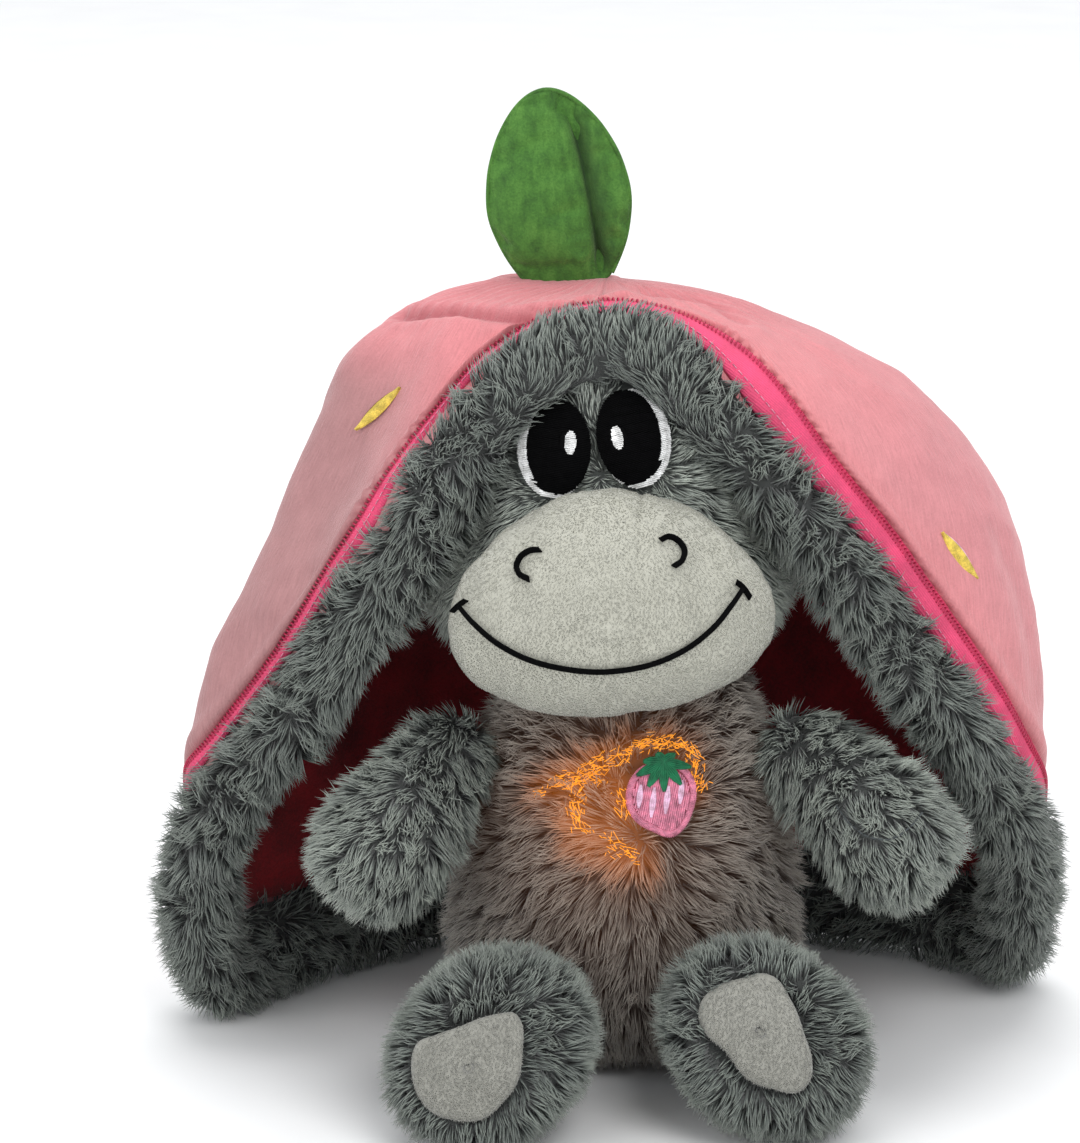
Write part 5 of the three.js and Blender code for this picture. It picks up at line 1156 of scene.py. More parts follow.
class Workshop:
    """The finishes and the trees that every sub-assembly uses."""

    def __init__(self) -> None:
        """Makes the finishes, the trees and the small shapes that they repeat."""
        self.finishes = Finishes()
        self.pile = Pile()
        self.thread = Thread()
        self.beading = Beading()
        self.strand = self._strand("strand", (0.0, 1.5, 4.2), (0.5, 0.42), (0.0, 0.52, 1.0))
        self.stub = self._strand("stub", (0.0, 0.6), (0.5,), (0.0, 1.0))

    def _strand(self, name: str, bends: tuple, radii: tuple, rises: tuple) -> bpy.types.Object:
        """One strand of pile, one unit long, three-sided, with a pointed tip.

        Args:
            name: its name.
            bends: how far each ring, and then the tip, lies aside, in widths.
            radii: each ring's radius, in widths.
            rises: how high each ring and the tip lie.

        Returns:
            The strand, hidden from the render by its removal at the end.
        """
        points, faces = [], [(2, 1, 0)]
        for bend, radius, rise in zip(bends, radii, rises):
            for k in range(3):
                angle = k * 2 * math.pi / 3
                points.append((bend + radius * math.cos(angle), radius * math.sin(angle), rise))
        points.append((bends[-1], 0.0, 1.0))
        tip = len(points) - 1
        for ring in range(len(radii) - 1):
            faces += [
                (ring * 3 + k, ring * 3 + (k + 1) % 3, ring * 3 + 3 + (k + 1) % 3, ring * 3 + 3 + k)
                for k in range(3)
            ]
        faces += [(tip - 3 + k, tip - 3 + (k + 1) % 3, tip) for k in range(3)]
        obj = mesh_object(name, np.array(points) / MM, faces)
        set_values(obj, "rise", np.array([rises[min(i // 3, len(rises) - 1)] for i in range(len(points))]))
        return obj

    def threads(
        self,
        name: str,
        lines: Sequence[np.ndarray],
        radius: float,
        finish: bpy.types.Material,
        sides: int = 5,
    ) -> bpy.types.Object:
        """Threads along lines.

        Args:
            name: the piece's name.
            lines: each an array of points, in millimetres.
            radius: the thread's radius.
            finish: its finish.
            sides: how many sides a thread has.

        Returns:
            The threads as one mesh.
        """
        obj = line_object(name, lines)
        return self.thread.run(obj, Radius=radius * MM, Sides=sides, Finish=finish)

    def planted(self, skin: bpy.types.Object, fur: "Fur") -> bpy.types.Object:
        """A skin together with its pile.

        Args:
            skin: a mesh that carries `thick`, `long` and `fall`.
            fur: the pile's sizes and finish.

        Returns:
            The skin's object, with the strands joined to it.
        """
        strands = skin.copy()
        strands.data = skin.data.copy()
        strands.name = skin.name + "_strands"
        bpy.context.scene.collection.objects.link(strands)
        self.pile.run(
            strands,
            Strand=self.stub if fur.stub else self.strand,
            Strands=fur.strands * 1e6,
            Length=fur.length * MM,
            Width=fur.width * MM,
            Tuft=fur.tuft * MM,
            Gather=fur.gather,
            Sway=fur.sway,
            Tousle=fur.tousle,
            Seed=fur.seed,
            Finish=fur.finish,
        )
        count = len(strands.data.polygons)
        for key in ("thick", "long", "fall"):
            for data in (skin.data, strands.data):
                if key in data.attributes:
                    data.attributes.remove(data.attributes[key])
        skin.data.materials.clear()
        skin.data.materials.append(fur.finish)
        joined(skin, strands)
        places = corners_of(skin)
        places[:, 2] = np.maximum(places[:, 2], 0.0003)
        set_corners(skin, places)
        LOG.info("%s: %d faces of pile", skin.name, count)
        return skin

    def tidy(self) -> None:
        """Removes the small shapes that the trees repeated."""
        for obj in (self.strand, self.stub):
            bpy.data.objects.remove(obj)


@dataclass(frozen=True)
class Fur:
    """How a pile is planted. Strands are given for each square millimetre."""

    finish: bpy.types.Material
    strands: float = 1.15
    length: float = 7.8
    width: float = 0.52
    tuft: float = 5.8
    gather: float = 0.5
    sway: float = 1.5
    tousle: float = 0.56
    seed: int = 1
    stub: bool = False


# Stuffed forms


@dataclass(frozen=True)
class StuffedForm:
    """A stuffed form: sections along an axis, each an ellipse, as shares of its half sizes."""

    base: tuple
    axis: tuple
    across: tuple
    length: float
    width: float
    height: float
    shares: tuple
    narrowing: float = 0.0

    def directions(self) -> tuple[np.ndarray, np.ndarray, np.ndarray]:
        """The directions across, up and along the form."""
        axis, across = unit(vec(*self.axis)), unit(vec(*self.across))
        return across, unit(np.cross(axis, across)), axis

    def rows(self, count: int) -> np.ndarray:
        """Sections along the form: place, half width and half height, as shares."""
        return SplineRun(self.shares).at(np.linspace(0, 1, count))

    def skin(self, grow: float, rows: int = 44, sides: int = 72) -> tuple[np.ndarray, list]:
        """The form's closed surface.

        Args:
            grow: how far it lies outside the form.
            rows: how many sections it has.
            sides: how many corners each section has.

        Returns:
            Its corners and its faces.
        """
        across, up, axis = self.directions()
        table = self.rows(rows)
        sections = []
        first, last = table[0], table[-1]
        for share in (0.35, 0.7):
            dome = (1 - share**2) * 0.12 * first[1] * self.width / 2
            sections.append((first[0], first[1] * share, first[2] * share, -grow - dome, share))
        for index, (along, wide, high) in enumerate(table):
            place = index / (rows - 1)
            end = grow * float(smoothly(place, 0.8, 1) - smoothly(-place, -0.2, 0))
            sections.append((along, wide, high, end, 1.0))
        for share in (0.8, 0.55, 0.28):
            dome = (1 - share**2) * 0.12 * last[1] * self.width / 2
            sections.append((last[0], last[1] * share, last[2] * share, grow + dome, share))
        angles = np.arange(sides) / sides * 2 * math.pi
        tall, reach = np.sin(angles), np.cos(angles) * (1 - self.narrowing * np.sin(angles))
        rings = []
        for along, wide, high, end, share in sections:
            centre = vec(*self.base) + axis * (along * self.length + end)
            half_width = max(wide * self.width / 2 + grow * share, 0.2)
            half_height = max(high * self.height / 2 + grow * share, 0.2)
            rings.append(centre + np.outer(reach * half_width, across) + np.outer(tall * half_height, up))
        points = np.vstack(rings)
        count = len(points)
        points = np.vstack([points, rings[0].mean(0), rings[-1].mean(0)])
        tail = count - sides
        faces = grid_faces(len(rings), sides, True)
        faces += [(count, (j + 1) % sides, j) for j in range(sides)]
        faces += [(count + 1, tail + j, tail + (j + 1) % sides) for j in range(sides)]
        return points, faces

    def object(self, name: str, grow: float, rows: int = 44, sides: int = 72) -> bpy.types.Object:
        """The form's surface as an object whose faces point outwards.

        Args:
            name: its name.
            grow: how far the surface lies outside the form, in millimetres.
            rows: how many rows of corners.
            sides: how many corners a row.

        Returns:
            The object.
        """
        obj = mesh_object(name, *self.skin(grow, rows, sides))
        face_outwards(obj)
        return obj

    def depth(self, points: np.ndarray) -> np.ndarray:
        """How far inside the form points lie, roughly, in millimetres; outside it is negative.

        Args:
            points: places, in millimetres.

        Returns:
            One depth for each place.
        """
        across, up, axis = self.directions()
        off = points - vec(*self.base)
        along = off @ axis / self.length
        table = self.rows(160)
        wide = np.interp(along, table[:, 0], table[:, 1]) * self.width / 2
        high = np.interp(along, table[:, 0], table[:, 2]) * self.height / 2
        y = off @ up / high
        x = off @ across / (wide * (1 - self.narrowing * np.clip(y, -1, 1)))
        inside = (1 - np.sqrt(x * x + y * y)) * np.minimum(wide, high)
        ends = np.minimum(along - table[0, 0], table[-1, 0] - along) * self.length
        return np.minimum(inside, ends)

    def cover(self, grow: float) -> Cover:
        """The form's surface, for patches and stitches."""
        return Cover(*self.skin(grow, 60, 120))


def pixel_run(pixels: Sequence[Sequence[float]], count: int = 30) -> np.ndarray:
    """Evenly spaced pixels on a smooth run through a few."""
    return SplineRun([(*p, 0) for p in pixels]).even(np.linspace(0, 1, count))[:, :2]


@dataclass(frozen=True)
class Viewpoint:
    """Where the photograph was taken from, and its frame."""

    target: tuple = (-24.3, 0.0, 157.0)
    distance: float = 1500.0
    elevation: float = 15.0
    focal: float = 4687.5
    middle: tuple = (540.0, 571.5)
    long_side: float = 1143.0
    sensor: float = 36.0

    def directions(self) -> tuple[np.ndarray, np.ndarray, np.ndarray, np.ndarray]:
        """The camera's place, and its right, up and backward directions.

        Returns:
            The place and the three directions.
        """
        rise = math.radians(self.elevation)
        back = vec(0, -math.cos(rise), math.sin(rise))
        place = vec(*self.target) + back * self.distance
        return place, vec(1, 0, 0), vec(0, math.sin(rise), math.cos(rise)), back

    def on(self, cover: Cover, pixels: Sequence[Sequence[float]], lift: float = 0.0) -> np.ndarray:
        """Puts points of the photograph's frame on a surface.

        Args:
            cover: the surface.
            pixels: across and down, in the photograph's pixels.
            lift: how far they lie above it.

        Returns:
            The points, in millimetres.
        """
        origin, right, up, back = self.directions()
        found = []
        for across, down in pixels:
            ray = unit(
                right * (across - self.middle[0]) / self.focal
                - up * (down - self.middle[1]) / self.focal
                - back
            )
            hit, normal, _, _ = cover.tree.ray_cast(Vector(origin), Vector(ray))
            if hit is not None:
                normal = np.array(normal)
                found.append(np.array(hit) + normal * (lift if normal @ ray < 0 else -lift))
        return np.array(found).reshape(-1, 3)

    def camera(self) -> bpy.types.Object:
        """The scene's camera.

        Returns:
            The camera.
        """
        place, right, up, back = self.directions()
        data = bpy.data.cameras.new("photograph")
        data.sensor_width = self.sensor
        data.lens = self.focal * self.sensor / self.long_side
        data.clip_end = 20
        made = bpy.data.objects.new("photograph", data)
        turn = Matrix([right, up, back]).transposed().to_4x4()
        made.matrix_world = Matrix.Translation(Vector(place * MM)) @ turn
        bpy.context.scene.collection.objects.link(made)
        bpy.context.scene.camera = made
        return made


# The pattern: forms that more than one sub-assembly needs

HEAD_TIP = -4.0
TIPPED_UP = turned(UP, vec(0, 1, 0), HEAD_TIP)
TIPPED_ACROSS = turned(vec(1, 0, 0), vec(0, 1, 0), HEAD_TIP)
HEAD_MIDDLE = vec(-3, -4, 180.2)


def leg_form(side: int, hip: tuple, length: float, rise: float) -> StuffedForm:
    """A leg's form.

    Args:
        side: -1 for the left leg and 1 for the right one.
        hip: where it is sewn on.
        length: how long it is.
        rise: how far it points up, in degrees.

    Returns:
        The form.
    """
    slope = math.radians(rise)
    axis = turned(vec(0, -math.cos(slope), math.sin(slope)), UP, side * 3.0)
    across = turned(unit(-np.cross(axis, UP)), axis, -side * 40.0)
    shares = (
        (0, 0.72, 0.72), (0.16, 0.82, 0.82), (0.38, 0.93, 0.93), (0.6, 1, 1),
        (0.84, 1, 1), (0.95, 0.88, 0.88), (1, 0.62, 0.62),
    )  # fmt: skip
    return StuffedForm(
        base=hip, axis=tuple(axis), across=tuple(across), length=length, width=67, height=56, shares=shares
    )


def arm_form(side: int, reach: tuple, length: float) -> StuffedForm:
    """An arm's form.

    Args:
        side: -1 for the left arm and 1 for the right one.
        reach: the direction that it points in.
        length: how long it is.

    Returns:
        The form.
    """
    axis = unit(vec(*reach))
    across = unit(np.cross(axis, UP))
    shares = (
        (0, 0.5, 0.5), (0.16, 0.74, 0.74), (0.34, 0.82, 0.82), (0.52, 0.92, 0.92),
        (0.7, 1, 1), (0.84, 0.9, 0.9), (0.94, 0.62, 0.62), (1, 0.24, 0.24),
    )  # fmt: skip
    return StuffedForm(
        base=(3 + side * 48.53, -12, 110),
        axis=tuple(axis),
        across=tuple(across),
        length=length,
        width=46,
        height=46,
        shares=shares,
    )


class Pattern:
    """The forms of the toy's stuffed pieces, as the frame has them."""

    torso = StuffedForm(
        base=(3, -5, 0),
        axis=(0, 0, 1),
        across=(1, 0, 0),
        length=146,
        width=114,
        height=102,
        shares=(
            (-0.02, 0.3, 0.2), (0.035, 0.66, 0.56), (0.11, 0.9, 0.85), (0.22, 1, 0.99), (0.33, 0.99, 1),
            (0.44, 0.95, 0.98), (0.58, 0.88, 0.93), (0.72, 0.79, 0.84), (0.86, 0.64, 0.7),
            (0.95, 0.42, 0.46), (1, 0.18, 0.2),
        ),
    )  # fmt: skip
    head = StuffedForm(
        base=tuple(HEAD_MIDDLE - TIPPED_UP * 61),
        axis=tuple(TIPPED_UP),
        across=tuple(TIPPED_ACROSS),
        length=122,
        width=125,
        height=108,
        shares=(
            (0, 0.2, 0.16), (0.04, 0.46, 0.42), (0.14, 0.77, 0.72), (0.28, 0.96, 0.91), (0.44, 1, 1),
            (0.6, 0.94, 0.99), (0.75, 0.81, 0.88), (0.88, 0.6, 0.67), (0.965, 0.34, 0.38), (1, 0.12, 0.12),
        ),
    )  # fmt: skip
    muzzle = StuffedForm(
        base=(-3, -42, 165),
        axis=(0, -1, 0),
        across=tuple(TIPPED_ACROSS),
        length=60,
        width=101,
        height=72,
        shares=(
            (0, 0.86, 0.84), (0.2, 0.96, 0.95), (0.4, 1, 1), (0.58, 0.95, 0.95),
            (0.74, 0.82, 0.81), (0.87, 0.62, 0.6), (0.955, 0.38, 0.36), (1, 0.14, 0.13),
        ),
        narrowing=0.2,
    )  # fmt: skip
    left_arm = arm_form(-1, (-27, -33, -29), 75)
    right_arm = arm_form(1, (33, -33, -26), 76)
    left_leg = leg_form(-1, (-37, -50, 21.642), 64, 11)
    right_leg = leg_form(1, (43, -50, 19.879), 57, 17)


@dataclass(frozen=True)
class HoodPattern:
    """The hood's shape: rows that fall from the crown to a fur roll."""

    crown: tuple = (-3, 12, 248)
    size: tuple = (136, 104, 248)
    roll_half_thickness: float = 13.5
    low_half_width: float = 20
    high_half_width: float = 15
    roll_shares: tuple = (
        (-0.05, -0.34, 0.962), (-0.15, -0.355, 0.945), (-0.257, -0.37, 0.894), (-0.371, -0.39, 0.813),
        (-0.464, -0.385, 0.716), (-0.58, -0.345, 0.622), (-0.69, -0.27, 0.52), (-0.832, -0.173, 0.41),
        (-0.965, -0.085, 0.292), (-0.994, 0.015, 0.19), (-0.99, 0.09, 0.12), (-0.95, 0.19, 0.082),
        (-0.85, 0.35, 0.0725), (-0.68, 0.6, 0.0725), (-0.42, 0.87, 0.0725), (-0.14, 1.006, 0.0725),
        (0.14, 1.006, 0.0725), (0.42, 0.91, 0.0725), (0.68, 0.79, 0.0725), (0.86, 0.64, 0.0725),
        (0.965, 0.49, 0.083), (0.994, 0.34, 0.122), (0.992, 0.18, 0.186), (0.97, 0.03, 0.27),
        (0.88, -0.12, 0.365), (0.768, -0.21, 0.473), (0.643, -0.288, 0.575), (0.52, -0.35, 0.675),
        (0.39, -0.39, 0.763), (0.27, -0.385, 0.847), (0.15, -0.365, 0.918), (0.05, -0.345, 0.957),
    )  # fmt: skip
    left_fall: tuple = (
        (0, 0), (0.34, 0.015), (0.52, 0.065), (0.62, 0.125), (0.7, 0.25),
        (0.8, 0.42), (0.89, 0.555), (0.96, 0.67), (1, 0.8), (1, 1),
    )  # fmt: skip
    right_fall: tuple = (
        (0, 0), (0.29, 0.04), (0.48, 0.09), (0.65, 0.155), (0.8, 0.245),
        (0.91, 0.375), (0.975, 0.51), (1.01, 0.66), (1.02, 0.83), (1, 1),
    )  # fmt: skip

    def run(self) -> SplineRun:
        """The fur roll's middle line: from the brow to the left, round the rear and back."""
        return SplineRun(np.array(self.roll_shares) * vec(*self.size), closed=True)


class HoodShape:
    """Places on the hood and round its roll, worked out from the pattern."""

    def __init__(self, pattern: HoodPattern) -> None:
        """Prepares the runs.

        Args:
            pattern: the hood's sizes.
        """
        self.pattern = pattern
        self.roll = pattern.run()
        self.falls = [SplineRun(rows) for rows in (pattern.left_fall, pattern.right_fall)]
        self.samples = np.linspace(0, 1, 480, endpoint=False)
        self.sections = self.section(self.samples)

    def section(self, around: np.ndarray) -> tuple[np.ndarray, ...]:
        """The roll's sections.

        Args:
            around: shares of the way round.

        Returns:
            Their middles, the directions along, out and up, and their half widths.
        """
        middle, along = self.roll.even(around), self.roll.heading(around)
        out = middle - vec(0, 20, 0)
        out[:, 2] = 0
        out = unit(out - along * (out * along).sum(1, keepdims=True))
        narrow = smoothly(middle[:, 2] / self.pattern.size[2], 0.09, 0.25)
        low, high = self.pattern.low_half_width, self.pattern.high_half_width
        half = low + (high - low) * narrow
        return middle, along, out, np.cross(along, out), half

    def beside_roll(self, points: np.ndarray) -> np.ndarray:
        """How far points lie outside the roll, roughly, in millimetres.

        Args:
            points: places, in millimetres.

        Returns:
            One distance for each place.
        """
        middle, _, out, up, half = self.sections
        found = []
        for part in np.array_split(points, max(1, len(points) // 2000)):
            near = np.argmin(np.linalg.norm(part[:, None] - middle[None], axis=2), axis=1)
            off = part - middle[near]
            o = (off * out[near]).sum(1) / self.pattern.roll_half_thickness
            u = (off * up[near]).sum(1) / half[near]
            found.append((np.sqrt(o * o + u * u) - 1) * self.pattern.roll_half_thickness)
        return np.concatenate(found)

    def at(self, around: np.ndarray, down: np.ndarray) -> np.ndarray:
        """Places on the hood.

        Args:
            around: shares of the way round, from the brow to the left.
            down: shares of the way from the crown to the roll.

        Returns:
            The places, one row each.
        """
        edge = self.roll.even(around)
        right = smoothly(edge[:, 0], -47.6, 47.6)[:, None]
        left_fall, right_fall = (fall.at(down) for fall in self.falls)
        fall = left_fall + (right_fall - left_fall) * right
        crown = vec(*self.pattern.crown)
        share = fall[:, [0, 0, 1]]
        return crown + (edge - crown) * share

    def outward(self, around: np.ndarray, down: np.ndarray) -> np.ndarray:
        """The hood's outward direction, which turns straight up at the crown.

        Args:
            around: ways round the hood.
            down: ways down it, 0 at the crown.

        Returns:
            One unit vector for each place.
        """
        low = np.maximum(down, 0.03)
        step = 1 / 112
        along = self.at(around + step, low) - self.at(around - step, low)
        fall = self.at(around, np.minimum(low + step, 1)) - self.at(around, low - step)
        normal = unit(np.cross(along, fall))
        inward = (
            vec(self.pattern.crown[0], self.pattern.crown[1], self.pattern.size[2] / 2) - self.at(around, low)
        )
        normal *= np.where((normal * inward).sum(1) > 0, -1, 1)[:, None]
        return unit(UP + (normal - UP) * smoothly(down, 0, 0.1)[:, None])

    def down_to(self, around: np.ndarray, beside: float) -> np.ndarray:
        """How far down the hood first comes this near to the roll.

        Args:
            around: ways round the hood.
            beside: the distance from the roll, in millimetres.

        Returns:
            The way down at each way round.
        """
        downs = np.linspace(0.3, 1, 90)
        grid_around, grid_down = np.meshgrid(around, downs)
        beside_all = self.beside_roll(self.at(grid_around.ravel(), grid_down.ravel())).reshape(len(downs), -1)
        near = beside_all < beside
        first = np.where(near.any(0), near.argmax(0), len(downs) - 1)
        first = np.maximum(first, 1)
        columns = np.arange(len(around))
        above, below = beside_all[first - 1, columns], beside_all[first, columns]
        share = np.clip((above - beside) / np.maximum(above - below, 1e-6), 0, 1)
        found = downs[first - 1] + (downs[first] - downs[first - 1]) * share
        kernel = np.hanning(9) / np.hanning(9).sum()
        padded = np.concatenate([np.repeat(found[:1], 4), found, np.repeat(found[-1:], 4)])
        return np.convolve(padded, kernel, "valid")


# Small parts that are laid on a surface


def inside_runs(
    inside: Callable[[np.ndarray], np.ndarray], size: float, spacing: float, angle: float, step: float = 0.9
) -> list[np.ndarray]:
    """Parallel threads that fill an outline.

    Args:
        inside: gives a positive value for flat points inside the outline.
        size: half the side of the square that holds the outline.
        spacing: the distance between threads.
        angle: the threads' direction, in degrees.
        step: the distance between points on a thread.

    Returns:
        The threads as flat lines.
    """
    turn = math.radians(angle)
    ahead, aside = vec(math.cos(turn), math.sin(turn)), vec(-math.sin(turn), math.cos(turn))
    lines = []
    for offset in np.arange(-size, size, spacing):
        run = np.arange(-size, size, step / 6)
        flat = np.outer(run, ahead) + aside * offset
        kept = flat[inside(flat) > 0]
        if len(kept) < 4:
            continue
        count = max(3, int(len(kept) / 6))
        lines.append(kept[np.linspace(0, len(kept) - 1, count).astype(int)])
    return lines


def oval(
    width: float, height: float, turn: float = 0.0, middle: tuple = (0.0, 0.0)
) -> Callable[[np.ndarray], np.ndarray]:
    """An oval as a test that is positive inside it.

    Args:
        width: its width.
        height: its height.
        turn: how far it is turned, in degrees.
        middle: its middle.

    Returns:
        The test.
    """
    angle = math.radians(turn)

    def test(flat: np.ndarray) -> np.ndarray:
        """Positive inside the oval.

        Args:
            flat: flat places.

        Returns:
            One value for each place.
        """
        off = flat - vec(*middle)
        x = off[:, 0] * math.cos(angle) + off[:, 1] * math.sin(angle)
        y = -off[:, 0] * math.sin(angle) + off[:, 1] * math.cos(angle)
        return 1 - (x / width * 2) ** 2 - (y / height * 2) ** 2

    return test


def pad_object(
    name: str,
    rim: np.ndarray,
    place: Callable[[np.ndarray, float], np.ndarray],
    rise: float,
    sink: float,
    rings: int = 7,
) -> bpy.types.Object:
    """A low pad laid on a surface.

    Args:
        name: its name.
        rim: its flat outline.
        place: puts flat points on the surface at a height above it.
        rise: how high its middle stands.
        sink: how deep its back lies.
        rings: how many rings it has from its middle to its rim.

    Returns:
        The pad, closed all round.
    """
    middle = rim.mean(0)
    layers = [(share, rise * math.sqrt(max(0.0, 1 - share**3))) for share in np.linspace(0, 1, rings + 1)[1:]]
    layers += [(0.97, -sink * 0.5), (0.9, -sink), (0.45, -sink)]
    points = [place(middle[None], rise)]
    points += [place(middle + (rim - middle) * share, height) for share, height in layers]
    points.append(place(middle[None], -sink))
    count = len(rim)
    faces = [(0, 1 + j, 1 + (j + 1) % count) for j in range(count)]
    faces += [tuple(1 + k for k in f) for f in grid_faces(len(layers), count, True)]
    tail = 1 + (len(layers) - 1) * count
    faces += [(tail + count, tail + (j + 1) % count, tail + j) for j in range(count)]
    obj = mesh_object(name, np.vstack(points), faces)
    face_outwards(obj)
    return obj


def closed_cloth(name: str, outer: np.ndarray, inner: np.ndarray, cloth: np.ndarray) -> bpy.types.Object:
    """A piece of cloth with a front, a back and closed edges.

    Args:
        name: its name.
        outer: its front, as rows of columns of points.
        inner: its back, the same way.
        cloth: the flat place of each point, in millimetres.

    Returns:
        The cloth.
    """
    rows, columns = outer.shape[:2]
    count = rows * columns
    front = grid_faces(rows, columns, False)
    faces = front + [tuple(k + count for k in reversed(f)) for f in front]
    top = list(range(columns))
    bottom = [count - columns + j for j in range(columns)]
    left = [i * columns for i in range(rows)]
    right = [i * columns + columns - 1 for i in range(rows)]
    for edge, turned_over in ((top, True), (bottom, False), (left, False), (right, True)):
        for a, b in zip(edge, edge[1:]):
            quad = (a, b, b + count, a + count)
            faces.append(quad if turned_over else tuple(reversed(quad)))
    points = np.vstack([outer.reshape(-1, 3), inner.reshape(-1, 3)])
    obj = mesh_object(name, points, faces)
    flat = np.vstack([cloth.reshape(-1, 2), cloth.reshape(-1, 2)]) * MM
    layer = obj.data.uv_layers.new(name="cloth")
    index = np.empty(len(obj.data.loops), np.int32)
    obj.data.loops.foreach_get("vertex_index", index)
    layer.data.foreach_set("uv", flat[index].astype(np.float32).ravel())
    return obj


def weld(obj: bpy.types.Object) -> bpy.types.Object:
    """Joins the corners that lie in one place, and turns the faces outwards.

    Args:
        obj: a mesh object.

    Returns:
        The same object.
    """
    work = bmesh.new()
    work.from_mesh(obj.data)
    bmesh.ops.remove_doubles(work, verts=work.verts, dist=2e-6)
    bmesh.ops.dissolve_degenerate(work, dist=1e-7, edges=work.edges)
    bmesh.ops.recalc_face_normals(work, faces=work.faces)
    work.to_mesh(obj.data)
    work.free()
    face_outwards(obj)
    return obj


# Handing pieces to the frame


@dataclass(frozen=True)
class Stretch:
    """Cloth that reaches from a body that rests to one that moves."""

    still: str
    moving: str
    start: tuple
    end: tuple


BREATH = Stretch("toy", "breather", (0.003, -0.030, 0.080), (0.003, -0.054, 0.080))
LEFT_LIFT = Stretch("toy", "left_flap", (-0.012, 0.012, 0.150), (-0.108, 0.012, 0.150))
RIGHT_LIFT = Stretch("toy", "right_flap", (0.012, 0.012, 0.150), (0.108, 0.012, 0.150))


def hand_over(
    obj: bpy.types.Object,
    slot: str,
    body: str | Stretch,
    nodes: Sequence[str] = (),
) -> bpy.types.Object:
    """Gives a piece its place in the frame.

    Args:
        obj: the piece.
        slot: a name for its material slot, which is only logged.
        body: the body that carries it; for a Stretch, which names the two bodies it reaches between, the
            piece is only fixed where it lies.
        nodes: the frame's nodes that it stands for.

    Returns:
        The piece.
    """
    if isinstance(body, Stretch):
        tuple(body.start)
        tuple(body.end)
        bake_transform(obj)
    else:
        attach(obj, body)
    if nodes:
        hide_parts(*nodes)
    LOG.info("%s: %s", obj.name, slot)
    return obj


class SubAssembly:
    """A part of the toy that is made and handed over as one."""

    def __init__(self, shop: Workshop, view: Viewpoint) -> None:
        """Keeps what it needs.

        Args:
            shop: the finishes and the trees.
            view: where the photograph was taken from.
        """
        self.shop = shop
        self.view = view

    def build(self) -> list[bpy.types.Object]:
        """Makes the pieces."""
        raise NotImplementedError


def near_path(points: np.ndarray, path: np.ndarray) -> np.ndarray:
    """How far points lie from a line through some places.

    Args:
        points: places, in millimetres.
        path: the places that the line goes through.

    Returns:
        One distance for each point.
    """
    if not len(path):
        return np.full(len(points), 1e3)
    found = [
        np.linalg.norm(part[:, None] - path[None], axis=2).min(1)
        for part in np.array_split(points, max(1, len(points) // 4000))
    ]
    return np.concatenate(found)


def groom(skin: bpy.types.Object, thick: np.ndarray, long: np.ndarray, fall: np.ndarray) -> None:
    """Gives a skin the values that its pile reads.

    Args:
        skin: the mesh that the pile grows from.
        thick: how densely it grows at each corner, as a share.
        long: how long it is there, as a share.
        fall: the direction that it leans in there.
    """
    for key, values in (("thick", thick), ("long", long), ("fall", fall)):
        set_values(skin, key, values)


def outline_depth(flat: np.ndarray, rim: np.ndarray) -> np.ndarray:
    """How far flat points lie inside a flat outline.

    Args:
        flat: the points, in millimetres.
        rim: the outline's points, in the same two directions.

    Returns:
        The depth towards the outline's middle; outside the outline it is negative.
    """
    middle = rim.mean(0)
    bearing = np.arctan2(rim[:, 1] - middle[1], rim[:, 0] - middle[0])
    order = np.argsort(bearing)
    reach = np.linalg.norm(rim - middle, axis=1)[order]
    off = flat - middle
    limit = np.interp(np.arctan2(off[:, 1], off[:, 0]), bearing[order], reach, period=2 * math.pi)
    return limit - np.linalg.norm(off, axis=1)


def stitches_across(middle: np.ndarray, aside: np.ndarray, ends: float, top: float) -> list[np.ndarray]:
    """Short stitches laid across a line, each over four points.

    Args:
        middle: the line's points.
        aside: half a stitch at each point.
        ends: how far a stitch's ends are moved back, in millimetres.
        top: how far the two points between them are moved forward.

    Returns:
        The stitches.
    """
    low, high = vec(0, ends, 0), vec(0, -top, 0)
    return [
        np.array([m - a + low, m - a * 0.5 + high, m + a * 0.5 + high, m + a + low])
        for m, a in zip(middle, aside)
    ]


# Torso


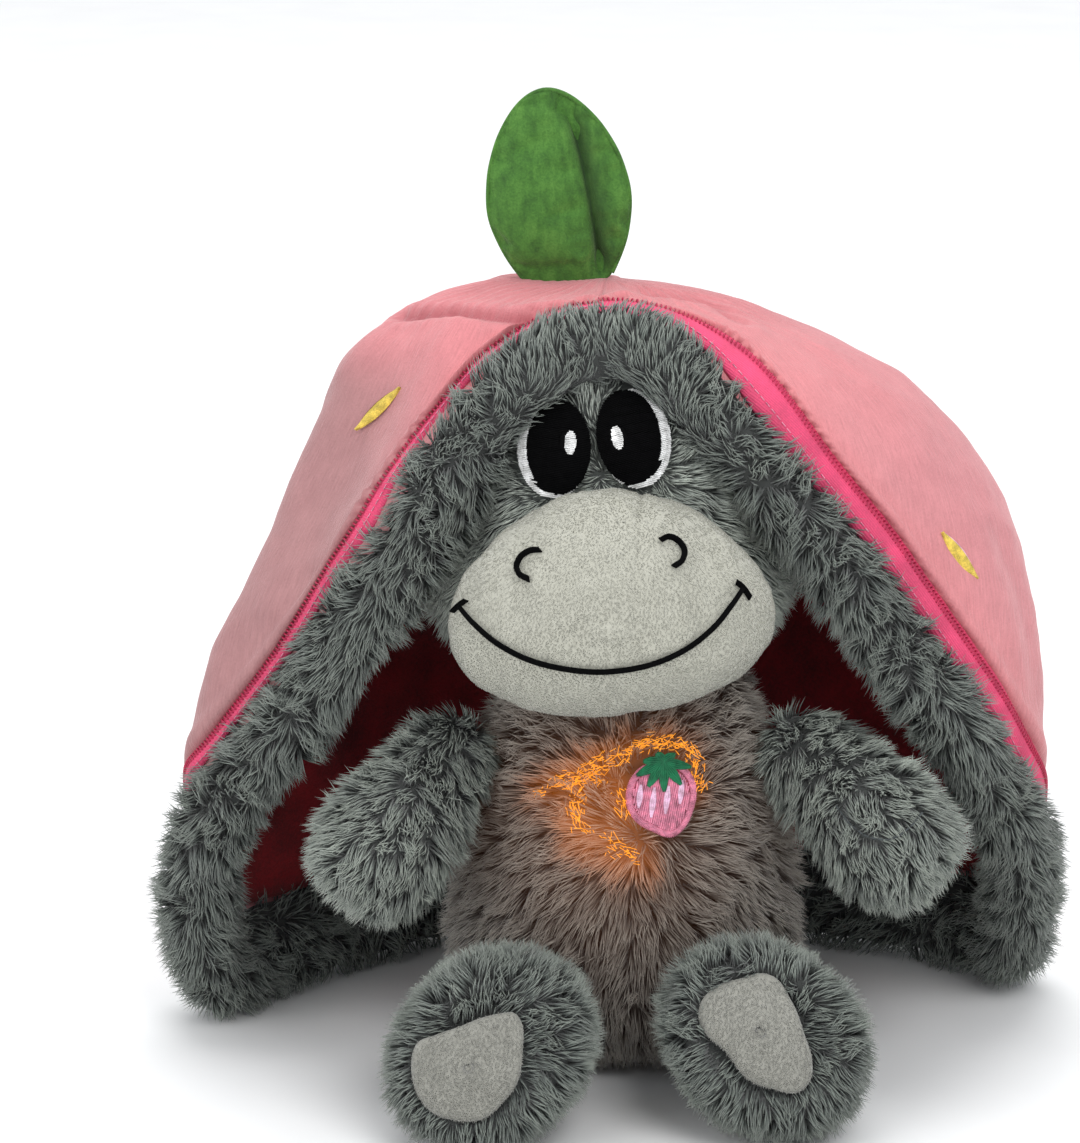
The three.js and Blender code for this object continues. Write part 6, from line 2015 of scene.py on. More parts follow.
@dataclass
class Torso(SubAssembly):
    """The torso: a stuffed pear whose belly breathes, with a patch and glowing fibres."""

    shop: Workshop
    view: Viewpoint
    inset: float = 5.0
    belly_middle: tuple = (5.0, 84.0)
    belly_spread: float = 52.0
    patch_tilt: float = 10.0
    patch_thread: float = 0.36
    streak_thread: float = 0.4
    edge_thread: float = 0.3
    calyx_thread: float = 0.38
    fibre_thread: float = 0.12
    fibre_sway: float = 0.4
    fibre_scatter: float = 1.35
    closure_middle: tuple = (3, 64)
    closure_half: tuple = (7, 34)
    closure_thread: float = 0.3
    closure_seam: float = 5.6
    closure_pitch: float = 3.2
    patch_pixels: tuple = (
        (641, 768), (630, 779), (625, 794), (627, 809), (636, 821), (651, 829),
        (670, 835), (682, 827), (690, 812), (694, 796), (692, 780), (682, 768), (661, 763),
    )  # fmt: skip
    calyx_middle: tuple = (661, 761)
    calyx_tips: tuple = (
        (636, 775), (647, 786), (662, 791), (678, 784), (687, 767), (672, 754), (655, 753), (642, 761)
    )
    glow_pixels: tuple = (
        (
            (539, 791), (566, 779), (592, 767), (615, 757), (640, 745),
            (665, 741), (690, 748), (698, 770), (700, 795),
        ),
        ((617, 786), (622, 801), (630, 815)),
        ((583, 787), (575, 800), (577, 818), (588, 836)),
        ((560, 784), (585, 778), (606, 772)),
        ((606, 838), (622, 850), (640, 860)),
    )
    glow_middle: tuple = (598, 822)

    def build(self) -> list[bpy.types.Object]:
        """Makes the torso, its patch, its fibres and its closure.

        Returns:
            The pieces, handed over to the frame.
        """
        self.cover = Pattern.torso.cover(grow=0)
        self.bare = self.view.on(self.cover, self.patch_pixels)
        return [self._fur(), *self._patch(), self._fibres(), *self._closure()]

    def _fur(self) -> bpy.types.Object:
        """The furred body.

        Returns:
            The piece, handed over to the frame.
        """
        skin = Pattern.torso.object("torso", -self.inset, rows=70, sides=110)
        points = corners_of(skin) / MM
        others = (
            Pattern.head,
            Pattern.muzzle,
            Pattern.left_arm,
            Pattern.right_arm,
            Pattern.left_leg,
            Pattern.right_leg,
        )
        hidden = np.max([smoothly(form.depth(points), 3, 8) for form in others], axis=0)
        facing = smoothly(-points[:, 1], -22, 6)
        patch = self._patch_depth(points)
        thick = (0.34 + 0.66 * facing) * (1 - 0.9 * hidden) * smoothly(points[:, 2], 1, 9)
        thick = np.where((points[:, 1] < 0) & (patch > -0.8), 0, thick)
        beside = np.abs(points[:, [0, 2]] - vec(*self.closure_middle))
        closure = (beside < vec(*self.closure_half)).all(axis=1) & (points[:, 1] > 20)
        thick = np.where(closure, 0, thick)
        radial = points[:, [0, 2]] - vec(*self.belly_middle)
        away = np.linalg.norm(radial, axis=1)
        centre = np.exp(-((away / self.belly_spread) ** 2)) * facing
        burst = np.zeros_like(points)
        burst[:, [0, 2]] = unit(radial)
        fall = burst * (0.75 * centre[:, None]) - UP * (0.6 * (1 - centre[:, None]))
        long = 1 + 0.22 * centre - 0.6 * smoothly(patch, -9, -1) * (points[:, 1] < 0)
        long += 0.1 * ripple(points, 26, 4)
        groom(skin, thick, long, fall)
        warm = self.view.on(self.cover, [self.glow_middle])[0]
        bright = np.vstack(
            [
                self.view.on(self.cover, pixel_run(run))
                for run in self.glow_pixels
            ]
        )
        glow = 0.42 * np.exp(-((np.linalg.norm(points - warm, axis=1) / 30) ** 2))
        glow += 0.62 * np.exp(-((near_path(points, bright) / 6.5) ** 2))
        glow += 0.16 * np.exp(-((away / 48) ** 2)) * facing
        set_values(skin, "glow", np.clip(glow, 0, 1))
        fur = Fur(self.shop.finishes.belly_fur, strands=1.04, length=8.6, tuft=6.0, seed=11)
        self.shop.planted(skin, fur)
        return hand_over(skin, "fur", BREATH, ("torso_body", "belly_panel"))

    def _patch_depth(self, points: np.ndarray) -> np.ndarray:
        """How far points lie inside the patch's outline, seen from the front."""
        return outline_depth(points[:, [0, 2]], self.bare[:, [0, 2]])

    def _on_front(self, flat: np.ndarray, lift: float) -> np.ndarray:
        """Puts X and Z places on the torso's front."""
        return self.cover.from_front(flat, lift)

    def _patch(self) -> list[bpy.types.Object]:
        """The embroidered strawberry.

        Returns:
            The pieces, handed over to the frame.
        """
        rim = SplineRun(self.bare[:, [0, 2]], closed=True).even(np.linspace(0, 1, 64, endpoint=False))
        done = self.shop.finishes
        rim = rim.mean(0) + (rim - rim.mean(0)) * vec(0.88, 0.96)
        base = pad_object("berry_base", rim, self._on_front, rise=1.9, sink=1.5)
        base.data.materials.append(done.rose)
        middle = rim.mean(0)
        rows = inside_runs(
            lambda flat: outline_depth(flat + middle, rim) - 1.1,
            size=16,
            spacing=0.62,
            angle=90 - self.patch_tilt,
        )
        fill = self.shop.threads(
            "berry_fill",
            [self._on_front(r + middle, 2.1) for r in rows],
            radius=self.patch_thread,
            finish=done.rose,
        )
        light = [
            self._streak(middle + vec(x, top), length)
            for x, top, length in ((-6.4, 1.5, 7), (-2.4, 0.5, 9), (1.8, 0.8, 8.5), (6, 2, 7))
        ]
        streaks = self.shop.threads(
            "berry_streaks",
            [line for group in light for line in group],
            radius=self.streak_thread,
            finish=done.blush,
        )
        rim_line = self._on_front(np.vstack([rim, rim[:1]]), 2.0)
        edge = self._satin_edge("berry_rim", rim_line, width=2.0, finish=done.rose)
        calyx = self._calyx()
        hand_over(base, "berry_satin", BREATH, ("berry_patch",))
        for piece in (fill, streaks, edge):
            hand_over(piece, "berry_satin", BREATH, ("berry_patch",))
        hand_over(calyx, "green_thread", BREATH, ("berry_calyx",))
        return [base, fill, streaks, edge, calyx]

    def _streak(self, top: np.ndarray, length: float) -> list[np.ndarray]:
        """One paler satin streak: three threads that come together at both ends.

        Args:
            top: where it starts, seen from the front.
            length: its length.

        Returns:
            The three threads.
        """
        slope = math.radians(-90 - self.patch_tilt * 0.6)
        share = np.linspace(0, 1, 9)
        ahead = vec(math.cos(slope), math.sin(slope))
        lines = []
        for k in (-1, 0, 1):
            bow = k * 0.62 * np.sin(share * math.pi)
            flat = top + vec(0, 3) + np.outer(share * length, ahead) + np.outer(bow, (1, 0))
            lines.append(self._on_front(flat, 2.45))
        return lines

    def _satin_edge(
        self, name: str, line: np.ndarray, width: float, finish: bpy.types.Material
    ) -> bpy.types.Object:
        """Stitches laid side by side across a line on the front.

        Args:
            name: the piece's name.
            line: the line, in millimetres.
            width: how long a stitch is.
            finish: the thread's finish.

        Returns:
            The stitches.
        """
        run = SplineRun(line)
        count = int(run.lengths[-1] / 0.5)
        shares = np.linspace(0, 1, count)
        middle, along = run.even(shares), run.heading(shares)
        aside = unit(np.cross(along, FORWARD)) * width / 2
        lines = stitches_across(middle, aside, ends=0.5, top=0.25)
        return self.shop.threads(name, lines, radius=self.edge_thread, finish=finish)

    def _calyx(self) -> bpy.types.Object:
        """The patch's green leaves: threads that run from the middle to each tip.

        Returns:
            The threads, as one mesh.
        """
        middle = self.view.on(self.cover, [self.calyx_middle])[0][[0, 2]]
        lines = []
        for tip in self.view.on(self.cover, self.calyx_tips)[:, [0, 2]]:
            ahead = tip - middle
            aside = vec(-ahead[1], ahead[0]) / np.linalg.norm(ahead)
            share = np.linspace(0, 1, 8)
            for k in (-2, -1, 0, 1, 2):
                bow = k * 0.58 * np.sin((share * 0.86 + 0.1) * math.pi)
                lines.append(
                    self._on_front(
                        middle + np.outer(share, ahead) + np.outer(bow, aside), 3.0 - 0.12 * abs(k)
                    )
                )
        return self.shop.threads(
            "berry_calyx_threads", lines, radius=self.calyx_thread, finish=self.shop.finishes.green
        )

    def _fibres(self) -> bpy.types.Object:
        """Glowing fibres in the fur, in short dashes.

        Returns:
            The piece, handed over to the frame.
        """
        rng = np.random.default_rng(5)
        lines = []
        for run in self.glow_pixels:
            path = self.view.on(self.cover, pixel_run(run, count=60))
            line = SplineRun(path)
            at = 0.0
            while at < line.lengths[-1] - 2:
                length = rng.uniform(0.8, 2.0)
                for _ in range(rng.integers(3, 7)):
                    shares = (at + np.linspace(0, length, 4)) / line.lengths[-1]
                    sway = np.outer(np.linspace(-1, 1, 4), rng.normal(0, self.fibre_sway, 3))
                    jitter = rng.normal(0, self.fibre_scatter, 3) * vec(1, 0, 1)
                    lift = vec(0, -rng.uniform(0.4, 2.8), 0)
                    lines.append(line.even(np.clip(shares, 0, 1)) + sway + jitter + lift)
                at += length * rng.uniform(0.5, 1.1)
        obj = self.shop.threads(
            "glowing_fibres", lines, radius=self.fibre_thread, finish=self.shop.finishes.ember, sides=4
        )
        return hand_over(obj, "berry_satin", BREATH)

    def _closure(self) -> list[bpy.types.Object]:
        """The stitches along the back's closing strip.

        Returns:
            The pieces, handed over to the frame.
        """
        lines = []
        middle, far_back = self.closure_middle[0], 200
        for side in (-1, 1):
            for z in np.arange(36, 93, self.closure_pitch):
                flat = [vec(middle + side * self.closure_seam, far_back, z + k) for k in (0.0, 0.8, 1.6, 2.2)]
                found = [self.cover.tree.ray_cast(Vector(p), Vector(FORWARD))[0] for p in flat]
                lines.append(np.array([np.array(p) + vec(0, 0.3, 0) for p in found]))
        obj = self.shop.threads(
            "closure_stitches", lines, radius=self.closure_thread, finish=self.shop.finishes.grey
        )
        return [hand_over(obj, "black_thread", "toy")]


# Head


@dataclass
class Head(SubAssembly):
    """The head: fur, embroidered eyes and a short-piled muzzle with a stitched smile."""

    shop: Workshop
    view: Viewpoint
    inset: float = 5.0
    eye_width: float = 21.6
    eye_height: float = 27.4
    eye_dome: float = 2.3
    eye_thread: float = 0.31
    stitch_thread: float = 0.33
    stitch_lift: float = 0.9
    nostril_width: float = 1.9
    smile_width: float = 1.7
    eye_pixels: tuple = ((553.5, 450.5), (634.5, 440.5))
    pupil_width: float = 19.0
    pupil_height: float = 26.4
    nostril_pixels: tuple = (
        ((541, 551), (531, 552), (522, 558), (518, 567), (521, 575), (530, 580)),
        ((660, 541), (668, 538), (677, 542), (683, 551), (681, 561), (673, 567)),
    )
    smile_pixels: tuple = (
        (461, 607), (475, 623), (499, 643), (531, 659), (570, 668),
        (608, 670), (650, 663), (685, 648), (712, 627), (730, 605), (741, 589),
    )  # fmt: skip
    tick_pixels: tuple = (((455, 612), (461, 606), (468, 601)), ((735, 583), (741, 588), (748, 598)))

    def build(self) -> list[bpy.types.Object]:
        """Makes the head's pieces.

        Returns:
            The pieces, handed over to the frame.
        """
        self.cover = Pattern.head.cover(grow=-0.5)
        self.muzzle_cover = Pattern.muzzle.cover(grow=-0.4)
        pieces = [self._fur(), self._muzzle()]
        for side in (-1, 1):
            pieces += self._eye(side)
        return pieces + self._stitched_lines()

    def _eye_spot(self, side: int) -> tuple[np.ndarray, float]:
        """An eye's middle on the flat face, and its turn in degrees."""
        middle = self.view.on(self.cover, [self.eye_pixels[0 if side < 0 else 1]])[0]
        return middle[[0, 2]], side * 9.0 + 4.0

    def _fur(self) -> bpy.types.Object:
        """The furred head.

        Returns:
            The piece, handed over to the frame.
        """
        skin = Pattern.head.object("head_fur", -self.inset, rows=66, sides=120)
        points = corners_of(skin) / MM
        front = points[:, 1] < HEAD_MIDDLE[1]
        muzzle = smoothly(Pattern.muzzle.depth(points), 2, 6)
        torso = smoothly(Pattern.torso.depth(points), 4, 10)
        eyes = np.full(len(points), -1e3)
        for side in (-1, 1):
            middle, turn = self._eye_spot(side)
            test = oval(self.eye_width, self.eye_height, turn, tuple(middle))
            eyes = np.maximum(eyes, np.where(front, test(points[:, [0, 2]]), -1e3))
        facing = smoothly(-points[:, 1], -26, 4)
        thick = (0.35 + 0.65 * facing) * (1 - muzzle) * (1 - torso)
        thick = np.where(eyes > -0.16, 0, thick)
        off = points - vec(-5, -50, 200)
        off[:, 1] *= 0.3
        fall = unit(off) * 0.75 - UP * (0.35 * smoothly(-points[:, 2], -196, -165))[:, None]
        fall += vec(0, 0.2, 0)
        beside = Pattern.muzzle.depth(points)
        long = 1 - 0.55 * smoothly(eyes, -1.3, -0.2) - 0.3 * smoothly(beside, -8, 0)
        long += 0.12 * ripple(points, 24, 8)
        groom(skin, thick, long, fall)
        # The face takes the lighter copy of the grey fur: painted light.
        self.shop.planted(skin, Fur(self.shop.finishes.face_fur, strands=1.2, length=7.8, seed=21))
        return hand_over(skin, "fur", "toy", ("head",))

    def _muzzle(self) -> bpy.types.Object:
        """The short-piled muzzle, with a seam down its middle.

        Returns:
            The piece, handed over to the frame.
        """
        skin = Pattern.muzzle.object("muzzle_pile", grow=-1.6, rows=70, sides=130)
        points = corners_of(skin) / MM
        normal = normals_of(skin)
        seam = np.abs((points[:, 0] - 4) - 0.07 * (points[:, 2] - 165))
        dent = 1.2 * np.exp(-((seam / 1.1) ** 2)) * smoothly(points[:, 2], 168, 196)
        puff = 0.5 * ripple(points, 22, 31) + 0.22 * ripple(points, 8, 32)
        points += normal * (puff - dent)[:, None]
        set_corners(skin, points * MM)
        seen = smoothly(-points[:, 1], 30, 50)
        fall = -UP * np.full((len(points), 1), 0.8) + unit(points - vec(-2, -60, 180)) * 0.4
        groom(skin, seen, np.ones(len(points)), fall)
        fur = Fur(
            self.shop.finishes.muzzle,
            strands=2.3,
            length=0.62,
            width=0.4,
            tuft=4.0,
            gather=0.1,
            sway=0.6,
            tousle=0.2,
            seed=22,
            stub=True,
        )
        self.shop.planted(skin, fur)
        return hand_over(skin, "short_pile", "toy", ("muzzle",))

    def _eye(self, side: int) -> list[bpy.types.Object]:
        """An embroidered eye: white, then black, then a small glint.

        Args:
            side: -1 for the eye at the photograph's left, 1 for the other.

        Returns:
            The pieces, handed over to the frame.
        """
        name = "left" if side < 0 else "right"
        middle, turn = self._eye_spot(side)
        pupil = middle + vec(-side * 2.1, 0.5)
        glint = middle + (vec(5.6, 2.0) if side < 0 else vec(-5.5, 0.4))
        angles = np.linspace(0, 2 * math.pi, 56, endpoint=False)
        round_rim = np.column_stack(
            [np.cos(angles) * self.eye_width / 2, np.sin(angles) * self.eye_height / 2]
        )
        slant = math.radians(turn)
        spin = np.array([[math.cos(slant), math.sin(slant)], [-math.sin(slant), math.cos(slant)]])
        done = self.shop.finishes
        base = pad_object(
            f"{name}_eye_base", middle + round_rim @ spin, self.cover.from_front, rise=2.2, sink=2.5, rings=9
        )
        base.data.materials.append(done.black)
        dome = oval(self.eye_width, self.eye_height, turn, tuple(middle))

        def height(flat: np.ndarray) -> np.ndarray:
            """How high the domed eye stands at flat places."""
            return self.eye_dome * np.sqrt(np.clip(dome(flat), 0, 1))

        white = oval(self.eye_width + 0.6, self.eye_height + 0.6, turn, tuple(middle))
        black = oval(self.pupil_width, self.pupil_height, turn, tuple(pupil))
        shine = oval(3.6, 6.8, turn, tuple(glint))
        pieces = [base]
        fills = (
            ("white", lambda flat: np.minimum(white(flat), -black(flat)), 0.15, done.white),
            ("pupil", lambda flat: np.minimum(black(flat), -shine(flat)), 0.4, done.black),
            ("glint", shine, 0.5, done.white),
        )
        for part, test, lift, finish in fills:
            rows = inside_runs(
                lambda flat, t=test: t(flat + middle), size=18, spacing=0.5, angle=turn, step=1.6
            )
            lines = [self._lifted(r + middle, height, lift) for r in self._unbroken(rows)]
            pieces.append(
                self.shop.threads(f"{name}_eye_{part}", lines, radius=self.eye_thread, finish=finish, sides=4)
            )
        hand_over(base, "black_thread", "toy", (f"{name}_eye_white",))
        hand_over(pieces[1], "white_thread", "toy", (f"{name}_eye_white",))
        hand_over(pieces[2], "black_thread", "toy", (f"{name}_eye_pupil",))
        hand_over(pieces[3], "white_thread", "toy", (f"{name}_eye_pupil",))
        return pieces

    def _unbroken(self, rows: list[np.ndarray]) -> list[np.ndarray]:
        """Rows cut where they jump over a gap.

        Args:
            rows: threads as flat lines.

        Returns:
            The parts between the gaps.
        """
        found = []
        for row in rows:
            gaps = np.linalg.norm(np.diff(row, axis=0), axis=1)
            cuts = np.flatnonzero(gaps > max(2.4, 1.9 * np.median(gaps))) + 1
            found += [part for part in np.split(row, cuts) if len(part) > 1]
        return found

    def _lifted(
        self, flat: np.ndarray, height: Callable[[np.ndarray], np.ndarray], lift: float
    ) -> np.ndarray:
        """Puts flat points on the domed eye.

        Args:
            flat: flat places.
            height: how high the dome is at flat places.
            lift: how far above the dome.

        Returns:
            The points, in millimetres.
        """
        level = self.cover.from_front(flat, lift=0)
        above = self.cover.from_front(flat, lift=1)
        return level + (above - level) * (height(flat) * 0.95 + lift)[:, None]

    def _stitched_lines(self) -> list[bpy.types.Object]:
        """The nostrils and the smile, in satin stitches.

        Returns:
            The pieces, handed over to the frame.
        """
        pieces = []
        for name, pixels in zip(("left", "right"), self.nostril_pixels):
            line = self.view.on(self.muzzle_cover, pixels, self.stitch_lift)
            obj = self._satin(f"{name}_nostril_stitches", [line], self.nostril_width)
            pieces.append(hand_over(obj, "black_thread", "toy", (f"{name}_nostril",)))
        lines = [
            self.view.on(self.muzzle_cover, pixels, self.stitch_lift)
            for pixels in (self.smile_pixels, *self.tick_pixels)
        ]
        obj = self._satin("smile_stitches", lines, self.smile_width)
        pieces.append(hand_over(obj, "black_thread", "toy", ("smile_stitch",)))
        return pieces

    def _satin(self, name: str, lines: Sequence[np.ndarray], width: float) -> bpy.types.Object:
        """Slanted stitches, side by side, that cover a line.

        Args:
            name: the piece's name.
            lines: the lines, in millimetres.
            width: how long a stitch is.

        Returns:
            The stitches, as one mesh.
        """
        stitches = []
        for line in lines:
            run = SplineRun(line)
            shares = np.linspace(0, 1, max(8, int(run.lengths[-1] / 0.42)))
            middle, along = run.even(shares), run.heading(shares)
            aside = unit(np.cross(along, FORWARD) + along * 0.55) * width / 2
            stitches += stitches_across(middle, aside, ends=0.0, top=0.3)
            stitches.append(run.even(np.linspace(0, 1, 60)))
        return self.shop.threads(name, stitches, radius=self.stitch_thread, finish=self.shop.finishes.black)


# Limbs


@dataclass(frozen=True)
class LimbPlan:
    """What one limb is made from."""

    name: str
    form: StuffedForm
    neighbours: tuple
    seed: int
    sole_pixels: tuple = ()
    seam_pixels: tuple = ()


@dataclass
class Limb(SubAssembly):
    """An arm or a leg: fur, and a leg's short-piled sole."""

    shop: Workshop
    view: Viewpoint
    plan: LimbPlan
    inset: float = 4.6
    sole_reach: float = 16.0
    seam_thread: float = 0.32
    seam_pitch: float = 2.3
    seam_stitch: float = 1.7

    def build(self) -> list[bpy.types.Object]:
        """Makes the limb's pieces.

        Returns:
            The pieces, handed over to the frame.
        """
        self.cover = self.plan.form.cover(grow=-0.8)
        self.rim = (
            self.view.on(self.cover, self.plan.sole_pixels) if self.plan.sole_pixels else np.zeros((0, 3))
        )
        pieces = [self._fur()]
        if len(self.rim):
            pieces.append(self._sole())
        if self.plan.seam_pixels:
            pieces.append(self._seam())
        return pieces

    def _fur(self) -> bpy.types.Object:
        """The furred limb.

        Returns:
            The piece, handed over to the frame.
        """
        plan, form = self.plan, self.plan.form
        skin = form.object(f"{plan.name}_fur", -self.inset, rows=40, sides=64)
        points = corners_of(skin) / MM
        hidden = np.max([smoothly(other.depth(points), 2, 7) for other in plan.neighbours], axis=0)
        seen = 0.5 + 0.5 * smoothly(-normals_of(skin)[:, 1], -0.75, -0.1)
        thick = seen * (1 - 0.92 * hidden) * smoothly(points[:, 2], 0.8, 6)
        axis = form.directions()[2]
        off = points - vec(*form.base)
        radial = unit(off - np.outer(off @ axis, axis))
        share = np.clip(off @ axis / form.length, 0, 1)[:, None]
        long = np.ones(len(points))
        if len(self.rim):
            beside = near_path(points, SplineRun(self.rim, closed=True).even(np.linspace(0, 1, 90)))
            sole = self._in_sole(points)
            thick = np.where((sole > 0.5), 0, thick)
            long -= 0.42 * np.exp(-((beside / 6) ** 2))
            fall = axis * 0.25 + radial * (0.15 + 0.6 * share) - UP * 0.2
        else:
            fall = axis * 0.5 - UP * 0.2 + radial * 0.15
        if self.plan.seam_pixels:
            seam = self.view.on(self.cover, pixel_run(self.plan.seam_pixels))
            near = np.exp(-((near_path(points, seam) / 3.4) ** 2))
            long = long - 0.5 * near
        long = long + 0.12 * ripple(points, 22, plan.seed)
        groom(skin, thick, long, fall)
        # The arms take the lighter copy of the grey fur, the legs the plain one: painted light.
        finish = self.shop.finishes.fur if len(self.rim) else self.shop.finishes.arm_fur
        self.shop.planted(skin, Fur(finish, strands=1.14, length=7.8, seed=plan.seed))
        return hand_over(skin, "fur", plan.name, (plan.name,))

    def _in_sole(self, points: np.ndarray) -> np.ndarray:
        """How far points lie inside the sole's outline, seen along the leg.

        Args:
            points: places, in millimetres.

        Returns:
            One depth for each place; far from the sole it is negative.
        """
        across, up, axis = self.plan.form.directions()
        flat, rim = (np.column_stack([p @ across, p @ up]) for p in (points, self.rim))
        front = (points - self.rim.mean(0)) @ axis > -self.sole_reach
        return np.where(front, outline_depth(flat, rim), -50)

    def _on_end(self, flat: np.ndarray, lift: float) -> np.ndarray:
        """Puts places in the photograph's frame on the limb."""
        return self.view.on(self.cover, flat, lift)

    def _sole(self) -> bpy.types.Object:
        """The sole, sewn on the leg's end.

        Returns:
            The piece, handed over to the frame.
        """
        plan = self.plan
        rim = SplineRun([(*p, 0) for p in plan.sole_pixels], closed=True).even(
            np.linspace(0, 1, 72, endpoint=False)
        )
        sole = pad_object(f"{plan.name}_sole_pile", rim[:, :2], self._on_end, rise=2.6, sink=3.0, rings=12)
        points = corners_of(sole) / MM
        self._level_middle(points, normals_of(sole))
        set_corners(sole, points * MM)
        normal = normals_of(sole)
        points += normal * (0.45 * ripple(points, 13, plan.seed + 40))[:, None]
        set_corners(sole, points * MM)
        fall = -UP * np.full((len(points), 1), 0.7)
        groom(sole, (normal[:, 1] < -0.1).astype(float), np.ones(len(points)), fall)
        fur = Fur(
            self.shop.finishes.sole,
            strands=2.8,
            length=0.8,
            width=0.4,
            tuft=4.0,
            gather=0.1,
            sway=0.7,
            tousle=0.3,
            seed=plan.seed + 1,
            stub=True,
        )
        self.shop.planted(sole, fur)
        return hand_over(sole, "short_pile", plan.name, (plan.name.replace("leg", "sole"),))

    def _level_middle(self, points: np.ndarray, normal: np.ndarray) -> None:
        """Smooths a sole's front where the leg's skin comes together in one point.

        Args:
            points: the sole's corners, which are moved.
            normal: the outward direction at each.
        """
        across, up, axis = self.plan.form.directions()
        front = np.flatnonzero(normal @ axis > 0.3)
        seen = points[front] - points[front].mean(0)
        depth, (u, v) = seen @ axis, (seen @ way for way in (across, up))
        fit = np.column_stack([np.ones(len(u)), u, v, u * u, u * v, v * v])
        away = np.hypot(u, v)
        near = (away > 4) & (away < 13)
        smooth = fit @ np.linalg.lstsq(fit[near], depth[near], rcond=None)[0]
        points[front] += np.outer((smooth - depth) * smoothly(-away, -11.0, -6.0), axis)

    def _seam(self) -> bpy.types.Object:
        """The hand's closing seam.

        Returns:
            The piece, handed over to the frame.
        """
        path = self.view.on(
            self.cover, pixel_run(self.plan.seam_pixels), lift=1.5
        )
        run = SplineRun(path)
        lines = []
        for at in np.arange(0.5, run.lengths[-1] - 1.5, self.seam_pitch):
            lines.append(run.even((at + np.linspace(0, self.seam_stitch, 4)) / run.lengths[-1]))
        obj = self.shop.threads(
            f"{self.plan.name}_seam", lines, radius=self.seam_thread, finish=self.shop.finishes.grey
        )
        return hand_over(obj, "black_thread", self.plan.name)


def limb_plans() -> tuple[LimbPlan, ...]:
    """The four limbs.

    Returns:
        Both arms' and both legs' plans.
    """
    left_sole = (
        (419, 1042), (436, 1034), (456, 1028), (478, 1020), (500, 1014), (514, 1013), (522, 1024),
        (524, 1046), (520, 1072), (510, 1094), (493, 1112), (464, 1122), (437, 1114), (419, 1096),
        (411, 1070),
    )  # fmt: skip
    right_sole = (
        (702, 1002), (716, 986), (738, 978), (764, 974), (780, 980), (792, 1002), (803, 1030), (812, 1058),
        (810, 1080), (796, 1092), (770, 1089), (744, 1076), (729, 1056), (710, 1038), (700, 1018),
    )  # fmt: skip
    seam = ((838, 806), (850, 822), (868, 836), (890, 839), (908, 828), (922, 812))
    torso = Pattern.torso
    return (
        LimbPlan("left_arm", Pattern.left_arm, neighbours=(torso,), seed=51),
        LimbPlan(
            "right_arm", Pattern.right_arm, neighbours=(torso,), seed=52, sole_pixels=(), seam_pixels=seam
        ),
        LimbPlan("left_leg", Pattern.left_leg, neighbours=(torso,), seed=53, sole_pixels=left_sole),
        LimbPlan("right_leg", Pattern.right_leg, neighbours=(torso,), seed=54, sole_pixels=right_sole),
    )


# Hood


@dataclass(frozen=True)
class Fold:
    """A crease in the velour, where the photograph shows it."""

    pixels: tuple
    depth: float
    width: float
    # How much painted shade darkens the fold's crease.
    fold_shade: float = 0.0


FOLDS = (
    Fold(((396, 313), (425, 315), (455, 314), (500, 318), (530, 321), (562, 320)), 2.6, 2.4, 0.55),
    Fold(((556, 306), (568, 318), (578, 331)), 2.3, 1.7, 0.6),
    Fold(((536, 310), (552, 322), (566, 336)), 1.8, 1.7, 0.4),
    Fold(((585, 298), (588, 314), (590, 326)), 2.0, 1.7, 0.45),
    Fold(((622, 294), (612, 306), (600, 322)), 1.8, 1.7, 0.35),
    Fold(((648, 292), (676, 296), (712, 304), (742, 322)), 1.5, 3.0, 0.15),
    Fold(((668, 316), (705, 330), (760, 366), (820, 420)), -0.9, 4.5, 0.0),
    Fold(((408, 330), (380, 384), (352, 446), (326, 520), (300, 590)), 1.1, 7.0, 0.0),
    Fold(((455, 330), (420, 400), (395, 450), (368, 510)), -1.2, 7.0, 0.0),
    Fold(((860, 400), (930, 480), (985, 560), (1020, 640)), -0.9, 8.0, 0.0),
    Fold(((1000, 540), (1025, 610), (1038, 690)), 1.0, 5.0, 0.0),
)


